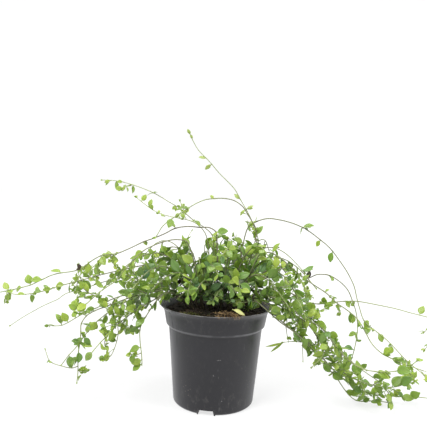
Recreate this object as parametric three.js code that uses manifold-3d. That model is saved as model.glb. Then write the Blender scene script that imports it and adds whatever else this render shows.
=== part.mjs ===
// Potted lesser periwinkle (Vinca minor) in a black plastic nursery pot.
//
// Millimetres, +Z up. The origin is the middle of the pot's flat underside,
// so the plant stands on Z = 0. -Y is the front of the pot.
//
// The pot is one thin shell, the potting soil is one body that fills it, and
// each rooted stem grew as one piece with its leaves and side shoots, so each
// is one solid: the long runners arch over the rim, hang, and where they reach
// the ground they lie along it.

import * as THREE from 'three';
import { mergeVertices } from 'three/addons/utils/BufferGeometryUtils.js';
import Module from 'manifold-3d';

// ---------------------------------------------------------------- dimensions
// Pot: a 17 cm container of about two litres.
const RIM_RADIUS = 85;          // outer radius of the flared lip
const POT_HEIGHT = 148;
const COLLAR_TOP_RADIUS = 78.2; // collar just under the lip
const COLLAR_FOOT_RADIUS = 74.7;
const COLLAR_HEIGHT = 29;       // lip to the step under the collar
const BODY_TOP_RADIUS = 70.6;   // body just under the step
const BASE_RADIUS = 61;
const BASE_ROUND = 2.5;         // chamfer round the foot
const WALL = 1.4;
const FACETS = 36;

// Drainage: three pockets raised in the foot, each with one hole in its roof.
const POCKETS = 3;
const POCKET_AZIMUTH = -99.5;   // degrees, the pocket at the front
const POCKET_WIDTH = 24;
const POCKET_TOP_WIDTH = 20;
const POCKET_HEIGHT = 7;
const POCKET_DEPTH = 16;
const DRAIN_RADIUS = 3.5;

// Soil: a little below the rim.
const SOIL_TOP = 135.9;
const GAP = 0.35;               // clearance between pieces that touch

// Plant.
const STEM_RADIUS = 1.0;        // corner radius of the three-sided stem
const LEAF_THICKNESS = 0.9;     // at the middle of the blade
const LEAF_ROOT = 0.38;          // how far a leaf's foot runs into its stem

const POT_COLOUR = 0x2a2a2c;
const SOIL_COLOUR = 0x1d1712;
const STEM_COLOUR = 0x5f8a34;

// ------------------------------------------------------------------- runners
// stems:  points along each stem, the first stem rooted in the soil, the
//         others side shoots that start on a point of the first.
// leaves: [stem, point it grows from, tip x, tip y, tip z, roll in degrees
//         about its own axis (0 = upper face up), width].
const RUNNERS = [
  { name: 'runner_tall',
    stems: [
      [[26, 24.4, 137], [38.7, 23.3, 164.2], [44.9, 23, 177.9], [51.4, 23.5, 193.8], [57.2, 25.7, 209.8], [62, 28.5, 226.1], [63.2, 31.2, 242.8], [57.2, 28.6, 259.6], [50.4, 27.5, 276.2], [41.6, 26.4, 291.9], [31.9, 25.3, 307], [22.7, 22.5, 322.2], [10.3, 19, 334.7], [-2.8, 15.4, 346.6], [-14.6, 11.8, 359.6], [-35.7, 5.6, 380], [-48.5, 0.1, 402.4]],
      [[57.2, 28.6, 259.6], [47.1, 34.7, 270.5]],
    ],
    leaves: [
      [0, 2, 52.7, 15, 195.2, 112, 12.6], [0, 14, -24.7, 13.7, 350.9, -131, 8.1],
      [0, 16, -52.6, 0.2, 410.6, 121, 5.7], [0, 6, 61.9, 43.4, 240, -32, 7], [0, 9, 32.4, 27.6, 281.4, -43, 7.1],
    ] },
  { name: 'runner_arch_left',
    stems: [
      [[15.5, 18.9, 137], [25.2, 16.4, 155.5], [37.3, 13.4, 179.1], [45.5, 11.8, 199.6], [52.5, 11.8, 224.5], [57.7, 12, 254.2], [57, 11.3, 262.9], [43.4, 5.9, 284.5], [34.4, 2.9, 297.1], [21.6, -0.1, 305.3], [6.5, -3.4, 308.3], [-22.2, -9.6, 305.3], [-46.2, -15.6, 292.7], [-58.3, -18.8, 284.4], [-69.4, -21.9, 276.4], [-82.8, -25.9, 264.9], [-91.3, -30.6, 249.7]],
      [[-46.2, -15.6, 292.7], [-53.5, -12, 277.6]],
    ],
    leaves: [
      [0, 5, 67.5, 8, 268.1, 56, 10.6], [0, 16, -93.1, -36.6, 246.9, 14, 4.1], [0, 2, 32.5, 9.5, 193.4, -76, 9.3],
      [0, 3, 57.5, 17, 205.7, 72, 9], [0, 7, 31.4, 9.1, 287.6, 11, 7.3], [0, 6, 59.2, 2.4, 264.5, 80, 5.2],
      [0, 12, -46.4, -24.7, 291.8, -14, 4.7], [0, 13, -59.5, -5, 282.5, -65, 7.4],
    ] },
  { name: 'runner_long_left',
    stems: [
      [[-1.9, 11, 137], [-0.4, 3.2, 166.2], [0, -0.2, 180.9], [-0.3, -3.7, 201.4], [-1.7, -7.2, 232.8], [-4.5, -9.9, 257.9], [-14.6, -12.2, 264.2], [-28.2, -14.7, 264.3], [-46.5, -18.2, 265.2], [-64.3, -21.9, 262.2], [-78.7, -25.1, 254.5], [-93.4, -28, 247.6], [-108.6, -31.6, 242], [-125.7, -35.5, 233.3], [-150.6, -41, 223.3], [-167.6, -44.6, 221], [-187.8, -49.1, 207.3], [-194.7, -50.7, 201.8], [-220.3, -55.5, 196.1], [-245.1, -60.5, 186.9], [-260.8, -63.8, 178.9], [-280.6, -67.6, 173.2], [-289.3, -69.3, 171.3], [-317.2, -74.9, 163.8]],
      [[-280.6, -67.6, 173.2], [-295.2, -59.4, 162.3], [-300.2, -50.5, 151.5]],
      [[-150.6, -41, 223.3], [-151.5, -50.7, 216.7], [-146.9, -56.3, 211.1]],
    ],
    leaves: [
      [0, 3, 0, -0.2, 222.8, -88, 11.6], [0, 5, 14, -6.5, 259.8, 59, 11.7], [0, 14, -150.7, -27.1, 209.8, -166, 12],
      [0, 15, -159.2, -53.8, 208.9, 54, 10.1], [0, 20, -266.3, -59.9, 193, -23, 9.9],
      [0, 22, -298.2, -62.7, 181.4, -23, 7.6], [0, 23, -329.1, -74.7, 168.5, -112, 8],
      [0, 2, 4, -19.7, 184.6, -14, 10.5], [0, 4, 10.4, -20.2, 239.1, 30, 10.5], [0, 7, -37, -16.2, 274.1, -48, 8.2],
      [1, 1, -297.9, -62.1, 149.6, 28, 7.1], [2, 1, -154.6, -60.1, 218, -7, 5.7],
      [0, 17, -198.9, -51.7, 209.4, -98, 5.2], [0, 16, -192.5, -43.1, 204.9, -25, 4.2],
    ] },
  { name: 'runner_top_left',
    stems: [
      [[-5.5, 24.3, 137], [-4.8, 23.4, 152], [-3.8, 21.9, 181], [-5.1, 22.3, 208.4], [-8, 24, 238.6], [-10.4, 25, 250.3], [-23, 29, 261.2], [-38.2, 33.6, 269.9], [-53.3, 38.4, 281.3], [-69.9, 43.6, 292.9], [-94, 50.3, 305.5], [-106.1, 53.6, 311.7], [-123.9, 58.2, 318.2], [-142, 62.7, 323.8], [-170.6, 69.6, 329.4], [-193.9, 75, 330]],
      [[-142, 62.7, 323.8], [-152.5, 57.9, 321.4], [-156.3, 53.9, 317.7]],
      [[-53.3, 38.4, 281.3], [-58.2, 39.4, 289.8], [-62.8, 39.6, 299.5]],
    ],
    leaves: [
      [0, 13, -143.5, 67.4, 309.6, 48, 8.3], [0, 14, -173, 74.9, 317, 52, 8.2], [0, 3, -16.5, 30.1, 213.5, -16, 8.4],
      [2, 1, -60.4, 32.5, 291.5, 37, 4.5], [1, 1, -159.8, 58.5, 312.8, -72, 6], [0, 5, -5.1, 30.5, 248, 46, 5.2],
      [0, 9, -69.6, 40.9, 283.8, -10, 5.3], [0, 8, -49.2, 44.5, 288.6, 6, 6.6], [0, 1, -2.3, 30.3, 148.9, 52, 4.2],
    ] },
  { name: 'runner_mid_left',
    stems: [
      [[-12.8, 17.1, 137], [-12.1, 14.6, 161], [-11.8, 12.8, 179.8], [-12.4, 11.5, 198.7], [-13.5, 10.4, 217.5], [-15.6, 9.8, 236.3], [-21.2, 11.1, 254.1], [-33.9, 16.2, 266.9], [-51, 20.9, 272.9], [-74.2, 26.6, 276], [-88.6, 30.1, 278.8], [-112.5, 36.4, 289.8], [-131.4, 41.9, 302.7]],
      [[-51, 20.9, 272.9], [-55.5, 24.9, 282.3], [-55.9, 29.3, 292.9]],
    ],
    leaves: [
      [0, 1, -9.5, 4.4, 178, 166, 12.3], [0, 12, -135.2, 44.8, 307, -42, 4.1], [0, 11, -107.7, 40.9, 302.2, 60, 7.3],
      [0, 10, -89.6, 16.3, 277, -39, 9.1],
    ] },
  { name: 'runner_low_left',
    stems: [
      [[-32.3, 19.3, 137], [-44.8, 13.5, 164.1], [-51.2, 12, 177.8], [-56.8, 12.6, 191.3], [-65.2, 14.8, 205.2], [-74.2, 16.6, 208.5], [-83.8, 18.6, 206.7], [-99.8, 21.8, 202.9], [-125.4, 27, 196], [-139.6, 29.8, 192], [-151.7, 32.3, 188.6], [-179.3, 37.7, 180.3], [-186.9, 39.2, 178], [-193.4, 40.5, 175.9], [-204.7, 42.7, 172], [-218.5, 45.4, 167.2], [-224.1, 46.5, 165.4], [-237.4, 49.1, 161], [-246.6, 50.9, 158.1], [-260.6, 53.6, 153.2], [-285.6, 58.4, 144], [-294.1, 60, 141.4], [-314.4, 63.6, 137.1], [-343.7, 68.9, 137], [-349.5, 70, 138.3]],
      [[-139.6, 29.8, 192], [-140.8, 32.9, 181.4], [-135.2, 34, 172.4]],
      [[-224.1, 46.5, 165.4], [-225.2, 44.5, 157.4], [-220.9, 41.5, 149.5], [-210.1, 37.3, 141.5]],
      [[-204.7, 42.7, 172], [-206.9, 49.1, 178.3], [-204.7, 55.7, 185.5], [-197.3, 62.5, 193.9]],
      [[-186.9, 39.2, 178], [-190.1, 35.3, 187.1], [-188.2, 31.4, 194]],
      [[-83.8, 18.6, 206.7], [-91, 15.5, 212], [-96.5, 8.2, 221]],
      [[-218.5, 45.4, 167.2], [-226.6, 55.7, 177.4], [-230.5, 65.9, 187.1]],
    ],
    leaves: [
      [0, 18, -260.4, 48.5, 155.4, -67, 8.1], [0, 20, -298.9, 56.5, 143.3, -37, 8.2],
      [0, 22, -324.3, 53, 137.7, -27, 7.9], [0, 2, -61.6, 0.8, 179.1, 66, 8.5], [0, 3, -67.4, 2.7, 192.7, 54, 7.4],
      [0, 6, -94.4, 2.5, 207.1, 43, 11.3], [0, 7, -105.3, 10.7, 198.7, 80, 8.2],
      [0, 10, -160.2, 22.3, 185.5, 28, 8.3], [0, 12, -197.4, 43, 188.9, 131, 9.4],
      [0, 17, -237.3, 49.3, 144.8, 175, 8.3], [1, 1, -141.7, 46.7, 178.7, -43, 7.8],
      [2, 2, -220, 34.9, 138.3, 82, 7.2], [3, 1, -207.2, 64.3, 181.5, -29, 9.8],
      [3, 2, -206.5, 66.5, 189.2, -68, 6.6], [4, 1, -193.6, 38.7, 196.2, 175, 6.4],
      [5, 2, -100.2, 3.2, 225.3, 172, 4.1], [5, 1, -99.3, 21.4, 219.2, -38, 7.4],
      [6, 1, -224.3, 55.6, 186.6, 55, 5.7], [1, 2, -141.8, 44.5, 169.3, -51, 8.1],
      [0, 19, -255.4, 51.8, 147.4, 30, 5.2], [0, 13, -202.2, 47.2, 169, -26, 7.7],
      [0, 21, -296.1, 65.9, 150.3, 0, 5.9], [0, 15, -203, 47.6, 153.3, 61, 11.3],
    ] },
  { name: 'runner_back_left',
    stems: [
      [[-36.1, 27, 137], [-46, 28.6, 151.3], [-56, 31, 165.4], [-65.1, 36.2, 179.3], [-71.2, 40.7, 187.4], [-80.2, 45.2, 192], [-102.8, 52.2, 189], [-124.9, 58, 182.1], [-141.7, 62.9, 176.9], [-156.8, 67.2, 171.7], [-184, 74.9, 161.7], [-196, 78.3, 157], [-212.5, 82.9, 150.3], [-222.3, 85.6, 146.5], [-242.7, 91, 139.5], [-258.7, 95.5, 132.7], [-272.6, 99.8, 122.1], [-288.1, 104.1, 114.2], [-303.6, 108.4, 105.9], [-318.4, 112.6, 96.7], [-333.4, 116.8, 87.5], [-347.8, 120.9, 77.5], [-362, 125, 67.2]],
      [[-196, 78.3, 157], [-203.8, 80.1, 160.3], [-223.8, 84.2, 176.1]],
      [[-212.5, 82.9, 150.3], [-224.3, 82.8, 155.6], [-231.8, 81.3, 161.1]],
      [[-222.3, 85.6, 146.5], [-232.6, 83.6, 148.7], [-239.7, 80.4, 151]],
    ],
    leaves: [
      [0, 6, -112.6, 46.4, 171.8, -77, 11.9], [0, 3, -64.4, 51.3, 178.8, -25, 7.8],
      [0, 5, -92.5, 37.8, 180.3, -70, 11.3], [0, 7, -124.8, 62.1, 171.8, -52, 6],
      [0, 11, -206.3, 87.2, 165.4, 54, 8.6], [0, 14, -239.8, 102.6, 132.7, -61, 6.9],
      [1, 2, -229.4, 90.9, 182.1, 111, 6.8], [1, 1, -208.4, 77.7, 168, 180, 5.9],
      [2, 1, -232.7, 75.8, 157.7, 64, 7.1], [3, 1, -234.6, 73.6, 150.8, 37, 6.2],
    ] },
  { name: 'runner_front_left',
    stems: [
      [[-18.7, 5.5, 137], [-22.6, -2, 156.1], [-28.1, -10.5, 180.5], [-35, -17.8, 210.5], [-42, -23.2, 234.7], [-47.6, -26, 243.7], [-64.6, -30.2, 246.2], [-82, -34.7, 242.2], [-107.2, -42.1, 230.2], [-122.5, -48, 214.3], [-132.5, -52.3, 202.5], [-142.5, -57, 188.6], [-163.3, -64.3, 173.3], [-169.5, -66.7, 167.6], [-180, -70.8, 157.4], [-189.6, -74.2, 151.4], [-192.2, -75, 150.2]],
      [[-169.5, -66.7, 167.6], [-185.3, -71.3, 178.7], [-193.5, -73, 192.9]],
      [[-132.5, -52.3, 202.5], [-128, -50.5, 194.8], [-112.4, -44, 188.5]],
    ],
    leaves: [
      [0, 8, -119.3, -36.4, 217, -78, 10.9], [0, 11, -130.2, -47.2, 174.4, 41, 12.9],
      [0, 14, -192.8, -69.8, 145.4, -80, 10.7], [0, 15, -202.9, -64.7, 157.4, -61, 10.6],
      [0, 2, -21.7, -6.7, 194, 19, 9], [0, 3, -54.3, -15.7, 222.1, -60, 12.7],
      [0, 5, -54.2, -19.6, 253.2, -105, 8.1], [0, 9, -123.5, -49.4, 203.2, -142, 6.5],
      [0, 13, -174.4, -56.7, 165.4, -4, 6.9], [1, 1, -187.5, -79.8, 188.6, -126, 8.4],
      [2, 1, -114.1, -54.6, 192.4, -11, 8.4], [0, 1, -14.2, -2.8, 160.4, 34, 5.4],
    ] },
  { name: 'runner_left_drop_a',
    stems: [
      [[-42, 14.2, 137], [-55.9, 5.9, 162.8], [-65.8, 4.3, 174.1], [-79.3, 5.4, 176.2], [-90.8, 6.8, 172.9], [-104.4, 8.5, 167.6], [-125.1, 11, 159.6], [-146.3, 13.6, 151.5], [-168.2, 16.3, 141.7], [-188.1, 18.9, 128.9], [-210.4, 21.6, 117.7], [-232, 24.4, 103.5], [-242.6, 25.7, 98.1], [-254.3, 27, 96.4], [-262.7, 27.9, 96.4]],
      [[-168.2, 16.3, 141.7], [-179.4, 13.8, 147.2], [-185, 11, 152.9]],
      [[-210.4, 21.6, 117.7], [-216.2, 21.9, 125.3], [-217.4, 21.3, 141.4]],
    ],
    leaves: [
      [0, 5, -119.7, 2.8, 177.1, -86, 11.9], [0, 8, -182.8, 5, 142.2, -76, 11.2],
      [0, 9, -202.4, 13.8, 125.7, -51, 7.8], [0, 11, -242, 23.7, 119.2, -76, 10.4],
      [0, 13, -261.7, 18.5, 100.7, -4, 7.6], [0, 2, -83.2, 8.7, 167.8, -26, 10.5],
      [0, 4, -104.9, 14.1, 181.9, -14, 9.9], [0, 6, -126.3, 2.1, 141.9, 14, 11.2],
      [0, 7, -156.5, 3.7, 141.9, 29, 10.4], [0, 10, -223.5, 17.9, 122.3, 24, 7.7], [1, 1, -186, 5.9, 150.9, 52, 6],
      [2, 1, -214.1, 29.8, 135.8, -152, 8.1],
    ] },
  { name: 'runner_left_drop_b',
    stems: [
      [[-40.9, 7.3, 137], [-52.7, -1.9, 155.7], [-63.2, -10.7, 167.3], [-71.1, -17.9, 170], [-92.3, -24.8, 167.8], [-104, -26.1, 165.1], [-115.6, -27.4, 162], [-127.7, -29.1, 158.3], [-140.9, -31.1, 153.3], [-153.6, -33, 148.1], [-176.8, -36.6, 138.8], [-182.9, -37.6, 135.4], [-194.7, -40.5, 120.3], [-194.9, -44.1, 95.1], [-196.3, -46, 81.6], [-195.8, -49, 60.9], [-195.5, -49.9, 55], [-195.9, -52, 40.2]],
      [[-195.8, -49, 60.9], [-204.4, -47.6, 57.3], [-222, -44.5, 58.8], [-239, -41.2, 63.9], [-246.4, -38, 78.2]],
      [[-140.9, -31.1, 153.3], [-143.8, -33, 143.9], [-141.5, -34.7, 131.5], [-130.3, -35.6, 115.4]],
      [[-104, -26.1, 165.1], [-116.5, -24.3, 169.6], [-133.9, -18.9, 178.7], [-139.1, -16.5, 182.1]],
      [[-195.5, -49.9, 55], [-188.9, -55, 54.3], [-178.6, -61.8, 59.5]],
    ],
    leaves: [
      [0, 14, -194.3, -55.8, 67.3, -39, 9.2], [0, 16, -183.1, -40.9, 53.7, 34, 7.8],
      [0, 2, -60, -23.2, 170.8, 148, 7.5], [0, 3, -74.9, -22, 188, 138, 11], [0, 4, -93.6, -45.9, 169, 46, 12.3],
      [0, 6, -126.3, -28.1, 171.4, 172, 8.1], [0, 7, -124.6, -32.5, 143.3, 67, 9.7],
      [0, 9, -151.6, -36.2, 134.4, 59, 8.1], [0, 10, -186.7, -41.7, 142.2, 23, 7.4],
      [0, 12, -179.8, -43.6, 115.8, -17, 9.7], [1, 1, -212.4, -43.3, 69.1, -106, 9.3],
      [1, 3, -245.4, -34.4, 59.3, -47, 5.4], [2, 2, -148.2, -47, 128.9, 55, 7.5],
      [3, 1, -121.6, -23.6, 182.1, -157, 7.6], [3, 2, -139.7, -25, 178.6, 121, 5.2],
      [4, 1, -187.2, -63.1, 60.5, 99, 5.3], [2, 3, -133.7, -42.2, 118.4, -64, 5.1],
      [0, 11, -191.1, -28.9, 134.6, -26, 6.6], [0, 13, -205.3, -52.3, 98.1, -41, 7.5],
    ] },
  { name: 'runner_left_drop_c',
    stems: [
      [[-38.4, 0.5, 137], [-57.2, -13.4, 158.2], [-66.7, -22.8, 166.6], [-74.9, -32.8, 169], [-95.3, -43.1, 156.4], [-105.8, -47.7, 151.1], [-116.1, -52.5, 144.6], [-125.9, -57.4, 137.3], [-133.6, -61.5, 131.1], [-137.8, -63.8, 127.3], [-143.3, -67.3, 121.1], [-152.7, -73.1, 111], [-158.5, -76.6, 105.1], [-170.4, -85, 90]],
      [[-137.8, -63.8, 127.3], [-136.7, -63.6, 114.3], [-145.3, -68.1, 84.4], [-153.1, -69.9, 78.8]],
      [[-133.6, -61.5, 131.1], [-153.2, -67.9, 124.7]],
      [[-105.8, -47.7, 151.1], [-123.7, -41.4, 141.2], [-128.5, -36.9, 137]],
      [[-95.3, -43.1, 156.4], [-104.3, -42.3, 150.3], [-118.1, -33.7, 132.3]],
      [[-152.7, -73.1, 111], [-152.6, -75.3, 101.4], [-149.7, -75.4, 95.1]],
      [[-125.9, -57.4, 137.3], [-143.4, -60.7, 142.5], [-154.8, -61, 149.2]],
      [[-143.3, -67.3, 121.1], [-149.7, -64.6, 116], [-154.5, -58.9, 111.4]],
    ],
    leaves: [
      [0, 6, -128.1, -65.7, 148.9, -41, 10.2], [0, 10, -146.8, -78.8, 108.4, -76, 10.2],
      [0, 2, -68, -39.7, 156.3, 78, 10.5], [0, 3, -89.8, -37.2, 158.6, -28, 11.4],
      [0, 4, -103, -30.6, 142.7, -37, 12.3], [0, 7, -128.7, -71.5, 146.1, 126, 8.6],
      [0, 12, -150.4, -82.2, 96.5, 105, 6.6], [1, 3, -163.4, -70.9, 81.4, 14, 6.6],
      [1, 1, -151.1, -63.3, 104.1, -40, 9.5], [2, 1, -162.2, -65.4, 127.3, -51, 5.5],
      [3, 1, -132.5, -31.8, 145.9, -100, 7.1], [4, 2, -121.3, -25.1, 130.6, -37, 4.8],
      [5, 2, -146.2, -71.1, 87.4, -154, 5.7], [6, 2, -158.8, -59.3, 159.8, -73, 6.9],
      [4, 1, -109.1, -35.9, 149.7, -46, 4.5],
    ] },
  { name: 'runner_left_drop_d',
    stems: [
      [[-32.1, -2.5, 137], [-49.3, -18, 156.4], [-59.5, -28.3, 165.4], [-67, -37.2, 169.1], [-75.1, -44.5, 169.1], [-92.4, -49.6, 150], [-100.5, -52.8, 136.4], [-105.8, -55.2, 125.8], [-107.3, -56.6, 119], [-103.4, -63, 88], [-102.2, -64.8, 79.2], [-101.8, -65.9, 73.8]],
      [[-105.8, -55.2, 125.8], [-115.4, -54.7, 122.8], [-130, -52.8, 118.4]],
      [[-103.4, -63, 88], [-110.5, -69, 86.8], [-116.1, -72.1, 88.9]],
    ],
    leaves: [
      [0, 6, -112.7, -62.3, 124.6, -16, 9.8], [0, 10, -115.2, -67.4, 72.9, -75, 9.2],
      [0, 2, -53.4, -39.7, 168.9, 32, 8.4], [0, 4, -80.5, -54.3, 154.9, 37, 10.2],
      [0, 5, -96.9, -39.4, 142.7, -25, 6.9], [0, 8, -121.7, -64.2, 118.6, 48, 10.3],
      [1, 1, -124, -45.3, 118.5, 52, 7.6], [2, 1, -113.7, -79, 88.8, -46, 6], [0, 1, -59.4, -25.7, 157.9, -48, 7],
    ] },
  { name: 'runner_right_arch',
    stems: [
      [[7.9, 24.9, 137], [21, 21.5, 165.8], [26.9, 19.9, 180.4], [31.9, 18.4, 198], [36, 16.8, 221.6], [40.9, 15.2, 252.3], [45.2, 15.4, 264.5], [57.1, 18.1, 273.5], [75.5, 20.7, 279], [94.7, 23.4, 277.4], [113.5, 25.9, 273.2], [131.6, 28.5, 266.5], [139.5, 29.7, 262.3], [161.6, 33.2, 247.2], [182, 36.7, 230.1], [193.2, 38.9, 216.5], [204.1, 41.2, 202.7], [213.8, 43.4, 188], [221.6, 43.5, 172.3], [225, 38.7, 155.6], [229.3, 33.8, 139.1], [234.7, 28.8, 122.9], [243.7, 24.9, 114.1], [255.5, 20.6, 105.9], [275.5, 12.6, 89.6], [294.8, 4, 70], [307.6, -1.2, 59.9], [330.9, -10.6, 43], [340.8, -14.8, 35.3]],
      [[36, 16.8, 221.6], [34.1, 17.5, 230.6], [24.3, 21.4, 249.4]],
      [[294.8, 4, 70], [298.5, -0.6, 59.8], [299.1, -4.9, 47.6], [295.6, -8.9, 33]],
    ],
    leaves: [
      [0, 3, 35, 9.5, 217.4, 175, 12.7], [0, 11, 146.3, 36.3, 268.2, 12, 10.4],
      [0, 14, 179.1, 37.4, 211.7, 153, 10.6], [0, 23, 262, 17.4, 91.7, 40, 9.4], [0, 28, 349.9, -19, 32.2, -49, 5.5],
      [0, 2, 19.9, 15.4, 194.8, -16, 10], [0, 25, 289.2, 0.4, 62.1, -22, 5.6], [1, 2, 20.7, 18.6, 255.7, -20, 4.3],
      [1, 1, 22.5, 16.6, 235.7, -2, 8.1], [0, 22, 236.1, 18, 103.5, -4, 9.3], [0, 6, 47.8, 11.2, 258.2, 3, 5.1],
      [2, 2, 284, -2.6, 41.9, -26, 8.3], [0, 12, 137.7, 36.6, 265.9, -18, 4.6],
    ] },
  { name: 'runner_right_a',
    stems: [
      [[30.4, 9.7, 137], [39.7, 4, 166.7], [44.7, 1.4, 181.5], [48.7, -0.2, 192.4], [58, -3, 217.1], [65.2, -4.8, 228.1], [80.6, -8.5, 229], [88.3, -10.4, 224.9], [106.2, -15.5, 212.3], [117.2, -18.9, 203.2], [128.9, -22.4, 194.7], [143.2, -26.5, 185.7], [157.9, -30.6, 177.2], [175.6, -36.5, 162.3], [198.4, -42.1, 147], [206, -43.8, 139.1], [215.1, -46.5, 124.2], [225, -49.5, 107.8], [239.5, -52.5, 95.4], [256.5, -55.5, 87.8], [282.9, -59.9, 79.9], [295.3, -62, 76.5]],
    ],
    leaves: [
      [0, 7, 86.1, -15.5, 207.2, -16, 9.5], [0, 13, 180.8, -30.9, 148.8, -151, 9.9],
      [0, 2, 34.5, 5.6, 199.5, 21, 12.4], [0, 3, 39.9, -7.8, 205.3, 3, 9.6], [0, 5, 70.2, -18.9, 230, -47, 7.8],
      [0, 8, 108.6, -2.1, 206.1, 42, 9.3], [0, 9, 113.4, -20.2, 189.9, -112, 7.8],
      [0, 14, 196.8, -40.7, 134.9, 61, 7.2], [0, 15, 202.8, -54.9, 137.3, -65, 7.3],
      [0, 19, 266.9, -54.6, 92.3, 4, 5.8], [0, 12, 164.5, -28.9, 181.4, 19, 4.6],
      [0, 16, 220.3, -42.1, 120, 30, 4.3],
    ] },
  { name: 'runner_right_b',
    stems: [
      [[34.6, 22, 137], [50.7, 20.3, 161.4], [60.5, 20.5, 172.3], [81.9, 23.7, 190.2], [100, 27.1, 200.1], [116.3, 30, 199.5], [142.8, 34.7, 185.3], [159.3, 37.7, 191.5], [177.4, 40.5, 191.1], [185.6, 41.9, 187.9], [200.7, 44.7, 178.2], [213.1, 47.2, 165.3], [220.7, 47.1, 148.7], [229.3, 44.9, 118.2], [229.9, 43.6, 98.6], [228.5, 42.8, 85.2], [222.9, 41, 58.8], [220.7, 40.5, 51.6], [218.2, 40, 44.6]],
      [[222.9, 41, 58.8], [206.2, 45.2, 48.5], [198.8, 47.7, 46.2]],
    ],
    leaves: [
      [0, 3, 99.2, 31.9, 181.1, 82, 12.6], [0, 4, 120, 36, 196.9, 26, 13.6], [0, 17, 214.7, 50.6, 38.2, -90, 9.4],
      [0, 2, 68.5, 9.4, 182.8, -75, 8.8], [0, 6, 147.1, 33.5, 198.1, 109, 7], [0, 13, 232.3, 35.2, 108, -47, 8.9],
      [1, 1, 201.9, 41.3, 36.6, -155, 8], [0, 9, 180.4, 31.9, 184.1, -63, 7.3], [0, 15, 235.5, 37.1, 89.1, 136, 6.2],
    ] },
  { name: 'runner_right_c',
    stems: [
      [[41.2, 19.7, 137], [54.1, 15.2, 156.8], [64.9, 13.4, 166], [78.7, 13.2, 169.7], [103.5, 14.8, 169.5], [121, 18.5, 161.5], [131.5, 21.6, 154.6], [150.7, 26.1, 147.6], [162.1, 28.7, 146.3], [182.2, 33.2, 148.2], [191.5, 35.3, 149.1], [206.2, 38.5, 150], [225.5, 42.7, 149.8], [244.5, 46.8, 146.9], [263.4, 50.9, 143.2], [282.3, 54.9, 139.4], [301.2, 58.9, 135.1], [319.8, 62.8, 129.9], [338.5, 66.8, 125.3], [358.5, 70.9, 120.2], [367, 72.7, 117.9], [377.8, 74.9, 114.9]],
      [[121, 18.5, 161.5], [129.2, 20.5, 160.4], [145.7, 24.2, 159.4]],
      [[131.5, 21.6, 154.6], [138.6, 16.7, 162.8], [139.7, 9.2, 172.8]],
      [[358.5, 70.9, 120.2], [358.9, 72.1, 107.2], [350.6, 71.3, 96.5]],
      [[367, 72.7, 117.9], [370.6, 72.8, 108.6], [368.1, 71.1, 91], [358, 68.1, 76.4], [350.8, 66.1, 69.3]],
      [[191.5, 35.3, 149.1], [197.1, 37.2, 141], [196.6, 37.6, 131.5]],
      [[54.1, 15.2, 156.8], [60.9, 6.4, 154.9], [65.6, -1, 149.2]],
    ],
    leaves: [
      [0, 18, 347, 72.5, 139.7, 31, 9.7], [0, 3, 80.7, 10.7, 187.9, 11, 9.3], [0, 5, 129.6, 14.1, 144.7, -49, 9.8],
      [0, 8, 173.3, 16.5, 150.5, -41, 10.8], [0, 9, 184.2, 44.2, 138.8, 42, 7.3],
      [1, 1, 132.1, 29.6, 152.5, -165, 7.1], [2, 2, 136.9, 5.8, 178.9, -91, 4.7],
      [4, 1, 355.1, 78.9, 98.3, 133, 11.8], [4, 3, 352.6, 77, 70.2, -19, 7.4], [5, 1, 200.8, 48.3, 140.5, 52, 6],
      [6, 1, 69.7, 5.2, 147.9, -70, 7.1], [0, 7, 156.7, 30.3, 144.3, 32, 5.2], [0, 1, 60.2, 22.7, 158.5, 33, 4.9],
      [1, 2, 147.4, 19, 153.5, 22, 4.6],
    ] },
  { name: 'runner_floor_a',
    stems: [
      [[36.1, 3.8, 137], [44.6, -3.2, 149.1], [53.7, -11.2, 160], [63.1, -21, 161.4], [70.7, -28.9, 156.8], [79.8, -32.5, 151.9], [93.9, -30, 134], [102.5, -29.3, 127], [114.4, -28.2, 118.1], [123.8, -27.4, 111.5], [136.1, -26.3, 101.9], [151.6, -24.8, 86.7], [169.3, -23.1, 68], [188.3, -21.5, 49.9], [205.7, -18.5, 37.2], [212.8, -15.9, 32.4], [230.3, -9, 23.3], [240.5, -4.8, 18.9], [252.9, -0.7, 14.9], [276, 3.5, 12.3], [305.6, 8.1, 10.6], [313.7, 9.4, 10], [339.3, 13.3, 6.9], [356.2, 15.9, 4]],
      [[102.5, -29.3, 127], [104.8, -35.9, 111.1]],
      [[136.1, -26.3, 101.9], [115.7, -27.8, 101.8], [101, -30.1, 100.7]],
      [[212.8, -15.9, 32.4], [219.8, -6, 36.4], [222.4, 2.9, 41.7]],
      [[53.7, -11.2, 160], [52.3, -19.9, 153.5], [48.8, -21.7, 146.7]],
      [[240.5, -4.8, 18.9], [240.1, 3, 14.6], [233.4, 10.5, 9], [227.1, 13.8, 5.8]],
      [[339.3, 13.3, 6.9], [342.8, 18.4, 16.7], [341.1, 23.5, 27], [335.3, 28.3, 37.1]],
    ],
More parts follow.
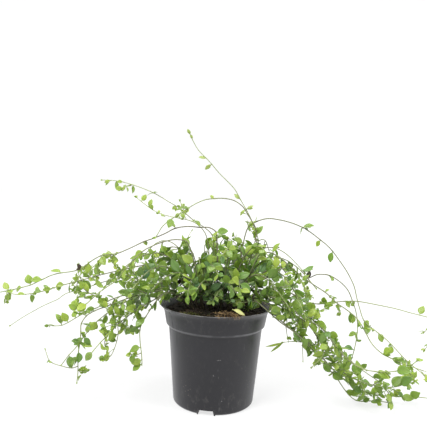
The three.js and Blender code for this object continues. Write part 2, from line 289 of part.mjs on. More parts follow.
    leaves: [
      [0, 2, 71, -15.8, 162.2, 40, 10.3], [0, 14, 221.6, -24.3, 26.6, 38, 10.1],
      [0, 20, 315.8, -5.6, 22.9, 102, 11.1], [0, 3, 70.2, -29.5, 177.1, -89, 11.8],
      [0, 5, 92.4, -47.9, 144.8, -16, 12.6], [0, 6, 112.6, -43.5, 140.2, -10, 12.6],
      [0, 8, 122.3, -11.7, 124.1, 96, 10.4], [0, 9, 135.7, -20, 118.1, 39, 9.2], [0, 11, 165.7, -33, 85.9, -6, 9.5],
      [0, 12, 181.7, -33.5, 69.7, -28, 9.5], [0, 13, 198, -13, 46.7, -69, 6.8],
      [0, 18, 260.9, -12.2, 15.9, -57, 7.8], [0, 19, 277.4, 19.9, 14.8, 38, 10.2], [0, 21, 318.5, 1.3, 21, -32, 8.2],
      [1, 1, 106.7, -34.9, 101.2, 21, 6.4], [2, 1, 115.4, -38.9, 109.5, -50, 7.9],
      [3, 2, 223.5, 12.5, 43.6, 32, 6.2], [3, 1, 227.4, 6.4, 31.4, 23, 8.8], [5, 2, 235.2, 23.3, 5.9, 90, 6.9],
      [6, 2, 339.5, 34.8, 29.8, -9, 6.5], [0, 16, 226, -1.9, 19.7, -63, 4.8], [4, 2, 60.9, -31.3, 151.3, 31, 8.2],
    ] },
  { name: 'runner_floor_b',
    stems: [
      [[43.4, 7.4, 137], [53.6, 1.2, 157.8], [61.2, -2.4, 165.4], [71.3, -5.8, 163.4], [90.5, -9.6, 152.8], [111.2, -12.2, 141.5], [123.7, -13.9, 134.8], [128.9, -14.7, 131.8], [133.9, -15.4, 128.4], [150.4, -18.5, 109.3], [163.4, -21.5, 89], [180.6, -24.9, 68.3], [190, -26.5, 59.4], [213.6, -29.9, 47.1], [234, -32.5, 42.6], [247.4, -34.2, 41.1], [272, -37.4, 44.7], [287.6, -39.9, 57.4]],
      [[128.9, -14.7, 131.8], [131.2, -17.5, 109.8], [130.6, -19.2, 96], [131.8, -22, 72.5]],
      [[213.6, -29.9, 47.1], [218.6, -41.8, 35.1]],
      [[247.4, -34.2, 41.1], [255.6, -37.5, 33.5], [258.4, -40.7, 21.3]],
      [[123.7, -13.9, 134.8], [133.2, -14.2, 151.2], [132.8, -12.8, 172.8], [131.2, -12.2, 178.9]],
      [[234, -32.5, 42.6], [239.8, -36.5, 48.6], [244, -44.3, 60.4]],
      [[111.2, -12.2, 141.5], [117.7, -10, 135.9], [123.3, -4.7, 126.1]],
      [[61.2, -2.4, 165.4], [72, -3.6, 172.8], [82.1, -3, 179.4]],
    ],
    leaves: [
      [0, 12, 204.9, -19.5, 43.7, 63, 12.5], [0, 14, 251.1, -25.9, 30.7, 78, 11.7],
      [0, 16, 286.5, -47.2, 60.8, 55, 12.8], [1, 2, 139.9, -10.6, 81.5, -10, 10.2],
      [0, 3, 75.6, -29.5, 166.4, -82, 15.1], [0, 4, 91.9, -1.9, 133.6, 62, 12.4],
      [0, 5, 125.3, -30.4, 146.8, -2, 12], [0, 8, 145.4, -24, 131.3, -10, 8.9], [0, 9, 157.5, -4.2, 109.8, -5, 9.7],
      [0, 10, 171.6, -36.8, 93.7, -30, 10.3], [0, 11, 190.3, -8.2, 63.2, 74, 12.7],
      [2, 1, 224.6, -46.1, 29.5, -38, 4.9], [3, 1, 253.6, -51, 24.5, -31, 8.4], [4, 1, 141.3, -30, 156.8, -91, 11.4],
      [5, 1, 238.5, -50.4, 50.2, -47, 8.1], [6, 1, 120.2, 4.2, 127.5, 8, 8.8], [7, 1, 77.7, -15.9, 176.9, -12, 7.3],
      [0, 13, 216.4, -28.1, 57.1, 62, 6.6], [3, 2, 265.5, -32.4, 13.7, 64, 7.1],
      [4, 2, 139.8, -18.2, 176.2, 35, 5.7], [0, 1, 54.2, -5.8, 154, 48, 4.9],
    ] },
  { name: 'runner_floor_c',
    stems: [
      [[27.3, -3.6, 137], [40.8, -18.6, 155], [50.2, -30.8, 162.8], [56.3, -42, 162.8], [64.7, -51.4, 158.1], [83.1, -50.8, 142.6], [103.5, -47.9, 127.5], [109.7, -47.3, 123.5], [133.6, -44.9, 103], [142.4, -43.7, 94], [146.9, -43, 88.9], [151.4, -42.1, 83.5], [156.4, -40.8, 77.5], [173.3, -31.2, 58.7], [184.4, -23.1, 45.7], [199.9, -11.6, 24.5], [220.2, -1.1, 5.5], [229.1, -1.3, 4.4], [255, -4.5, 6.8], [266.9, -5.9, 6.1]],
      [[156.4, -40.8, 77.5], [165.8, -41.1, 73.8], [174.9, -42.3, 70.8], [200.2, -49, 64.8]],
      [[109.7, -47.3, 123.5], [117.2, -45.6, 133.4], [118.3, -44.8, 140.6]],
      [[146.9, -43, 88.9], [167.9, -41.1, 95.1], [174.7, -40.8, 100.1]],
      [[56.3, -42, 162.8], [48.1, -49.4, 163], [37.2, -51, 162.1], [26.7, -49, 160.6]],
      [[173.3, -31.2, 58.7], [193.5, -32.6, 53.9], [200.2, -35, 52.9]],
    ],
    leaves: [
      [0, 13, 187.1, -43, 52.7, 38, 12], [0, 16, 235.8, -7, 14.2, 23, 11.2], [0, 2, 48.9, -47.1, 172, -96, 10.1],
      [0, 3, 76.5, -45.5, 161.4, -16, 10.6], [0, 5, 86.2, -35.2, 136.9, -7, 8.9], [0, 8, 131, -28.2, 98.6, 13, 8.9],
      [0, 9, 155.9, -42.9, 97.7, -2, 8], [0, 11, 165.9, -38.6, 86, -55, 9.4], [0, 15, 214, -15, 23.2, -139, 8.9],
      [0, 17, 239, -6.9, 11.9, -127, 6.8], [1, 3, 208.4, -52.5, 67.6, 28, 5.8], [1, 1, 172.5, -51, 79.7, -173, 6.8],
      [1, 2, 177.5, -57.5, 76.1, -19, 10], [2, 2, 113.5, -43.4, 151.4, 8, 6.3],
      [4, 1, 43.9, -64.3, 164.6, -105, 9.6], [4, 2, 29.2, -55, 153.9, -72, 7.2], [5, 1, 195.1, -43.1, 49, -49, 6],
      [0, 7, 112.7, -40.3, 127.4, -2, 5.3], [3, 1, 172.4, -40.4, 88.5, 128, 4.4],
    ] },
  { name: 'runner_floor_d',
    stems: [
      [[34.3, -2.9, 137], [42.2, -10.1, 151.4], [49.8, -16.7, 162.4], [56.4, -22.2, 166.8], [72.9, -36.1, 169.7], [94.4, -49.5, 164.9], [112.6, -52.4, 151.6], [121.1, -53.1, 145.1], [133.1, -54.7, 139.5], [144.7, -56.3, 134.7], [154.3, -58, 126.6], [158.8, -58.9, 121.1], [170.5, -61.4, 106.1], [177.8, -62.9, 98.4], [188.4, -64.8, 88.6], [210.6, -68.2, 77.6], [235.4, -71.5, 76.3], [260.6, -75, 82.1], [276.9, -77.8, 94.7]],
      [[121.1, -53.1, 145.1], [140.6, -41.4, 142.1], [148.6, -32.5, 141.3]],
      [[158.8, -58.9, 121.1], [158.2, -60.5, 109.1], [149.2, -62.1, 89.3], [138, -62.4, 77.3]],
      [[42.2, -10.1, 151.4], [36.5, -19.6, 159.8], [21, -28.1, 157.3]],
      [[177.8, -62.9, 98.4], [178.8, -61, 89.3], [175.3, -57.7, 80.3]],
      [[260.6, -75, 82.1], [271.3, -76.7, 76.1], [275.6, -77.3, 66.5]],
      [[94.4, -49.5, 164.9], [101.6, -47.4, 157], [106.1, -39.8, 142.1]],
    ],
    leaves: [
      [0, 18, 289.7, -69, 95.5, 15, 8], [0, 3, 56.2, -22.5, 186.3, -36, 10.5],
      [0, 4, 81.7, -39.7, 189.7, -172, 11.6], [0, 5, 94.9, -60.3, 153.2, -72, 9.8],
      [0, 6, 121.4, -57.8, 160.3, 2, 7.1], [0, 8, 141.6, -58.8, 124.1, 22, 9.9],
      [0, 10, 148.4, -57.5, 109.1, 120, 9.8], [0, 12, 170.5, -75.3, 99.2, -55, 9.3],
      [0, 15, 213.7, -56.5, 73.6, 39, 6.6], [0, 16, 238.5, -85.2, 70.7, -40, 8.4],
      [0, 17, 263.5, -69.4, 90.8, 59, 6.4], [1, 1, 151.2, -41.2, 144.2, 55, 6.8],
      [2, 1, 154.4, -45.5, 106.5, 44, 9.4], [2, 2, 141.9, -53, 79.2, 33, 7.8], [3, 1, 29.1, -25.2, 150.7, -41, 6.9],
      [4, 2, 170.5, -60.4, 72.6, -28, 5.8], [5, 2, 276.5, -72.1, 59.9, -16, 5.2],
      [0, 2, 48.5, -24.6, 162.2, -13, 4.2], [0, 14, 190.2, -68, 95.7, 86, 5],
    ] },
  { name: 'runner_left_drop_e',
    stems: [
      [[-35.1, 12.9, 137], [-48.7, 4.9, 155.3], [-60.9, -2.8, 168.3], [-71.4, -10, 172.6], [-82.5, -12.4, 171], [-103.4, -11.3, 162.8], [-126.6, -10.1, 152.3], [-149, -9.2, 139.5], [-157.6, -8.9, 133.6], [-165, -8.6, 128.2], [-183.6, -7.7, 111], [-188.7, -7.4, 105.2], [-205.9, -6.4, 80.5], [-221.2, -5.6, 61.8], [-231.7, -5, 47.1]],
      [[-157.6, -8.9, 133.6], [-155.8, -5.3, 124.4], [-142.1, 0.4, 111.2], [-127.7, 3.2, 106]],
      [[-82.5, -12.4, 171], [-85, -6, 185]],
      [[-48.7, 4.9, 155.3], [-56.9, -1.1, 159.3], [-63.1, -6, 159.1]],
    ],
    leaves: [
      [0, 4, -95.2, 0.6, 163, -67, 11.9], [0, 9, -170.1, -11.6, 111.1, -110, 9.6],
      [0, 11, -199.4, 0.8, 99.1, -86, 9.1], [0, 2, -50.4, -15.1, 179.6, 35, 11.5],
      [0, 5, -102.1, -10, 146.1, -127, 9.2], [0, 6, -140.3, -7.2, 157.1, -13, 7.7],
      [0, 7, -158.4, -19.3, 146.6, 156, 9.3], [0, 12, -196.7, -2.9, 70.1, -16, 7.7],
      [1, 1, -154.4, 7, 119.7, -13, 7.4], [1, 2, -137.7, 12.9, 113.9, -76, 8], [2, 1, -79.1, -2.3, 190.1, 0, 5.5],
    ] },
  { name: 'runner_floor_e',
    stems: [
      [[45.5, 14.1, 137], [58.1, 6.6, 162.5], [70.9, 3.4, 167.5], [81.5, 2.4, 164.3], [93.6, 1.8, 160.1], [113.6, 1.5, 151.8], [138.3, 1.1, 135.9], [150, 0.8, 126.5], [171.3, 0.3, 106.4], [190.6, -0.1, 85.8], [197.9, -0.3, 78], [211.4, -0.6, 64.7], [224, -0.9, 55.3], [243.1, -1.2, 43], [252.2, -1.4, 37.4], [275.2, -1.9, 25.2], [282.8, -2, 21.6]],
      [[252.2, -1.4, 37.4], [251.4, -8, 28.8], [243.9, -13.9, 22.1]],
      [[138.3, 1.1, 135.9], [146.8, 0.2, 137.7], [167, -2.8, 148.7]],
      [[197.9, -0.3, 78], [190.1, -1.2, 67.7], [171.9, -2, 61.4], [161.7, -2.1, 61.3]],
      [[171.3, 0.3, 106.4], [167.8, -0.9, 98.4], [159.8, -2, 92.9], [153.3, -2.6, 90.8]],
      [[93.6, 1.8, 160.1], [101, 0.9, 152.8], [108.1, -0.8, 134.2], [108.6, -1.4, 127.2]],
    ],
    leaves: [
      [0, 4, 105.7, -17.8, 158.1, 59, 14.8], [0, 6, 157.3, 9.6, 129.3, 4, 12.8],
      [0, 7, 166.6, -10.3, 115.5, 18, 13.1], [0, 16, 288.5, 1, 15.8, 35, 4.7], [0, 3, 97.9, 13.9, 162.9, -106, 11.4],
      [0, 5, 124.5, 13.2, 143.8, 60, 9], [0, 8, 184.5, -13.9, 107.8, -91, 10.6], [0, 9, 181.6, -2.7, 72.2, 13, 10.4],
      [0, 10, 200.9, 17.2, 71.3, 99, 10.3], [0, 12, 223.5, 12.8, 45.7, 41, 9], [0, 14, 260.1, 5.8, 33.8, -13, 6.5],
      [1, 1, 254.1, -19.3, 32.9, -46, 6.6], [2, 2, 174.5, -1.7, 157.6, -125, 6.8],
      [2, 1, 154.8, -13.9, 144.3, -51, 10.4], [3, 1, 177.9, 4.3, 66.1, 49, 7], [3, 2, 170.1, -3.1, 49.5, 28, 7.2],
      [4, 1, 154.5, -8.6, 98.5, 16, 8.1], [4, 2, 153.6, -9.8, 86.2, 14, 6.5], [5, 1, 98.6, -5.5, 138.1, -120, 8.5],
      [5, 2, 114.7, 9.1, 126.7, 47, 7.3],
    ] },
  { name: 'shoot_a',
    stems: [
      [[-27.6, 13.4, 137], [-37, 12, 157.7], [-50, 10, 185.2], [-68.5, 6.7, 209.8], [-80.4, 4.2, 218.2], [-100, -1, 221.2], [-113.7, -5.6, 217.4], [-119.9, -8.1, 214.3], [-132.7, -13.8, 205.6], [-153.2, -25.9, 185.6], [-161.6, -31.2, 176.4]],
      [[-119.9, -8.1, 214.3], [-125.1, -9.5, 203.3], [-125.9, -9.1, 191.4], [-122.5, -6.7, 176.5]],
    ],
    leaves: [
      [0, 4, -84.8, -3.9, 232.5, -74, 8.5], [0, 1, -38.8, 19.7, 172.8, -54, 9], [0, 2, -45.3, 8.5, 202, -29, 10.7],
      [0, 8, -126.9, -25.3, 192.9, 102, 10.4], [0, 9, -143.9, -36.3, 180.6, 82, 7.8],
      [1, 1, -137.3, -0.4, 197.8, -17, 10.2], [0, 6, -117.1, -6.2, 210.2, -96, 4.1],
    ] },
  { name: 'shoot_b',
    stems: [
      [[-19.8, 16.8, 137], [-24.7, 17.1, 151.3], [-31.9, 17.4, 173], [-37.4, 17.9, 188], [-44.3, 18.8, 203.1], [-60.2, 22.3, 226.4], [-72.9, 26.9, 235.7], [-87.2, 34.6, 237.2], [-99.7, 44.1, 231.4], [-109.4, 54.5, 222.4], [-117.8, 65.1, 212.4]],
      [[-87.2, 34.6, 237.2], [-88.4, 34.3, 228.8], [-83.9, 30.3, 218.1], [-75, 23.8, 208.7]],
    ],
    leaves: [
      [0, 10, -122.5, 71.3, 204.4, -38, 7], [0, 2, -25.2, 14, 196, -14, 13.6], [0, 4, -45, 30.2, 221.6, -74, 11.6],
      [0, 5, -52.1, 26.5, 242.8, -43, 10.9], [1, 2, -89.9, 22.7, 211.6, 35, 6.7], [0, 1, -26.6, 4.6, 145.9, 27, 6.9],
    ] },
  { name: 'shoot_c',
    stems: [
      [[-34.1, 6, 137], [-44.6, 1.7, 162.3], [-49.5, -0.4, 173.3], [-64.4, -8.7, 195.9], [-72.8, -14.3, 202.4], [-86.8, -24.7, 205.3], [-105.2, -40.9, 195.3], [-113.3, -49.3, 186.2], [-124.4, -62, 168.9], [-130.4, -69.2, 158.4]],
      [[-86.8, -24.7, 205.3], [-92.1, -24.2, 211.3], [-96.6, -17.8, 221.9]],
    ],
    leaves: [
      [0, 1, -40, -4.3, 176.3, 44, 8.8], [0, 2, -44.5, -0.6, 189.7, -10, 10.8], [0, 3, -74.2, -22, 200.1, 57, 10],
      [0, 5, -111, -21.2, 200.4, -38, 14.5], [0, 6, -122.9, -32.6, 188.2, -9, 13.3],
      [0, 8, -117.9, -74.5, 170.1, 52, 8], [1, 1, -102.4, -32.3, 214.8, 65, 7.2],
      [0, 7, -115.6, -57.5, 188.5, -128, 5.3],
    ] },
  { name: 'shoot_d',
    stems: [
      [[-27.6, 3.2, 137], [-34.9, -3.7, 160.7], [-39.6, -8.2, 174.4], [-48.9, -17.7, 191.1], [-55.5, -24.3, 196.5], [-64.8, -32.9, 197], [-74.4, -40.3, 192.5], [-93.3, -49.1, 175.1], [-99.4, -50.7, 168.4]],
    ],
    leaves: [
      [0, 1, -55, -17, 161.1, 51, 12.5], [0, 2, -33.6, -24.6, 180.5, 97, 10.6],
      [0, 4, -57.5, -47.7, 187.9, 41, 15.8], [0, 6, -88.8, -43.8, 194.5, 20, 9],
      [0, 7, -108.8, -46.3, 177.3, -20, 9.7],
    ] },
  { name: 'shoot_e',
    stems: [
      [[-21.8, -0.7, 137], [-25.5, -11.5, 163.5], [-27.6, -17.6, 175.2], [-30.7, -27, 186.6], [-33.6, -37.2, 192.5], [-36.6, -50.7, 193.1], [-39.9, -74.9, 181.8], [-40.3, -82.2, 176.4]],
    ],
    leaves: [
      [0, 3, -46.5, -33.2, 183.8, -13, 10.1], [0, 2, -18.4, -23.1, 185.7, 5, 9.3],
      [0, 5, -31.1, -59.5, 203, 77, 7.8], [0, 6, -56.1, -79, 177.4, -8, 9.8],
    ] },
  { name: 'shoot_f',
    stems: [
      [[-9.2, -4.4, 137], [-10.8, -14.5, 160.3], [-14.1, -31.8, 184.6], [-17.5, -46.1, 191.3], [-22.1, -60, 190.1], [-30.5, -75.6, 180.3]],
    ],
    leaves: [
      [0, 1, 3.3, -21.1, 177.9, 89, 13.3], [0, 2, -16.2, -35.5, 201.8, -133, 10.7],
      [0, 4, -18.4, -68.5, 197.9, -145, 7.2],
    ] },
  { name: 'shoot_g',
    stems: [
      [[6.3, -5.8, 137], [6.9, -12, 150.6], [7.3, -15.3, 157.7], [8.9, -27, 176.1], [12.1, -43.6, 188.1], [16.2, -58.2, 189.4], [21.3, -70.1, 185.7], [26.8, -78.7, 180.3]],
      [[8.9, -27, 176.1], [4.3, -37.5, 176], [-1.9, -45.6, 168.3], [-5.1, -48.6, 162.7]],
    ],
    leaves: [
      [0, 7, 33.5, -82.7, 170.1, -13, 6.8], [0, 2, 13.1, -34.8, 157.9, -12, 13], [0, 4, 30.3, -47.8, 190.7, 27, 9.5],
      [0, 6, 17.9, -80.3, 173.3, -54, 8.6], [1, 2, 0.7, -42, 154.9, 153, 7.4], [0, 1, 9.7, 2.1, 152.3, 4, 8.5],
    ] },
  { name: 'shoot_h',
    stems: [
      [[17.8, -2.8, 137], [19.5, -7.9, 151.1], [22, -16.2, 171.8], [25.9, -32.6, 191.7], [28.4, -47.1, 195.5], [30.1, -63, 191.4], [30.1, -82.2, 178.4]],
    ],
    leaves: [
      [0, 1, 14.3, -7.2, 167.2, -48, 9.5], [0, 2, 39.5, -30.9, 179.6, -2, 14.2], [0, 3, 41.8, -30.5, 202, 80, 10.4],
      [0, 5, 19.1, -78.7, 200.6, -69, 12.5],
    ] },
  { name: 'shoot_i',
    stems: [
      [[27.4, 3.4, 137], [31.3, -1.1, 150.6], [34.1, -4.3, 160.7], [44.2, -15.7, 187], [53, -25.3, 197.2], [61.8, -34.3, 199.4], [72.1, -43.5, 194.8], [81.6, -50.6, 185.8], [90.9, -55.2, 174.2], [101.9, -58.9, 158.5]],
      [[81.6, -50.6, 185.8], [90, -53, 186.5], [111.3, -56.5, 193.4], [118.3, -56.7, 197.4]],
    ],
    leaves: [
      [0, 2, 52.3, -4.3, 170.4, -105, 13.1], [0, 4, 62, -18.4, 213.2, 111, 12], [0, 6, 83, -56.3, 212.2, -59, 13.9],
      [0, 7, 86.6, -63.5, 193.7, -65, 8.2], [1, 1, 103.8, -46.1, 180.9, 20, 8.4],
      [1, 2, 111.8, -66.7, 198.6, -67, 6.4], [0, 1, 25.3, -8.8, 145.6, -29, 7.2],
    ] },
  { name: 'shoot_j',
    stems: [
      [[37.3, 10.9, 137], [42.5, 6.7, 150.5], [50.2, 0.6, 170.3], [55, -3.1, 181], [65.3, -10.4, 196.3], [71.9, -15, 202], [83.4, -24.1, 205.3], [94.8, -34.5, 200.3], [104.7, -44.8, 188.8], [114.2, -56, 171.4], [124, -68.6, 148.5]],
    ],
    leaves: [
      [0, 1, 47.6, 8.1, 168.6, 75, 10.8], [0, 4, 73.3, -4.6, 213.9, 50, 10.8], [0, 8, 112.7, -62.5, 187.7, 24, 9.8],
      [0, 6, 97.2, -21.7, 191.6, 25, 10.9], [0, 9, 129.9, -58, 174.1, 175, 9],
    ] },
  { name: 'shoot_k',
    stems: [
      [[23.6, 11.5, 137], [34.5, 10.1, 160.9], [46.6, 8.5, 186.5], [61.5, 6.1, 208], [71.9, 4.4, 216.7], [82.8, 3, 221.2], [94.8, 2.1, 220.8], [107.4, 1.9, 216.3], [120.5, 2.8, 207.8], [140.6, 7.2, 188.4], [151.6, 10.6, 176]],
    ],
    leaves: [
      [0, 1, 45.9, 19.2, 163.1, 69, 8.2], [0, 3, 80.5, 3.3, 213.5, 47, 11.9], [0, 6, 97.7, 19.2, 213.5, 46, 10.6],
      [0, 8, 120.2, 9.3, 190.2, 118, 10.3],
    ] },
  { name: 'shoot_l',
    stems: [
      [[22.5, 18.4, 137], [30.9, 19.5, 162.6], [40.3, 22.2, 189.3], [46.9, 22, 203.4], [62.6, 24.7, 225.3], [73.8, 26.8, 232.2], [86.9, 29, 233.1], [101.5, 30.7, 227.6], [125.6, 30.3, 207.7], [136.5, 29.2, 196.4]],
    ],
    leaves: [
      [0, 1, 27.5, 22.9, 174.4, 69, 7], [0, 3, 42, 37.7, 213.4, -13, 11.9], [0, 6, 94.4, 26.1, 215.8, -37, 11.4],
    ] },
  { name: 'shoot_m',
    stems: [
      [[24, 31.1, 137], [28.5, 32.3, 161.4], [30.9, 32.9, 174.5], [37.5, 36.4, 203.2], [39.7, 38.6, 210.2], [42.5, 41.9, 217], [49.2, 51.6, 225.1], [55, 62.4, 222.6], [62.3, 83.6, 203.8], [63.8, 91.2, 194.3], [65.3, 100.3, 182.5]],
      [[39.7, 38.6, 210.2], [37.1, 39.9, 221.3], [24.2, 39.4, 238.8], [17.9, 38.3, 243]],
      [[63.8, 91.2, 194.3], [80.5, 96.2, 186], [92.2, 95.9, 181.9], [102.4, 94, 179]],
    ],
    leaves: [
      [0, 10, 74.3, 107.3, 176.8, 4, 7], [0, 1, 21.6, 41.9, 181.3, 17, 13.8], [0, 2, 24.5, 37.5, 191.7, 36, 10.3],
      [0, 3, 49.9, 49.6, 214.7, 29, 12], [0, 6, 40.7, 65.1, 214.3, 73, 10.6], [0, 7, 68.6, 57, 205.4, 16, 11.8],
      [0, 8, 75.2, 88.1, 196.4, -12, 8.8], [1, 1, 25.2, 52.4, 226.4, 29, 9.6], [1, 2, 28.3, 37.1, 252.1, -172, 7.3],
      [2, 2, 100.6, 105.8, 180.2, 27, 7.9],
    ] },
  { name: 'shoot_n',
    stems: [
      [[10.3, 33.8, 137], [13, 38.8, 159.7], [14.7, 42.2, 174.5], [19.2, 52.1, 200.4], [23.7, 62.7, 211.4], [28.8, 73.3, 212.7], [35.4, 85, 205.5], [46.1, 99.9, 183.9], [49.4, 103.3, 176], [56.6, 109.8, 158.5], [59.9, 112.8, 150.5]],
      [[28.8, 73.3, 212.7], [26.3, 81.8, 219.3], [21.7, 86.8, 226.8], [15.9, 89.9, 234.8]],
      [[49.4, 103.3, 176], [57.8, 109, 179.2], [66, 114, 186], [74, 117.7, 198.9]],
      [[56.6, 109.8, 158.5], [56.1, 119, 154.1], [49.9, 140.8, 148.8], [44.1, 152.3, 148.5]],
    ],
    leaves: [
      [0, 10, 67.2, 111.5, 139.6, -42, 7.2], [0, 1, 4.5, 47.6, 172.5, 54, 9], [0, 2, 1.6, 53.7, 182.5, 62, 10.2],
      [0, 3, 18, 74.4, 201.4, 32, 11.7], [0, 5, 36.8, 86.9, 221.5, -29, 11.3], [0, 6, 23.7, 95.3, 196.4, 88, 10.2],
      [0, 7, 33, 111, 179.7, 41, 9.7], [0, 9, 70.5, 105, 152.4, 1, 8.7], [1, 2, 7.4, 88.1, 224, 11, 9.1],
      [2, 1, 57.4, 123.6, 187.1, 18, 8.3], [2, 2, 73.8, 127.2, 186.9, 31, 8.3], [3, 1, 70.5, 121.7, 150.6, -7, 7.8],
      [3, 2, 59, 147.8, 153.3, -51, 6.3],
    ] },
  { name: 'shoot_o',
    stems: [
      [[-7.6, 30.9, 137], [-8.8, 36.1, 162.2], [-9.3, 38.6, 174.2], [-11.3, 46.2, 199.5], [-13.6, 53.9, 212.2], [-17.1, 64.2, 218.9], [-21.4, 75.7, 216.8], [-29.3, 93.1, 200.1], [-38.4, 106.8, 175.2], [-43.5, 113.7, 160.5]],
      [[-38.4, 106.8, 175.2], [-30.1, 105.7, 170.4], [-7.8, 97.5, 166.5], [1.3, 92.3, 168], [8.9, 87.2, 170.4]],
    ],
    leaves: [
      [0, 1, -18.7, 44.5, 176.9, 143, 12.3], [0, 2, 0.6, 34.4, 190.7, -36, 12], [0, 3, -22.8, 67, 204.4, 56, 13.1],
      [0, 5, -10.1, 70.5, 240.7, -98, 12.2], [0, 7, -42.3, 80, 188.5, 49, 11.7],
      [0, 8, -52.5, 102.2, 173.2, 52, 8.2], [1, 1, -14.3, 114.7, 162.9, -51, 11.7],
      [1, 3, 3.2, 78.4, 169.6, -48, 8.5],
    ] },
  { name: 'shoot_p',
    stems: [
      [[-21.3, 30.4, 137], [-26.6, 35.3, 164.7], [-32.2, 41, 191.8], [-40, 53.3, 215.7], [-45.4, 65.6, 221.2], [-50.2, 80.1, 215.9], [-54.1, 100.2, 195.8], [-54.7, 107.4, 185.9], [-55, 116.1, 172.6], [-55.3, 123.9, 160.5]],
      [[-55, 116.1, 172.6], [-71.1, 119.4, 159.6], [-94.7, 115.1, 147.5]],
      [[-32.2, 41, 191.8], [-31.2, 47.5, 199.9], [-26.6, 61.1, 207.8]],
      [[-54.7, 107.4, 185.9], [-60.1, 104.7, 180.5], [-68.8, 96.7, 174.9], [-76.1, 86.4, 173.3], [-80.6, 78.4, 173.7]],
    ],
    leaves: [
      [0, 9, -56.5, 137.4, 157.2, 8, 8.4], [0, 1, -36.1, 51.5, 167.8, -13, 11.1], [0, 2, -49.2, 43.4, 197.7, 21, 11],
      [0, 3, -53.3, 59.3, 219.3, -158, 9.3], [0, 5, -61.4, 88, 218.7, -168, 8.3],
      [0, 6, -50.1, 115.6, 202.1, -68, 8.7], [1, 2, -107.4, 112, 148.8, 78, 8.4],
      [1, 1, -81.6, 105.7, 160, 67, 10.9], [3, 1, -75.8, 107.7, 173.6, 75, 9.5], [3, 3, -82.6, 81.2, 184.8, 56, 7.2],
    ] },
  { name: 'shoot_q',
    stems: [
      [[-26.4, 23, 137], [-33.5, 25.2, 164.6], [-37, 26.3, 178], [-45.4, 29.4, 203.5], [-52.1, 32.4, 215.8], [-60, 36.1, 224.4], [-73.2, 42.4, 226.9], [-83.6, 47.2, 222.5], [-102.3, 54.1, 205.7], [-118.2, 58.3, 186.7]],
      [[-52.1, 32.4, 215.8], [-51.4, 46, 235.9], [-44, 61.3, 251.9]],
    ],
    leaves: [
      [0, 9, -130.7, 63.3, 186.3, 82, 7.5], [0, 1, -54.8, 28, 168.7, 56, 11.8], [0, 2, -52, 25, 180.9, -101, 9.1],
      [0, 4, -51.1, 52.5, 217.9, 2, 12], [0, 6, -90.7, 45.5, 210.6, 33, 15.2], [0, 7, -76.8, 59.9, 204.2, -38, 13.4],
      [0, 8, -108.3, 40.8, 199.6, 52, 9.5],
    ] },
  { name: 'shoot_r',
    stems: [
      [[-10.2, 10.6, 137], [-14.5, 6.3, 162.5], [-16.7, 3.8, 174.8], [-22.5, -4.9, 201.5], [-25.9, -12.7, 213.6], [-28.3, -24.5, 221], [-28, -35.2, 219.8], [-26.1, -44.5, 214.3]],
    ],
    leaves: [
      [0, 2, -28.7, 4.8, 189.1, -78, 11.9], [0, 5, -24.8, -32.4, 209.1, 95, 8.2],
    ] },
  { name: 'shoot_s',
    stems: [
      [[7, 7.9, 137], [9.2, 2.7, 161.1], [10.6, -1.1, 177.2], [13.1, -9.8, 203.4], [14.3, -17, 217.8], [14.9, -25.8, 229], [14, -37.9, 236.6], [10, -50.8, 235.7], [5.5, -59.3, 230.3]],
    ],
    leaves: [
      [0, 1, 18.4, 13.7, 172.1, 84, 9.5], [0, 2, 24.6, 1.5, 188.9, 38, 10.6], [0, 3, 20.1, -33.9, 206.3, -24, 14.7],
      [0, 4, 30.6, -13.8, 227.1, 125, 10.5], [0, 6, 2.3, -50.4, 234.1, -78, 8.7], [0, 7, 19.4, -59, 226.6, 49, 9.1],
    ] },
  { name: 'shoot_t',
    stems: [
      [[5.7, 18.3, 137], [8.1, 20.1, 160.7], [9.4, 21.2, 174], [12.4, 24.7, 202.6], [13.9, 27.8, 217.2], [15.1, 32.7, 231.1], [15.2, 40.4, 241.8], [11.4, 53.8, 244], [5.8, 63.4, 236.4]],
      [[12.4, 24.7, 202.6], [8.8, 28.5, 213.2], [-1.6, 36.2, 227.5]],
    ],
    leaves: [
      [0, 1, 15.6, 36.1, 166.4, 37, 9.7], [0, 2, 18.4, 33.4, 189.5, 28, 11.7], [0, 3, -0.9, 43.3, 207.6, -10, 13.2],
      [0, 4, 28.8, 38.2, 220.6, -59, 10.6], [0, 6, 3.6, 47.8, 247.9, 65, 8.6], [0, 7, -2, 56, 250.8, 22, 8.9],
      [1, 1, -2.8, 28.3, 218.3, 26, 6.5],
    ] },
  { name: 'shoot_u',
    stems: [
      [[-12.8, 24.1, 137], [-15.6, 23.7, 164.3], [-17, 23.8, 178.2], [-18.3, 24.7, 191], [-21.1, 30.8, 219.4], [-21, 38.8, 232.2], [-15.1, 52.6, 232.2], [-10.7, 58.7, 226.4]],
      [[-15.6, 23.7, 164.3], [-6.6, 26.4, 172.3], [5.1, 29.8, 173], [17, 33.2, 169.2]],
      [[-18.3, 24.7, 191], [-15.7, 29.2, 199.4], [-4.4, 44, 213.6], [1.5, 51.1, 216.9]],
    ],
    leaves: [
      [0, 7, -3.7, 69.7, 223.4, -43, 7.1], [0, 2, -19.8, 38.5, 190.9, -62, 9.8],
      [0, 5, -11.1, 39.8, 244.8, -57, 9.5], [2, 1, -2.2, 26.7, 205.9, -111, 8.2], [2, 2, 3.4, 53.9, 210.7, -33, 7.4],
    ] },
  { name: 'shoot_v',
    stems: [
      [[-7.5, 3.7, 137], [-9.1, -3.3, 159.8], [-10.8, -13.6, 185.5], [-11.3, -30.2, 206.9], [-9.9, -42.2, 212.9], [-5.9, -55.4, 211.8], [-0.2, -65.6, 204.3]],
    ],
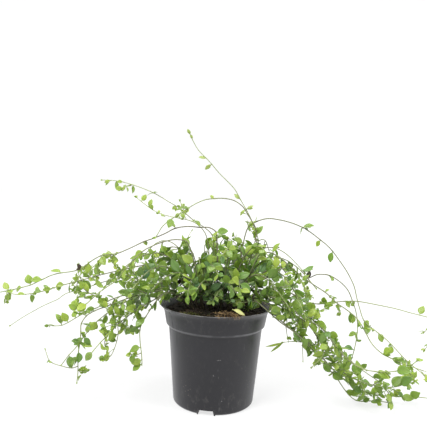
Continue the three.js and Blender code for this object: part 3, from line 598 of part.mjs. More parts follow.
    leaves: [
      [0, 1, -1.4, -11.6, 173.7, 41, 10.9], [0, 2, 2.2, -27.5, 200.2, 47, 13.5],
      [0, 3, -20.6, -40.4, 216.3, -74, 8.4], [0, 5, -11.4, -71.4, 208.8, 2, 9.9],
    ] },
  { name: 'shoot_w',
    stems: [
      [[15.6, 11.8, 137], [21.7, 9.5, 162.5], [25.6, 8, 178.3], [30.1, 5.9, 194.1], [35.3, 3.2, 208.9], [49, -6.4, 233.9], [58.6, -16.2, 239.4], [67.1, -29.3, 235.2], [72.5, -41.5, 226.3]],
    ],
    leaves: [
      [0, 1, 19.8, 0.6, 173.4, -20, 8.4], [0, 4, 24.2, 2.9, 225.8, 32, 10.4], [0, 5, 58.6, -2.9, 243.2, -147, 8.6],
      [0, 7, 58.3, -40.8, 232.2, -25, 8],
    ] },
  { name: 'shoot_x',
    stems: [
      [[29.5, 17.3, 137], [33, 18, 154.9], [36.8, 18.2, 172.8], [43.6, 20.1, 203.5], [54.9, 23.9, 231.2], [59.9, 26.3, 239.1], [67.7, 32.1, 244.9], [74.9, 40.9, 242.6], [78.2, 46.4, 237.4], [82.7, 55.6, 226.4]],
      [[59.9, 26.3, 239.1], [59, 28.5, 246.7], [50.6, 32.5, 258.9]],
      [[74.9, 40.9, 242.6], [72.2, 43.5, 232], [67.3, 42.7, 222.8], [50.9, 32, 206.2]],
    ],
    leaves: [
      [0, 3, 39.4, 13, 220.5, -29, 10.6], [0, 8, 69.1, 50.7, 227.7, 130, 8.8], [1, 2, 44.5, 37.3, 265.5, 25, 5.6],
    ] },
  { name: 'runner_back_a',
    stems: [
      [[-4.8, 37.3, 137], [-6.4, 43.8, 160], [-7.4, 48.3, 175.7], [-8.9, 55.3, 192.5], [-11.3, 68.4, 203.4], [-13.1, 78.2, 203.9], [-14.8, 87.6, 200.5], [-17.5, 100.8, 189.9], [-20, 112.5, 176.7], [-22.4, 122.5, 163.6], [-24.8, 132.1, 149.4], [-26.8, 139.7, 136.9], [-29.6, 149, 120], [-32, 156, 105.6], [-34.4, 162.5, 90.9], [-36.9, 168.6, 76.1], [-39.3, 174.8, 61.3], [-41.8, 181, 46.5]],
      [[-22.4, 122.5, 163.6], [-31.1, 140.5, 156.9], [-41.2, 157.8, 156]],
      [[-24.8, 132.1, 149.4], [-25.5, 143.7, 144.3], [-25.4, 169, 139.4], [-25, 175.7, 139.3]],
    ],
    leaves: [
      [0, 17, -40.7, 188.1, 36.1, -18, 6.5], [0, 1, -0.6, 51.7, 171, -32, 9.2], [0, 2, -8.5, 63.2, 186.8, 43, 9.7],
      [0, 4, -3, 75.1, 215.8, -122, 9.9], [0, 7, -26, 100.5, 173.2, 79, 11.5], [0, 8, -6.6, 123.2, 174.4, -22, 9.1],
      [0, 10, -13, 144.9, 147.2, -69, 10.2], [0, 12, -45.2, 152.1, 112.8, 23, 10.7],
      [1, 2, -43.8, 165.4, 162.1, 179, 5.9], [1, 1, -41.3, 140.8, 156.1, 44, 5.8],
      [2, 1, -26.3, 152.3, 155.6, 161, 8.6], [2, 2, -18.5, 177.4, 145.9, 6, 6.4],
    ] },
  { name: 'runner_back_b',
    stems: [
      [[17, 36, 137], [19.7, 42.1, 160.4], [21.9, 46.9, 179], [24.2, 52, 193.2], [28.3, 61.6, 205], [35.4, 79, 204.5], [40.6, 92.1, 191.7], [43.9, 100.6, 180.1], [47.7, 110.2, 164.6], [53.4, 124.1, 137.7], [56.8, 132, 120], [58.3, 135.4, 111.7], [63, 144.7, 85.6], [65.2, 149, 72.4], [68.6, 155.3, 52.6], [72.3, 162.4, 30.6]],
      [[65.2, 149, 72.4], [60.6, 151.2, 63.4], [46.6, 153.2, 46.6], [39.6, 153.1, 40.8]],
      [[58.3, 135.4, 111.7], [61.4, 144.2, 109.7], [65.6, 157, 109.6], [69.2, 169, 112.2]],
      [[68.6, 155.3, 52.6], [64.5, 157.2, 45.1], [48.3, 159.7, 26.7], [38.4, 159.5, 19.1]],
    ],
    leaves: [
      [0, 2, 28.9, 43.1, 191.6, -79, 8.3], [0, 3, 39.4, 56.4, 196.9, -29, 8.6], [0, 6, 38.5, 80, 176.4, -118, 11],
      [0, 8, 51.4, 125.8, 160.2, -6, 9.2], [0, 9, 43.5, 129.5, 121.6, 128, 11.3],
      [0, 10, 53.3, 144.4, 121, 110, 7.6], [1, 1, 51.7, 145.3, 55.5, -67, 6.7], [1, 2, 46.6, 142.4, 40.5, -78, 7.3],
      [2, 1, 59.3, 150.4, 95.7, 76, 8.3], [2, 2, 55.6, 162.7, 110, 59, 6.4], [3, 1, 52.8, 152.7, 39, 6, 8.9],
      [3, 2, 41.5, 167.8, 21.5, 12, 7.3],
    ] },
  { name: 'runner_back_c',
    stems: [
      [[-28.2, 31.5, 137], [-35.3, 37.6, 157.5], [-40.1, 41.8, 171.5], [-45.9, 47, 185.3], [-53.1, 54.3, 196.4], [-62.8, 64.8, 203.5], [-73.1, 76.4, 204.3], [-83.9, 89, 198.3], [-88, 93.9, 194.5], [-94.2, 101, 187.9], [-104.2, 112.3, 174.9], [-112, 121, 162.9], [-120.3, 129.6, 148.8], [-128.3, 137, 134], [-136.4, 143.9, 118], [-144.3, 150.4, 102.1], [-149.1, 154.4, 92.5]],
      [[-120.3, 129.6, 148.8], [-129.9, 136.3, 151.3], [-144.3, 144.4, 163.6]],
      [[-88, 93.9, 194.5], [-92, 93.9, 182.8], [-92.8, 84.9, 159.7], [-91, 78.3, 149.6]],
      [[-144.3, 150.4, 102.1], [-148.5, 171.2, 91.5], [-148.3, 184.6, 86.6]],
    ],
    leaves: [
      [0, 16, -155.7, 156.1, 85.5, 19, 5.2], [0, 1, -49.8, 34.2, 160.6, -12, 8.5],
      [0, 2, -35.7, 51, 188.4, -72, 12.2], [0, 4, -69.5, 49.1, 202, 59, 10], [0, 5, -69.1, 68.9, 214.2, 126, 8.2],
      [0, 7, -93.8, 103, 202, 22, 10.1], [0, 9, -105.3, 89.2, 177.7, 75, 9.6],
      [0, 11, -109.7, 133.8, 155.2, -75, 8.6], [0, 12, -122.5, 149.4, 150.5, -29, 12.4],
      [0, 14, -142.3, 138, 109.3, 21, 7.4], [1, 2, -150.1, 148.9, 166.5, 59, 4.4],
      [1, 1, -140.9, 132.2, 149.3, -20, 7], [2, 3, -87.7, 73.3, 144.7, 148, 4.9],
      [2, 1, -83.8, 94.9, 173.3, -70, 6.3], [2, 2, -91, 86.4, 149.3, -107, 6.3],
      [3, 1, -142.6, 179.7, 95.1, -59, 6.8],
    ] },
  { name: 'runner_back_d',
    stems: [
      [[33.1, 30, 137], [42.7, 35.8, 159.6], [50.1, 40.3, 176.9], [57.9, 45.6, 191.2], [68.9, 54, 202.9], [83.9, 66.5, 207.8], [95.5, 76.6, 204.1], [106.7, 86.5, 195.2], [116.3, 94.7, 185], [126.6, 103.5, 171.3], [136.7, 111.8, 155.7], [147.3, 119.5, 137.7], [153.1, 123.3, 127], [159.8, 127.5, 113.8], [168.3, 132.6, 96.9], [174.7, 136.5, 84.5]],
      [[147.3, 119.5, 137.7], [146.3, 126.6, 115.1], [140.1, 131.1, 95.1], [135.5, 132.7, 85.3]],
      [[159.8, 127.5, 113.8], [167.3, 143.4, 100.9], [172.6, 165.4, 86.6]],
      [[42.7, 35.8, 159.6], [54.6, 38.8, 163.3], [67.2, 41.1, 160.7], [76.3, 42.3, 155.3], [82.6, 43, 150.3]],
    ],
    leaves: [
      [0, 15, 175.6, 146.7, 77.8, 12, 6.2], [0, 1, 51.8, 26.3, 167.7, -75, 8.7], [0, 2, 64.3, 49.3, 175.4, 45, 9.1],
      [0, 4, 85.9, 56.8, 202.8, -50, 8.8], [0, 5, 93.1, 67.8, 220.2, 45, 8.2], [0, 7, 124.6, 85.6, 190.4, -66, 9.8],
      [0, 9, 141.1, 100.8, 165.3, 9, 8.3], [0, 10, 132.2, 111, 145.4, -142, 7.1],
      [0, 12, 152.6, 109.7, 114.2, -57, 10.1], [0, 14, 164.1, 130.2, 85.3, 0, 6.6],
      [1, 3, 127.4, 135.4, 82.1, 82, 5.7], [1, 1, 133.5, 128, 112.1, 62, 7.7], [1, 2, 139.8, 127.2, 86.7, -92, 5.9],
      [2, 2, 177.2, 171.8, 82.7, 2, 4.5], [2, 1, 176.1, 153.1, 108.6, 64, 8.4], [3, 1, 67.6, 42.8, 156.1, -14, 7.8],
      [3, 3, 86, 45.1, 162.3, -147, 6.3],
    ] },
  { name: 'runner_front_a',
    stems: [
      [[-18.4, -6.8, 137], [-23.4, -16.5, 162.5], [-26.4, -24, 174], [-30, -34.4, 181.7], [-33.8, -44.6, 183.8], [-39, -56.7, 182.2], [-52.2, -77.5, 172.3]],
      [[-23.4, -16.5, 162.5], [-13.3, -22.5, 167.9], [1.3, -26.6, 164.5]],
    ],
    leaves: [
      [0, 6, -60.7, -82.3, 172.6, 31, 5.8], [0, 1, -27.2, -26.9, 161.9, 10, 6.7],
      [0, 5, -40.7, -63.2, 168.4, 36, 8.8],
    ] },
];

// ------------------------------------------------------------ solid helpers
const wasm = await Module();
wasm.setup();

function toSolid(geometry) {
  const g = geometry.index ? geometry.toNonIndexed() : geometry.clone();
  g.deleteAttribute('normal');
  g.deleteAttribute('uv');
  const merged = mergeVertices(g, 1e-4);
  // leave out triangles that the merging closed to a line
  const index = [];
  for (let i = 0; i < merged.index.count; i += 3) {
    const [a, b, c] = [0, 1, 2].map((k) => merged.index.getX(i + k));
    if (a !== b && b !== c && a !== c) index.push(a, b, c);
  }
  return new wasm.Manifold(new wasm.Mesh({
    numProp: 3,
    vertProperties: new Float32Array(merged.attributes.position.array),
    triVerts: new Uint32Array(index),
  }));
}

function toGeometry(solid) {
  const mesh = solid.getMesh();
  const g = new THREE.BufferGeometry();
  const position = new Float32Array(mesh.numProp === 3 ? mesh.vertProperties
    : mesh.vertProperties.filter((_, i) => i % mesh.numProp < 3));
  g.setAttribute('position', new THREE.BufferAttribute(position, 3));
  g.setIndex(new THREE.BufferAttribute(new Uint32Array(mesh.triVerts), 1));
  g.computeVertexNormals();
  return g;
}

// A closed profile of [radius, height] turned round the Z axis.
function turned(profile, facets = FACETS) {
  const g = new THREE.LatheGeometry(profile.map(([r, z]) => new THREE.Vector2(r, z)), facets);
  g.rotateX(Math.PI / 2); // the lathe turns round Y
  return g;
}

const group = new THREE.Group();

function place(name, geometry, colour, roughness) {
  const mesh = new THREE.Mesh(geometry,
    new THREE.MeshStandardMaterial({ color: colour, roughness, metalness: 0 }));
  mesh.name = name;
  group.add(mesh);
  return mesh;
}

// ----------------------------------------------------------------------- pot
const collarFoot = POT_HEIGHT - COLLAR_HEIGHT;
const outline = [
  [0, 0],
  [BASE_RADIUS - BASE_ROUND, 0],
  [BASE_RADIUS, BASE_ROUND],
  [BODY_TOP_RADIUS, collarFoot - 4],
  [COLLAR_FOOT_RADIUS, collarFoot],
  [COLLAR_TOP_RADIUS, POT_HEIGHT - 10],
  [COLLAR_TOP_RADIUS + 2.2, POT_HEIGHT - 5],
  [RIM_RADIUS, POT_HEIGHT - 0.8],
  [RIM_RADIUS, POT_HEIGHT],
];
const inside = [
  [RIM_RADIUS - WALL, POT_HEIGHT],
  [COLLAR_TOP_RADIUS + 2.2 - WALL, POT_HEIGHT - 4.4],
  [COLLAR_TOP_RADIUS - WALL, POT_HEIGHT - 9.6],
  [COLLAR_FOOT_RADIUS - WALL, collarFoot + 0.4],
  [BODY_TOP_RADIUS - WALL, collarFoot - 3.6],
  [BASE_RADIUS - WALL, BASE_ROUND + WALL],
  [BASE_RADIUS - BASE_ROUND - 0.4, WALL],
  [0, WALL],
];
const shell = toSolid(turned([...outline, ...inside]));
const envelope = toSolid(turned([...outline, [0, POT_HEIGHT]]));

// A drainage pocket's block: a trapezium in the tangent plane, run inwards.
function pocketBlock(grow, inner, outer) {
  const half = POCKET_WIDTH / 2 + grow;
  const top = POCKET_TOP_WIDTH / 2 + grow;
  const low = grow > 0 ? 0 : -2;
  const s = new THREE.Shape([
    new THREE.Vector2(-half, low), new THREE.Vector2(half, low),
    new THREE.Vector2(top, POCKET_HEIGHT + grow), new THREE.Vector2(-top, POCKET_HEIGHT + grow),
  ]);
  const g = new THREE.ExtrudeGeometry(s, { depth: outer - inner, bevelEnabled: false });
  // shape x -> tangent, shape y -> up, depth -> outwards along +X
  g.applyMatrix4(new THREE.Matrix4().makeBasis(
    new THREE.Vector3(0, 1, 0), new THREE.Vector3(0, 0, 1), new THREE.Vector3(1, 0, 0)));
  g.translate(inner, 0, 0);
  return g;
}

let pot = shell;
let soilSpace = toSolid(turned([
  [0, WALL + GAP],
  [BASE_RADIUS - BASE_ROUND - 0.6, WALL + GAP],
  [BASE_RADIUS - WALL - GAP, BASE_ROUND + WALL],
  [BODY_TOP_RADIUS - WALL - GAP, collarFoot - 3.8],
  [COLLAR_FOOT_RADIUS - WALL - GAP - 0.2, collarFoot + 0.4],
  [COLLAR_TOP_RADIUS - WALL - GAP - 0.9, SOIL_TOP - 2],
  [52, SOIL_TOP - 0.4],
  [0, SOIL_TOP],
]));
const hole = new THREE.CylinderGeometry(DRAIN_RADIUS, DRAIN_RADIUS, 10, 12);
hole.rotateX(Math.PI / 2);
for (let i = 0; i < POCKETS; i++) {
  const turn = THREE.MathUtils.degToRad(POCKET_AZIMUTH + (360 / POCKETS) * i);
  const inner = BASE_RADIUS - POCKET_DEPTH;
  const walls = pocketBlock(WALL, inner - WALL, BASE_RADIUS - 2).rotateZ(turn);
  const space = pocketBlock(0, inner, BASE_RADIUS + 6).rotateZ(turn);
  const drain = hole.clone().translate(inner + POCKET_DEPTH / 2, 0, POCKET_HEIGHT + 1).rotateZ(turn);
  const around = pocketBlock(WALL + GAP, inner - WALL - GAP, BASE_RADIUS + 4).rotateZ(turn);
  pot = pot.add(toSolid(walls).intersect(envelope))
    .subtract(toSolid(space)).subtract(toSolid(drain));
  soilSpace = soilSpace.subtract(toSolid(around));
}
place('nursery_pot', toGeometry(pot), POT_COLOUR, 0.45);
place('potting_soil', toGeometry(soilSpace), SOIL_COLOUR, 1);

// ----------------------------------------- what lies on the soil, at the front
function lump(name, radii, at, turn, colour, segments = 8, rings = 5) {
  const g = new THREE.SphereGeometry(1, segments, rings);
  g.rotateX(Math.PI / 2);
  g.scale(...radii);
  const mesh = place(name, toGeometry(toSolid(g)), colour, 1);
  mesh.position.set(...at);
  mesh.rotation.set(...turn.map(THREE.MathUtils.degToRad));
}
lump('coir_tuft', [15, 7, 5.2], [17, -66.2, 144], [16, 0, 8], 0x5a3c24, 9, 6);
lump('moss_patch', [20, 10, 2.4], [-38, -50, 138.4], [0, 0, -34], 0x36401a, 9, 5);
lump('bark_chip_a', [7, 3.2, 1.5], [52, -42, 137.6], [0, 4, 35], 0x4a3120, 6, 4);
lump('bark_chip_b', [5.5, 2.6, 1.4], [-8, -66, 137.2], [0, -5, -15], 0x4a3120, 6, 4);

// ------------------------------------------------------------ stems and leaves
// A curve whose parameter runs from point to point, so that each step of the
// tube ends on a point of the stem and every leaf meets it there.
class StemCurve extends THREE.Curve {
  constructor(points) { super(); this.points = points; }
  getPoint(t, target = new THREE.Vector3()) {
    const x = Math.min(Math.max(t, 0), 1) * (this.points.length - 1);
    const i = Math.min(Math.floor(x + 1e-9), this.points.length - 2);
    return target.lerpVectors(this.points[i], this.points[i + 1], Math.max(x - i, 0));
  }
  getPointAt(u, target) { return this.getPoint(u, target); }
  getTangentAt(u, target = new THREE.Vector3()) {
    const x = Math.round(u * (this.points.length - 1));
    const a = this.points[Math.max(x - 1, 0)];
    const b = this.points[Math.min(x + 1, this.points.length - 1)];
    return target.subVectors(b, a).normalize();
  }
  getTangent(u, target) { return this.getTangentAt(u, target); }
}

const stemSection = new THREE.Shape([0, 1, 2].map((i) => new THREE.Vector2(
  STEM_RADIUS * Math.cos((2 * Math.PI * i) / 3), STEM_RADIUS * Math.sin((2 * Math.PI * i) / 3))));

function stemSolid(points) {
  return toSolid(new THREE.ExtrudeGeometry(stemSection, {
    steps: points.length - 1, bevelEnabled: false, extrudePath: new StemCurve(points),
  }));
}

const UP = new THREE.Vector3(0, 0, 1);
const EAST = new THREE.Vector3(1, 0, 0);

// A leaf: a flat, pointed oval, thickest at its middle.
function leafSolid(foot, tip, rollDegrees, width) {
  const along = tip.clone().sub(foot).normalize();
  const reference = Math.abs(along.z) < 0.97 ? UP : EAST;
  const flat = reference.clone().addScaledVector(along, -reference.dot(along)).normalize();
  const side = along.clone().cross(flat);
  const roll = THREE.MathUtils.degToRad(rollDegrees);
  const normal = flat.multiplyScalar(Math.cos(roll)).addScaledVector(side, Math.sin(roll));
  const across = normal.clone().cross(along);
  const length = tip.distanceTo(foot) + LEAF_ROOT;
  const g = new THREE.OctahedronGeometry(1, 0);
  g.scale(length / 2, width / 2, LEAF_THICKNESS / 2);
  g.applyMatrix4(new THREE.Matrix4().makeBasis(along, across, normal));
  const middle = foot.clone().addScaledVector(along, length / 2 - LEAF_ROOT);
  g.translate(middle.x, middle.y, middle.z);
  return toSolid(g);
}

for (const runner of RUNNERS) {
  const stems = runner.stems.map((s) => s.map((p) => new THREE.Vector3(...p)));
  let solid = null;
  for (const s of stems) solid = solid ? solid.add(stemSolid(s)) : stemSolid(s);
  for (const [stem, point, x, y, z, roll, width] of runner.leaves) {
    solid = solid.add(leafSolid(stems[stem][point], new THREE.Vector3(x, y, z), roll, width));
  }
  place(runner.name, toGeometry(solid), STEM_COLOUR, 0.55);
}

// A yellowed leaf that has dropped: it leans on the tuft of fibre, with its
// tip over the rim.
place('fallen_leaf', toGeometry(leafSolid(new THREE.Vector3(21.5, -73, 157),
  new THREE.Vector3(39.5, -72.5, 149.2), 24, 8)), 0xd9d78a, 0.6);

export default group;
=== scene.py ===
import math
import random

import bmesh
import bpy
import numpy as np
from mathutils import Matrix, Vector, noise


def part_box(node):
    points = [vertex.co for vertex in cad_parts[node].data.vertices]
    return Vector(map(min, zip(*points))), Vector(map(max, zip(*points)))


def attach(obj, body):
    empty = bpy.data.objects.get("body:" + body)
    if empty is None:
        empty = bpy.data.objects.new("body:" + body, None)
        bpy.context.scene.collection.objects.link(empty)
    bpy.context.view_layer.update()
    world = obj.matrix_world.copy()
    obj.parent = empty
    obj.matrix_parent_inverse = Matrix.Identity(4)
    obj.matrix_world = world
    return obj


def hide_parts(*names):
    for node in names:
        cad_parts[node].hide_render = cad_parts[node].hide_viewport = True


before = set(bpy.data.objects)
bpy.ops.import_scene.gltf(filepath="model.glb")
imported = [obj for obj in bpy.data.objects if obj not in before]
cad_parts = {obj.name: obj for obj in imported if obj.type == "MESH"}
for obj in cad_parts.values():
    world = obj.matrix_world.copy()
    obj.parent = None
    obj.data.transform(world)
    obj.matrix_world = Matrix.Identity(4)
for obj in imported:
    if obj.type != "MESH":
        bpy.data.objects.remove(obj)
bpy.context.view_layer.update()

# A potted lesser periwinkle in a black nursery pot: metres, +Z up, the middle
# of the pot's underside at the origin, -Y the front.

MM = 0.001
scene = bpy.context.scene

# ------------------------------------------------------------------ dimensions
# millimetres, the same as the solids'
RIM_R, POT_H = 85.0, 148.0
COLLAR_TOP_R, COLLAR_FOOT_R, COLLAR_H = 78.2, 74.7, 29.0
BODY_TOP_R, BASE_R, BASE_ROUND, WALL = 70.6, 61.0, 2.5, 1.4
POCKETS, POCKET_AZ, POCKET_W, POCKET_TOP_W, POCKET_H, POCKET_D = 3, -99.5, 24.0, 20.0, 7.0, 16.0
DRAIN_R = 3.5

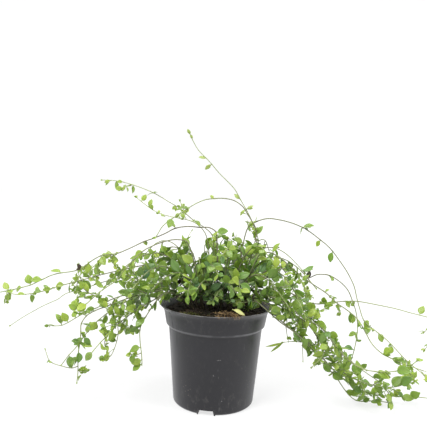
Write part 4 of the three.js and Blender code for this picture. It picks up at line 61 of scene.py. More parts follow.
# stems: points (mm) along the rooted stem, then along its side shoots.
# leaves: (stem, point, tip x, y, z, roll in degrees, width)
RUNNERS = [
    ('runner_tall', [
        [(26, 24.4, 137), (32.3, 23.9, 150.6), (38.7, 23.3, 164.2), (44.9, 23, 177.9), (51.4, 23.5, 193.8),
         (57.2, 25.7, 209.8), (62, 28.5, 226.1), (63.2, 31.2, 242.8), (57.2, 28.6, 259.6), (50.4, 27.5, 276.2),
         (41.6, 26.4, 291.9), (31.9, 25.3, 307), (22.7, 22.5, 322.2), (10.3, 19, 334.7), (-2.8, 15.4, 346.6),
         (-14.6, 11.8, 359.6), (-22.9, 9.3, 367.9), (-35.7, 5.6, 380), (-44.9, 1.9, 395), (-48.5, 0.1, 402.4)],
        [(57.2, 28.6, 259.6), (47.1, 34.7, 270.5)],
    ], [
        (0, 3, 52.7, 15, 195.2, 112, 12.6), (0, 10, 53.5, 24.6, 298.1, 54, 6.8),
        (0, 10, 52.6, 28.7, 293.9, 49, 5.8), (0, 11, 21.9, 29.1, 315.2, -52, 7.9),
        (0, 15, -24.7, 13.7, 350.9, -131, 8.1), (0, 16, -34.8, 4.1, 369, -50, 7.2),
        (0, 18, -48.6, 3.1, 403.1, -55, 5.1), (0, 19, -52.6, 0.2, 410.6, 121, 5.7),
        (0, 19, -50.4, -4.3, 409.1, -18, 4.8), (1, 1, 44.2, 38.4, 275.7, 39, 4.1),
        (1, 1, 41.1, 36.7, 272.5, 62, 3.3), (0, 7, 55.8, 32.2, 245.5, -86, 4.6),
        (0, 8, 52.2, 26.4, 253.7, -42, 4.1), (0, 7, 61.9, 43.4, 240, -32, 7), (1, 1, 54.3, 37.7, 272.5, 30, 4.6),
        (0, 10, 32.4, 27.6, 281.4, -43, 7.1),
    ]),
    ('runner_arch_left', [
        [(15.5, 18.9, 137), (20.3, 17.7, 146.3), (25.2, 16.4, 155.5), (31.4, 14.8, 167.2), (37.3, 13.4, 179.1),
         (41.7, 12.4, 189.2), (45.5, 11.8, 199.6), (49.2, 11.6, 212), (52.5, 11.8, 224.5), (55.6, 12, 239.2),
         (57.7, 12, 254.2), (57, 11.3, 262.9), (53.7, 9.9, 269.1), (43.4, 5.9, 284.5), (34.4, 2.9, 297.1),
         (21.6, -0.1, 305.3), (6.5, -3.4, 308.3), (-8.8, -6.7, 307.6), (-22.2, -9.6, 305.3), (-34.7, -12.6, 299.9),
         (-46.2, -15.6, 292.7), (-58.3, -18.8, 284.4), (-69.4, -21.9, 276.4), (-82.8, -25.9, 264.9),
         (-91.3, -30.6, 249.7)],
        [(-46.2, -15.6, 292.7), (-53.5, -12, 277.6)],
    ], [
        (0, 2, 31.5, 7.2, 175.3, 95, 14.2), (0, 10, 67.5, 8, 268.1, 56, 10.6),
        (0, 17, -15.2, -3.4, 312.1, -72, 4.6), (0, 20, -54.7, -18.2, 291.9, -47, 5.3),
        (0, 21, -65.5, -17.8, 277.7, -76, 6.2), (0, 22, -73.1, -38, 263.6, -35, 11.6),
        (0, 22, -75.2, -14.3, 272.8, -38, 5.9), (0, 22, -76.4, -27.9, 268.3, -61, 6.2),
        (0, 24, -97.9, -33.9, 246.2, 31, 4.3), (0, 24, -93.1, -36.6, 246.9, 14, 4.1),
        (0, 4, 32.5, 9.5, 193.4, -76, 9.3), (0, 4, 50.6, 14.9, 181.5, -67, 7.1),
        (0, 6, 42.8, 5.7, 210.6, -37, 8.1), (0, 6, 57.5, 17, 205.7, 72, 9), (0, 8, 44.7, 20.6, 230.2, 40, 6.8),
        (0, 8, 61.6, 5.9, 234.8, -58, 9.3), (0, 12, 46.1, 12.8, 268.9, 78, 4.7),
        (0, 12, 43.2, 1.4, 271.6, 13, 7.1), (0, 13, 31.4, 9.1, 287.6, 11, 7.3),
        (1, 1, -55.6, -8.8, 274, -108, 3.1), (1, 1, -57.9, -10.4, 273.3, -39, 3.9),
        (0, 11, 49.7, 7.6, 261.9, -62, 5.4), (0, 21, -51.3, -21.2, 277.8, 57, 6.5),
        (0, 11, 59.2, 2.4, 264.5, 80, 5.2), (0, 20, -46.8, -7.4, 292.9, -96, 4.2),
        (0, 20, -46.4, -24.7, 291.8, -14, 4.7), (0, 21, -59.5, -5, 282.5, -65, 7.4),
    ]),
    ('runner_long_left', [
        [(-1.9, 11, 137), (-1.2, 7.2, 151.6), (-0.4, 3.2, 166.2), (0, -0.2, 180.9), (0, -2.1, 191.1),
         (-0.3, -3.7, 201.4), (-0.7, -5.2, 213.9), (-1.7, -7.2, 232.8), (-2.7, -8.5, 246.2), (-4.5, -9.9, 257.9),
         (-14.6, -12.2, 264.2), (-28.2, -14.7, 264.3), (-46.5, -18.2, 265.2), (-64.3, -21.9, 262.2),
         (-78.7, -25.1, 254.5), (-93.4, -28, 247.6), (-108.6, -31.6, 242), (-125.7, -35.5, 233.3),
         (-143, -39.4, 225.3), (-150.6, -41, 223.3), (-160.3, -43.1, 222), (-167.6, -44.6, 221),
         (-183.4, -48.1, 211.2), (-187.8, -49.1, 207.3), (-194.7, -50.7, 201.8), (-207.3, -53.1, 198),
         (-220.3, -55.5, 196.1), (-233.2, -58, 192.8), (-245.1, -60.5, 186.9), (-260.8, -63.8, 178.9),
         (-272.1, -66, 175.5), (-280.6, -67.6, 173.2), (-289.3, -69.3, 171.3), (-303.4, -72.1, 168.1),
         (-317.2, -74.9, 163.8)],
        [(-280.6, -67.6, 173.2), (-288.8, -64.5, 168.8), (-295.2, -59.4, 162.3), (-300.2, -50.5, 151.5)],
        [(-150.6, -41, 223.3), (-151.5, -50.7, 216.7), (-146.9, -56.3, 211.1)],
    ], [
        (0, 5, 0, -0.2, 222.8, -88, 11.6), (0, 8, 0.9, 8.2, 253.6, -10, 11.9), (0, 9, 14, -6.5, 259.8, 59, 11.7),
        (0, 19, -155.1, -58.9, 227.3, -13, 10.5), (0, 19, -150.7, -27.1, 209.8, -166, 12),
        (0, 19, -168.1, -34.3, 217.2, -60, 11.1), (0, 21, -159.2, -53.8, 208.9, 54, 10.1),
        (0, 22, -186.9, -48.1, 195.8, 94, 9.5), (0, 26, -237, -52.2, 198, -3, 10.7),
        (0, 28, -259.2, -67.9, 185.4, -47, 8.6), (0, 29, -266.3, -59.9, 193, -23, 9.9),
        (0, 30, -283.4, -56.5, 170.3, -59, 8.6), (0, 32, -298.2, -62.7, 181.4, -23, 7.6),
        (0, 34, -329.1, -74.7, 168.5, -112, 8), (0, 34, -322.3, -78.3, 156.9, 3, 5.3),
        (0, 3, 4, -19.7, 184.6, -14, 10.5), (0, 3, -2.7, 11.5, 193, 15, 9.2), (0, 6, 16.8, -7.8, 225.7, 63, 10.8),
        (0, 6, -13.8, -12.6, 220.1, -87, 8.3), (0, 7, 10.4, -20.2, 239.1, 30, 10.5),
        (0, 7, -6.3, 4.1, 241.1, 50, 8.2), (0, 11, -37, -16.2, 274.1, -48, 8.2),
        (0, 11, -32.9, -23.7, 271.1, -73, 6.7), (0, 13, -74.2, -16.3, 271.8, -9, 8.8),
        (1, 3, -302.6, -43, 148.6, -36, 4.7), (1, 3, -298.1, -44, 148, -87, 3.9),
        (1, 1, -292.1, -54.2, 170.5, -52, 5.5), (1, 1, -290.5, -63.9, 155, -167, 7.9),
        (1, 2, -298.2, -50.6, 168.5, -73, 5.8), (1, 2, -297.9, -62.1, 149.6, 28, 7.1),
        (2, 2, -139, -63, 211.9, 153, 6.2), (2, 2, -141.1, -59, 204, 99, 5.1), (2, 1, -154.6, -60.1, 218, -7, 5.7),
        (2, 1, -145.4, -47.6, 210.1, -90, 4.9), (0, 9, -3.8, -2, 257, 27, 4.6),
        (2, 1, -155.4, -56.6, 213.1, -61, 4.7), (0, 9, -4.5, -20.4, 253.6, 24, 6.7),
        (0, 8, -10.8, -15.1, 250, -56, 5.7), (0, 32, -281, -78.5, 170.1, 19, 7.4),
        (0, 16, -103.7, -26, 239.1, 71, 4.1), (0, 24, -198.9, -51.7, 209.4, -98, 5.2),
        (0, 32, -286.6, -76.9, 176.2, -87, 5.1), (0, 23, -192.5, -43.1, 204.9, -25, 4.2),
        (0, 16, -104.9, -25.4, 235.7, -164, 5.4), (0, 18, -150.6, -33.6, 220.6, -64, 6),
        (2, 2, -141.4, -53.5, 216.3, 33, 4.8), (0, 22, -183.5, -56, 211.9, -7, 4),
        (0, 20, -167.7, -38.4, 222.5, -49, 4.5), (0, 8, -9.7, -5.5, 242.1, 46, 5.5),
        (0, 24, -199.5, -57.1, 201.4, -29, 4.7),
    ]),
    ('runner_top_left', [
        [(-5.5, 24.3, 137), (-4.8, 23.4, 152), (-4.1, 22.5, 166.5), (-3.8, 21.9, 181), (-4.2, 21.9, 194.7),
         (-5.1, 22.3, 208.4), (-6.6, 23.2, 226.8), (-8, 24, 238.6), (-10.4, 25, 250.3), (-23, 29, 261.2),
         (-38.2, 33.6, 269.9), (-53.3, 38.4, 281.3), (-62.3, 41.4, 288.6), (-69.9, 43.6, 292.9), (-82, 46.9, 299),
         (-94, 50.3, 305.5), (-106.1, 53.6, 311.7), (-123.9, 58.2, 318.2), (-142, 62.7, 323.8),
         (-159, 66.8, 327.8), (-170.6, 69.6, 329.4), (-180.8, 72, 329.8), (-193.9, 75, 330)],
        [(-142, 62.7, 323.8), (-152.5, 57.9, 321.4), (-156.3, 53.9, 317.7)],
        [(-53.3, 38.4, 281.3), (-58.2, 39.4, 289.8), (-62.8, 39.6, 299.5)],
    ], [
        (0, 6, -13.2, 30.9, 241.3, -29, 10.1), (0, 11, -56.5, 31, 284.2, -4, 5.2),
        (0, 11, -61.1, 34.3, 287.3, -85, 6.3), (0, 12, -67.6, 36.4, 294.4, -80, 5.7),
        (0, 16, -100.3, 45.4, 313.2, 0, 6.1), (0, 18, -143.5, 67.4, 309.6, 48, 8.3),
        (0, 18, -154.5, 65, 320.6, -33, 7.8), (0, 19, -169.3, 63.9, 327.9, -69, 6.3),
        (0, 20, -173, 74.9, 317, 52, 8.2), (0, 21, -190.8, 79.9, 321.4, -61, 8.3),
        (0, 21, -190.7, 71.2, 325.9, -79, 6.3), (0, 3, -11.4, 24.5, 189.6, 121, 6.3),
        (0, 3, 9.3, 23.2, 187.3, -103, 8.1), (0, 5, -16.5, 30.1, 213.5, -16, 8.4),
        (0, 5, 3.9, 16.1, 213.3, 33, 6.5), (0, 10, -41.5, 41.4, 270.8, -61, 4.9),
        (0, 10, -44, 27, 270.7, -10, 5.2), (1, 2, -161, 51.2, 314.8, 42, 3.2), (1, 2, -156.4, 47.3, 315, 60, 3.7),
        (2, 2, -62.7, 38.4, 304.7, 33, 3), (2, 2, -64.4, 38.1, 304.2, 163, 3), (2, 1, -61.3, 45.9, 292.9, 21, 4.1),
        (2, 1, -60.4, 32.5, 291.5, 37, 4.5), (1, 1, -159.8, 58.5, 312.8, -72, 6),
        (1, 2, -169, 53.4, 317.1, -97, 8.3), (0, 8, -5.1, 30.5, 248, 46, 5.2), (1, 1, -149.3, 55.6, 312, -12, 5.2),
        (0, 13, -69.6, 40.9, 283.8, -10, 5.3), (1, 1, -157.6, 64, 322.4, -53, 4.8),
        (0, 13, -75.6, 46.4, 286.6, -80, 5.9), (0, 11, -49.2, 44.5, 288.6, 6, 6.6),
        (2, 1, -61.1, 46.8, 296.8, 14, 5.7), (0, 16, -117.6, 60.3, 307.4, -9, 8.8),
        (0, 1, -2.3, 30.3, 148.9, 52, 4.2),
    ]),
    ('runner_mid_left', [
        [(-12.8, 17.1, 137), (-12.5, 15.9, 149), (-12.1, 14.6, 161), (-11.8, 12.8, 179.8), (-12.4, 11.5, 198.7),
         (-13.5, 10.4, 217.5), (-15.6, 9.8, 236.3), (-21.2, 11.1, 254.1), (-33.9, 16.2, 266.9), (-51, 20.9, 272.9),
         (-59.7, 23.1, 274.1), (-74.2, 26.6, 276), (-88.6, 30.1, 278.8), (-94.2, 31.5, 280.5),
         (-104.9, 34.3, 285.3), (-112.5, 36.4, 289.8), (-124.7, 39.9, 298), (-131.4, 41.9, 302.7)],
        [(-51, 20.9, 272.9), (-55.5, 24.9, 282.3), (-55.9, 29.3, 292.9)],
    ], [
        (0, 2, -9.5, 4.4, 178, 166, 12.3), (0, 14, -112.3, 33.4, 293.3, -54, 6.9),
        (0, 14, -109.3, 28.1, 296, -107, 6.8), (0, 16, -117.2, 43.9, 309, 66, 8.6),
        (0, 17, -135.2, 44.8, 307, -42, 4.1), (0, 17, -136.7, 40.4, 305.9, 31, 4),
        (1, 2, -57.3, 29.1, 297.7, -129, 3.2), (1, 2, -59.5, 32.2, 298.2, 33, 3.8),
        (1, 1, -49.9, 30, 287.7, -34, 5), (1, 1, -62, 23.7, 287.7, -3, 5.1),
        (0, 13, -98.8, 25.1, 281.9, -132, 4.9), (0, 15, -107.7, 40.9, 302.2, 60, 7.3),
        (0, 12, -89.6, 16.3, 277, -39, 9.1), (0, 10, -62.2, 13.7, 275.5, -44, 6.1),
        (0, 13, -96, 37.8, 285.2, -9, 4.5), (1, 1, -50.8, 32.9, 279.8, 42, 6.1),
        (1, 2, -68.1, 30.2, 286.1, -54, 7.3),
    ]),
    ('runner_low_left', [
        [(-32.3, 19.3, 137), (-38.6, 16.4, 150.5), (-44.8, 13.5, 164.1), (-51.2, 12, 177.8), (-56.8, 12.6, 191.3),
         (-65.2, 14.8, 205.2), (-74.2, 16.6, 208.5), (-83.8, 18.6, 206.7), (-99.8, 21.8, 202.9),
         (-114, 24.7, 199.2), (-125.4, 27, 196), (-139.6, 29.8, 192), (-151.7, 32.3, 188.6), (-169.1, 35.7, 183.4),
         (-179.3, 37.7, 180.3), (-186.9, 39.2, 178), (-193.4, 40.5, 175.9), (-199, 41.6, 174), (-204.7, 42.7, 172),
         (-218.5, 45.4, 167.2), (-224.1, 46.5, 165.4), (-229.7, 47.6, 163.5), (-237.4, 49.1, 161),
         (-246.6, 50.9, 158.1), (-255, 52.5, 155.2), (-260.6, 53.6, 153.2), (-268.9, 55.2, 150.1),
         (-274.5, 56.2, 148), (-285.6, 58.4, 144), (-294.1, 60, 141.4), (-305.6, 62.1, 138.7),
         (-314.4, 63.6, 137.1), (-329, 66.3, 135.5), (-343.7, 68.9, 137), (-349.5, 70, 138.3)],
        [(-139.6, 29.8, 192), (-140.8, 32.9, 181.4), (-135.2, 34, 172.4)],
        [(-224.1, 46.5, 165.4), (-225.2, 44.5, 157.4), (-220.9, 41.5, 149.5), (-216.7, 39.6, 145.6),
         (-210.1, 37.3, 141.5)],
        [(-204.7, 42.7, 172), (-206.9, 49.1, 178.3), (-204.7, 55.7, 185.5), (-197.3, 62.5, 193.9)],
        [(-186.9, 39.2, 178), (-190.1, 35.3, 187.1), (-188.2, 31.4, 194)],
        [(-83.8, 18.6, 206.7), (-91, 15.5, 212), (-96.5, 8.2, 221)],
        [(-218.5, 45.4, 167.2), (-221.6, 49.5, 171.9), (-226.6, 55.7, 177.4), (-230.5, 65.9, 187.1)],
    ], [
        (0, 10, -142.1, 32.7, 187.6, -40, 9.8), (0, 11, -157.3, 35, 181.7, -43, 11.6),
        (0, 20, -230.3, 35.2, 172.3, -74, 7.5), (0, 23, -260.4, 48.5, 155.4, -67, 8.1),
        (0, 26, -282.1, 50.4, 148.7, -76, 7.7), (0, 28, -298.9, 56.5, 143.3, -37, 8.2),
        (0, 30, -303.2, 64.1, 123.2, 29, 9.3), (0, 31, -324.3, 53, 137.7, -27, 7.9),
        (0, 33, -348.7, 73.2, 123, -129, 9.8), (0, 3, -45.5, 22.4, 187.5, -55, 8.4),
        (0, 3, -61.6, 0.8, 179.1, 66, 8.5), (0, 4, -57.3, 23.8, 210.3, -93, 12),
        (0, 4, -67.4, 2.7, 192.7, 54, 7.4), (0, 5, -66.7, 16.7, 221.6, 133, 8.8),
        (0, 5, -80.1, 6.3, 203.7, 42, 10.1), (0, 7, -86.9, 35.4, 208.9, 22, 8.9),
        (0, 7, -94.4, 2.5, 207.1, 43, 11.3), (0, 8, -105.3, 10.7, 198.7, 80, 8.2),
        (0, 8, -104.2, 31.1, 189.8, -41, 9), (0, 12, -161.2, 33.1, 193.1, 53, 5.3),
        (0, 12, -160.2, 22.3, 185.5, 28, 8.3), (0, 13, -167, 42, 172.2, -44, 8),
        (0, 15, -197.4, 43, 188.9, 131, 9.4), (0, 15, -196.8, 32.8, 177.8, 4, 6.7),
        (0, 18, -214.1, 37.1, 179.9, 39, 7.7), (0, 18, -208.4, 36.5, 156.3, 42, 9.1),
        (0, 22, -237.5, 62, 160.6, -43, 7.9), (0, 22, -237.3, 49.3, 144.8, 175, 8.3),
        (1, 2, -125.8, 32.8, 169.4, -25, 5.5), (1, 2, -134.1, 38.2, 165.3, -53, 5.1),
        (1, 1, -128.4, 35.5, 179.4, -16, 6.6), (1, 1, -141.7, 46.7, 178.7, -43, 7.8),
        (2, 4, -205.4, 30.7, 140.5, -2, 5.2), (2, 4, -202.5, 39.3, 139.8, -59, 4.2),
        (2, 1, -231.1, 35.9, 149.1, 66, 7.5), (2, 1, -214, 48.8, 144.5, 152, 9.7),
        (2, 2, -217.8, 49.7, 140.2, -8, 7.8), (2, 2, -220, 34.9, 138.3, 82, 7.2),
        (3, 3, -192.6, 61.5, 199, -38, 4), (3, 3, -187.2, 65.5, 196.4, -3, 6.7),
        (3, 1, -219.8, 53.2, 179.2, 118, 7.3), (3, 1, -207.2, 64.3, 181.5, -29, 9.8),
        (3, 2, -195.3, 51.8, 190.2, 19, 5.8), (3, 2, -206.5, 66.5, 189.2, -68, 6.6),
        (4, 2, -186.7, 25.6, 199.3, 67, 4.3), (4, 2, -183.5, 26.8, 200.3, 59, 5.2),
        (4, 1, -193.6, 38.7, 196.2, 175, 6.4), (4, 1, -184.6, 42.6, 196.7, -52, 7.9),
        (5, 2, -100.2, 3.2, 225.3, 172, 4.1), (5, 2, -97.2, -1.1, 224.5, 32, 5.5),
        (5, 1, -99.3, 21.4, 219.2, -38, 7.4), (5, 1, -90.8, 4.7, 210.1, 40, 6),
        (6, 3, -228.8, 68, 192.8, -12, 3.6), (6, 3, -227.6, 71.6, 190.9, -48, 4.1),
        (6, 1, -221.6, 55.3, 187.1, 120, 8.8), (6, 1, -227.8, 61, 168.2, -98, 7.7),
        (6, 2, -224.3, 55.6, 186.6, 55, 5.7), (6, 2, -225.7, 64.7, 178.4, -63, 5),
        (0, 24, -253.3, 47.1, 149.3, 27, 4.5), (1, 2, -141.8, 44.5, 169.3, -51, 8.1),
        (0, 26, -273.7, 62.7, 146, -12, 6.1), (2, 4, -207.6, 31.8, 146.7, 111, 4.5),
        (0, 25, -255.4, 51.8, 147.4, 30, 5.2), (0, 19, -218.6, 40.3, 173.4, -74, 4.8),
        (0, 29, -301.3, 57.1, 138.7, -63, 5.1), (0, 16, -200.5, 44.4, 177.9, -25, 4.8),
        (0, 15, -199.1, 49.7, 169.9, -20, 9.8), (0, 27, -275.9, 51.5, 141.7, -17, 5.3),
        (0, 16, -202.2, 47.2, 169, -26, 7.7), (0, 20, -235.5, 57.1, 156.3, -45, 9.8),
        (0, 27, -283.1, 57.3, 155.2, -21, 6.6), (0, 24, -256.9, 57.2, 161.7, -22, 5.3),
        (3, 2, -200.8, 48.9, 183.6, -31, 4.3), (0, 16, -188.2, 38, 170.3, 11, 5.1),
        (2, 2, -227.7, 46.6, 142.4, -52, 6.9), (0, 21, -235.2, 52, 159.6, -56, 5),
        (0, 14, -188.4, 40.3, 183.7, -31, 5.3), (0, 18, -200.3, 37.1, 168.5, 42, 4.4),
        (4, 2, -189.1, 27.7, 201, -111, 4.5), (0, 29, -296.1, 65.9, 150.3, 0, 5.9),
        (2, 3, -208.2, 22, 144.7, 32, 10.7), (0, 19, -203, 47.6, 153.3, 61, 11.3),
        (0, 17, -198.9, 33.6, 174.1, 14, 4.8), (0, 9, -118.1, 29.1, 192.4, -105, 5.2),
        (0, 26, -265.2, 62.3, 150.3, 23, 4.4),
    ]),
    ('runner_back_left', [
        [(-36.1, 27, 137), (-46, 28.6, 151.3), (-56, 31, 165.4), (-65.1, 36.2, 179.3), (-71.2, 40.7, 187.4),
         (-80.2, 45.2, 192), (-97.2, 50.7, 190.5), (-102.8, 52.2, 189), (-113.9, 55, 185.5), (-124.9, 58, 182.1),
         (-141.7, 62.9, 176.9), (-156.8, 67.2, 171.7), (-171.8, 71.4, 166.2), (-184, 74.9, 161.7),
         (-196, 78.3, 157), (-212.5, 82.9, 150.3), (-222.3, 85.6, 146.5), (-232.5, 88.3, 142.9),
         (-242.7, 91, 139.5), (-258.7, 95.5, 132.7), (-272.6, 99.8, 122.1), (-288.1, 104.1, 114.2),
         (-303.6, 108.4, 105.9), (-318.4, 112.6, 96.7), (-333.4, 116.8, 87.5), (-347.8, 120.9, 77.5),
         (-362, 125, 67.2)],
        [(-196, 78.3, 157), (-203.8, 80.1, 160.3), (-213.1, 82.1, 166.2), (-223.8, 84.2, 176.1)],
        [(-212.5, 82.9, 150.3), (-224.3, 82.8, 155.6), (-231.8, 81.3, 161.1)],
        [(-222.3, 85.6, 146.5), (-232.6, 83.6, 148.7), (-239.7, 80.4, 151)],
    ], [
        (0, 7, -112.6, 46.4, 171.8, -77, 11.9), (0, 10, -150.7, 67.9, 163.4, 32, 9.4),
        (0, 12, -185.9, 79.1, 155.1, -57, 10.2), (0, 3, -64.4, 51.3, 178.8, -25, 7.8),
        (0, 3, -78.3, 33.4, 186.1, 6, 8.9), (0, 5, -92.5, 37.8, 180.3, -70, 11.3),
        (0, 5, -81.3, 59.3, 190.7, -65, 8.7), (0, 9, -124.8, 62.1, 171.8, -52, 6),
        (0, 9, -133.8, 45.8, 177, 58, 9.4), (0, 14, -206.3, 87.2, 165.4, 54, 8.6),
        (0, 14, -204.7, 73.4, 155.6, 42, 5.7), (0, 16, -229.2, 96.7, 148.6, -13, 7),
        (0, 16, -231.3, 73.2, 143.5, 58, 9.4), (0, 18, -251, 89.7, 144.7, 33, 5.6),
        (0, 18, -239.8, 102.6, 132.7, -61, 6.9), (1, 3, -229.4, 90.9, 182.1, 111, 6.8),
        (1, 3, -229.5, 81.7, 184.2, 57, 6.1), (1, 1, -215.1, 89.1, 160.2, -9, 9.1),
        (1, 1, -208.4, 77.7, 168, 180, 5.9), (1, 2, -210.2, 85.9, 178.5, -98, 6.8),
        (1, 2, -225.8, 81.5, 166.3, 37, 8), (2, 2, -233, 80.2, 168.3, 169, 3.9),
        (2, 2, -239.5, 79.7, 164.6, 82, 5), (2, 1, -227.1, 86.8, 163.5, 35, 5.1),
        (2, 1, -232.7, 75.8, 157.7, 64, 7.1), (3, 2, -243.7, 80.7, 155.9, 157, 3.1),
        (3, 2, -244.8, 74.7, 150, 29, 4.6), (3, 1, -241.9, 87.6, 148, 13, 5.3),
        (3, 1, -234.6, 73.6, 150.8, 37, 6.2), (0, 5, -74.6, 50.8, 193.4, 61, 4.3),
        (0, 7, -101.6, 40.1, 184.6, 32, 7), (0, 6, -99.9, 58.9, 191.5, 8, 4.6),
    ]),
    ('runner_front_left', [
        [(-18.7, 5.5, 137), (-20.7, 1.8, 146.6), (-22.6, -2, 156.1), (-25.2, -6.6, 168.3), (-28.1, -10.5, 180.5),
         (-30.2, -12.9, 189.5), (-32.6, -15.4, 200), (-35, -17.8, 210.5), (-38.1, -20.4, 222.8),
         (-42, -23.2, 234.7), (-47.6, -26, 243.7), (-64.6, -30.2, 246.2), (-82, -34.7, 242.2), (-95, -38.4, 237),
         (-107.2, -42.1, 230.2), (-117.5, -46, 220.2), (-122.5, -48, 214.3), (-132.5, -52.3, 202.5),
         (-142.5, -57, 188.6), (-157.3, -62.1, 177.8), (-163.3, -64.3, 173.3), (-169.5, -66.7, 167.6),
         (-173.7, -68.4, 163.4), (-180, -70.8, 157.4), (-189.6, -74.2, 151.4), (-192.2, -75, 150.2)],
        [(-169.5, -66.7, 167.6), (-177.7, -69.2, 171.8), (-185.3, -71.3, 178.7), (-193.5, -73, 192.9)],
        [(-132.5, -52.3, 202.5), (-128, -50.5, 194.8), (-121.7, -47.9, 190.6), (-112.4, -44, 188.5)],
    ], [
        (0, 5, -24.6, -24.4, 205.2, 63, 10.9), (0, 9, -54.6, -11.8, 242.6, -36, 11.7),
        (0, 14, -119.3, -36.4, 217, -78, 10.9), (0, 18, -130.2, -47.2, 174.4, 41, 12.9),
        (0, 23, -190.2, -82.6, 149.3, -19, 11.1), (0, 23, -192.8, -69.8, 145.4, -80, 10.7),
        (0, 24, -202.9, -64.7, 157.4, -61, 10.6), (0, 24, -203, -79.6, 156.6, -84, 9.1),
        (0, 4, -21.7, -6.7, 194, 19, 9), (0, 4, -40.3, -20.9, 191.6, 146, 12.1),
        (0, 7, -54.3, -15.7, 222.1, -60, 12.7), (0, 10, -54.2, -19.6, 253.2, -105, 8.1),
        (0, 10, -55.8, -34.2, 237.5, 46, 7.3), (0, 12, -80.4, -37.3, 228.8, 160, 8.1),
        (0, 16, -123.5, -49.4, 203.2, -142, 6.5), (0, 16, -118.4, -55.8, 210.1, 69, 6),
        (0, 17, -128.2, -45.9, 195.3, -47, 5.7), (0, 17, -128.8, -65.4, 193.2, 68, 9),
        (0, 19, -170.4, -63.7, 191, 162, 10.8), (0, 21, -174.4, -56.7, 165.4, -4, 6.9),
        (0, 21, -181, -71.8, 167.4, -139, 6.8), (1, 3, -195.3, -69.8, 198.2, -107, 4),
        (1, 3, -194.1, -73, 200.9, 167, 4.8), (1, 1, -191.2, -73.9, 170.4, -3, 7.9),
        (1, 1, -183.9, -66.9, 185.8, -100, 8.7), (1, 2, -187.5, -79.8, 188.6, -126, 8.4),
        (1, 2, -196.8, -70.7, 175.3, 40, 7.2), (2, 3, -107.2, -39.6, 188.3, -38, 3.5),
        (2, 3, -106.6, -38.7, 182.6, -172, 5.1), (2, 1, -114.1, -54.6, 192.4, -11, 8.4),
        (2, 1, -134.3, -53.7, 185.2, -28, 6.3), (1, 1, -189.7, -60, 165.7, -5, 8.4),
        (0, 2, -14.2, -2.8, 160.4, 34, 5.4), (0, 17, -135, -56.8, 210, -96, 5.3),
        (0, 15, -113.8, -52.1, 212.6, 1, 5.3), (0, 22, -180.7, -64.5, 163.7, -20, 5),
        (2, 2, -117.6, -54.5, 188.5, 16, 5), (0, 20, -170.2, -54.2, 164.6, 119, 9.6),
        (0, 18, -144.5, -59.6, 196, 175, 4.9), (1, 3, -196.1, -77.9, 198.7, -48, 4.6),
        (0, 18, -149.9, -54.5, 186.6, -63, 4.5), (0, 22, -171.4, -77.4, 169.3, 52, 6.5),
    ]),
    ('runner_left_drop_a', [
        [(-42, 14.2, 137), (-48.6, 9.9, 150), (-55.9, 5.9, 162.8), (-65.8, 4.3, 174.1), (-79.3, 5.4, 176.2),
         (-90.8, 6.8, 172.9), (-98.9, 7.8, 169.8), (-104.4, 8.5, 167.6), (-114.2, 9.7, 163.7), (-125.1, 11, 159.6),
         (-135.2, 12.2, 155.8), (-146.3, 13.6, 151.5), (-159, 15.1, 146.3), (-168.2, 16.3, 141.7),
         (-177.8, 17.6, 134.6), (-188.1, 18.9, 128.9), (-201.5, 20.5, 123.2), (-210.4, 21.6, 117.7),
         (-219.9, 22.9, 111.6), (-232, 24.4, 103.5), (-242.6, 25.7, 98.1), (-254.3, 27, 96.4),
         (-262.7, 27.9, 96.4)],
        [(-168.2, 16.3, 141.7), (-179.4, 13.8, 147.2), (-185, 11, 152.9)],
        [(-210.4, 21.6, 117.7), (-216.2, 21.9, 125.3), (-217.9, 21.8, 132), (-217.4, 21.3, 141.4)],
    ], [
        (0, 7, -119.7, 2.8, 177.1, -86, 11.9), (0, 10, -151, 2.2, 160.2, -51, 10.3),
        (0, 13, -182.8, 5, 142.2, -76, 11.2), (0, 14, -183.5, 16, 148.1, -56, 7.9),
        (0, 15, -202.4, 13.8, 125.7, -51, 7.8), (0, 19, -242, 23.7, 119.2, -76, 10.4),
        (0, 20, -246.4, 22.6, 114.2, -37, 9), (0, 21, -261.7, 18.5, 100.7, -4, 7.6),
        (0, 22, -269.6, 30.1, 94.2, 11, 4.6), (0, 22, -269.7, 23.8, 96.6, 112, 4.5),
        (0, 3, -71.1, -0.1, 188.8, 15, 9.3), (0, 3, -83.2, 8.7, 167.8, -26, 10.5),
        (0, 4, -91.2, 18.5, 176.7, -69, 10.8), (0, 4, -82.5, -7.4, 170.9, 16, 8.9),
        (0, 5, -104.9, 14.1, 181.9, -14, 9.9), (0, 5, -103.4, -2.5, 166.7, 26, 9.7),
        (0, 8, -120.3, 18.9, 154.3, -47, 7.9), (0, 8, -126.1, -6.2, 156.8, 78, 12.5),
        (0, 9, -132.1, 18.2, 172.7, 17, 10.4), (0, 9, -126.3, 2.1, 141.9, 14, 11.2),
        (0, 11, -145.5, 29.1, 147.7, -34, 10.1), (0, 11, -156.5, 3.7, 141.9, 29, 10.4),
        (0, 12, -171.3, 17.2, 150.9, 7, 8.3), (0, 12, -154.6, 22.1, 130.2, -82, 10.4),
        (0, 16, -209.7, 29, 120.1, -129, 7.7), (0, 16, -209.1, 9.3, 120.5, 28, 7.9),
        (0, 17, -223.5, 17.9, 122.3, 24, 7.7), (0, 18, -226.2, 34.8, 120.2, -45, 9.7),
        (1, 2, -192.6, 8.3, 155, -11, 5.3), (1, 1, -178.4, 5.8, 152.6, 7, 4.9), (1, 1, -186, 5.9, 150.9, 52, 6),
        (2, 3, -213.3, 20.5, 147.8, -9, 4.6), (2, 3, -218, 22.2, 148.8, -174, 3.8),
        (2, 1, -214.1, 29.8, 135.8, -152, 8.1), (0, 13, -172.8, 18.5, 148.3, -71, 4.7),
        (2, 3, -213.9, 14.1, 142.1, -71, 4.1), (0, 22, -264.9, 34.4, 92.2, 70, 4.1),
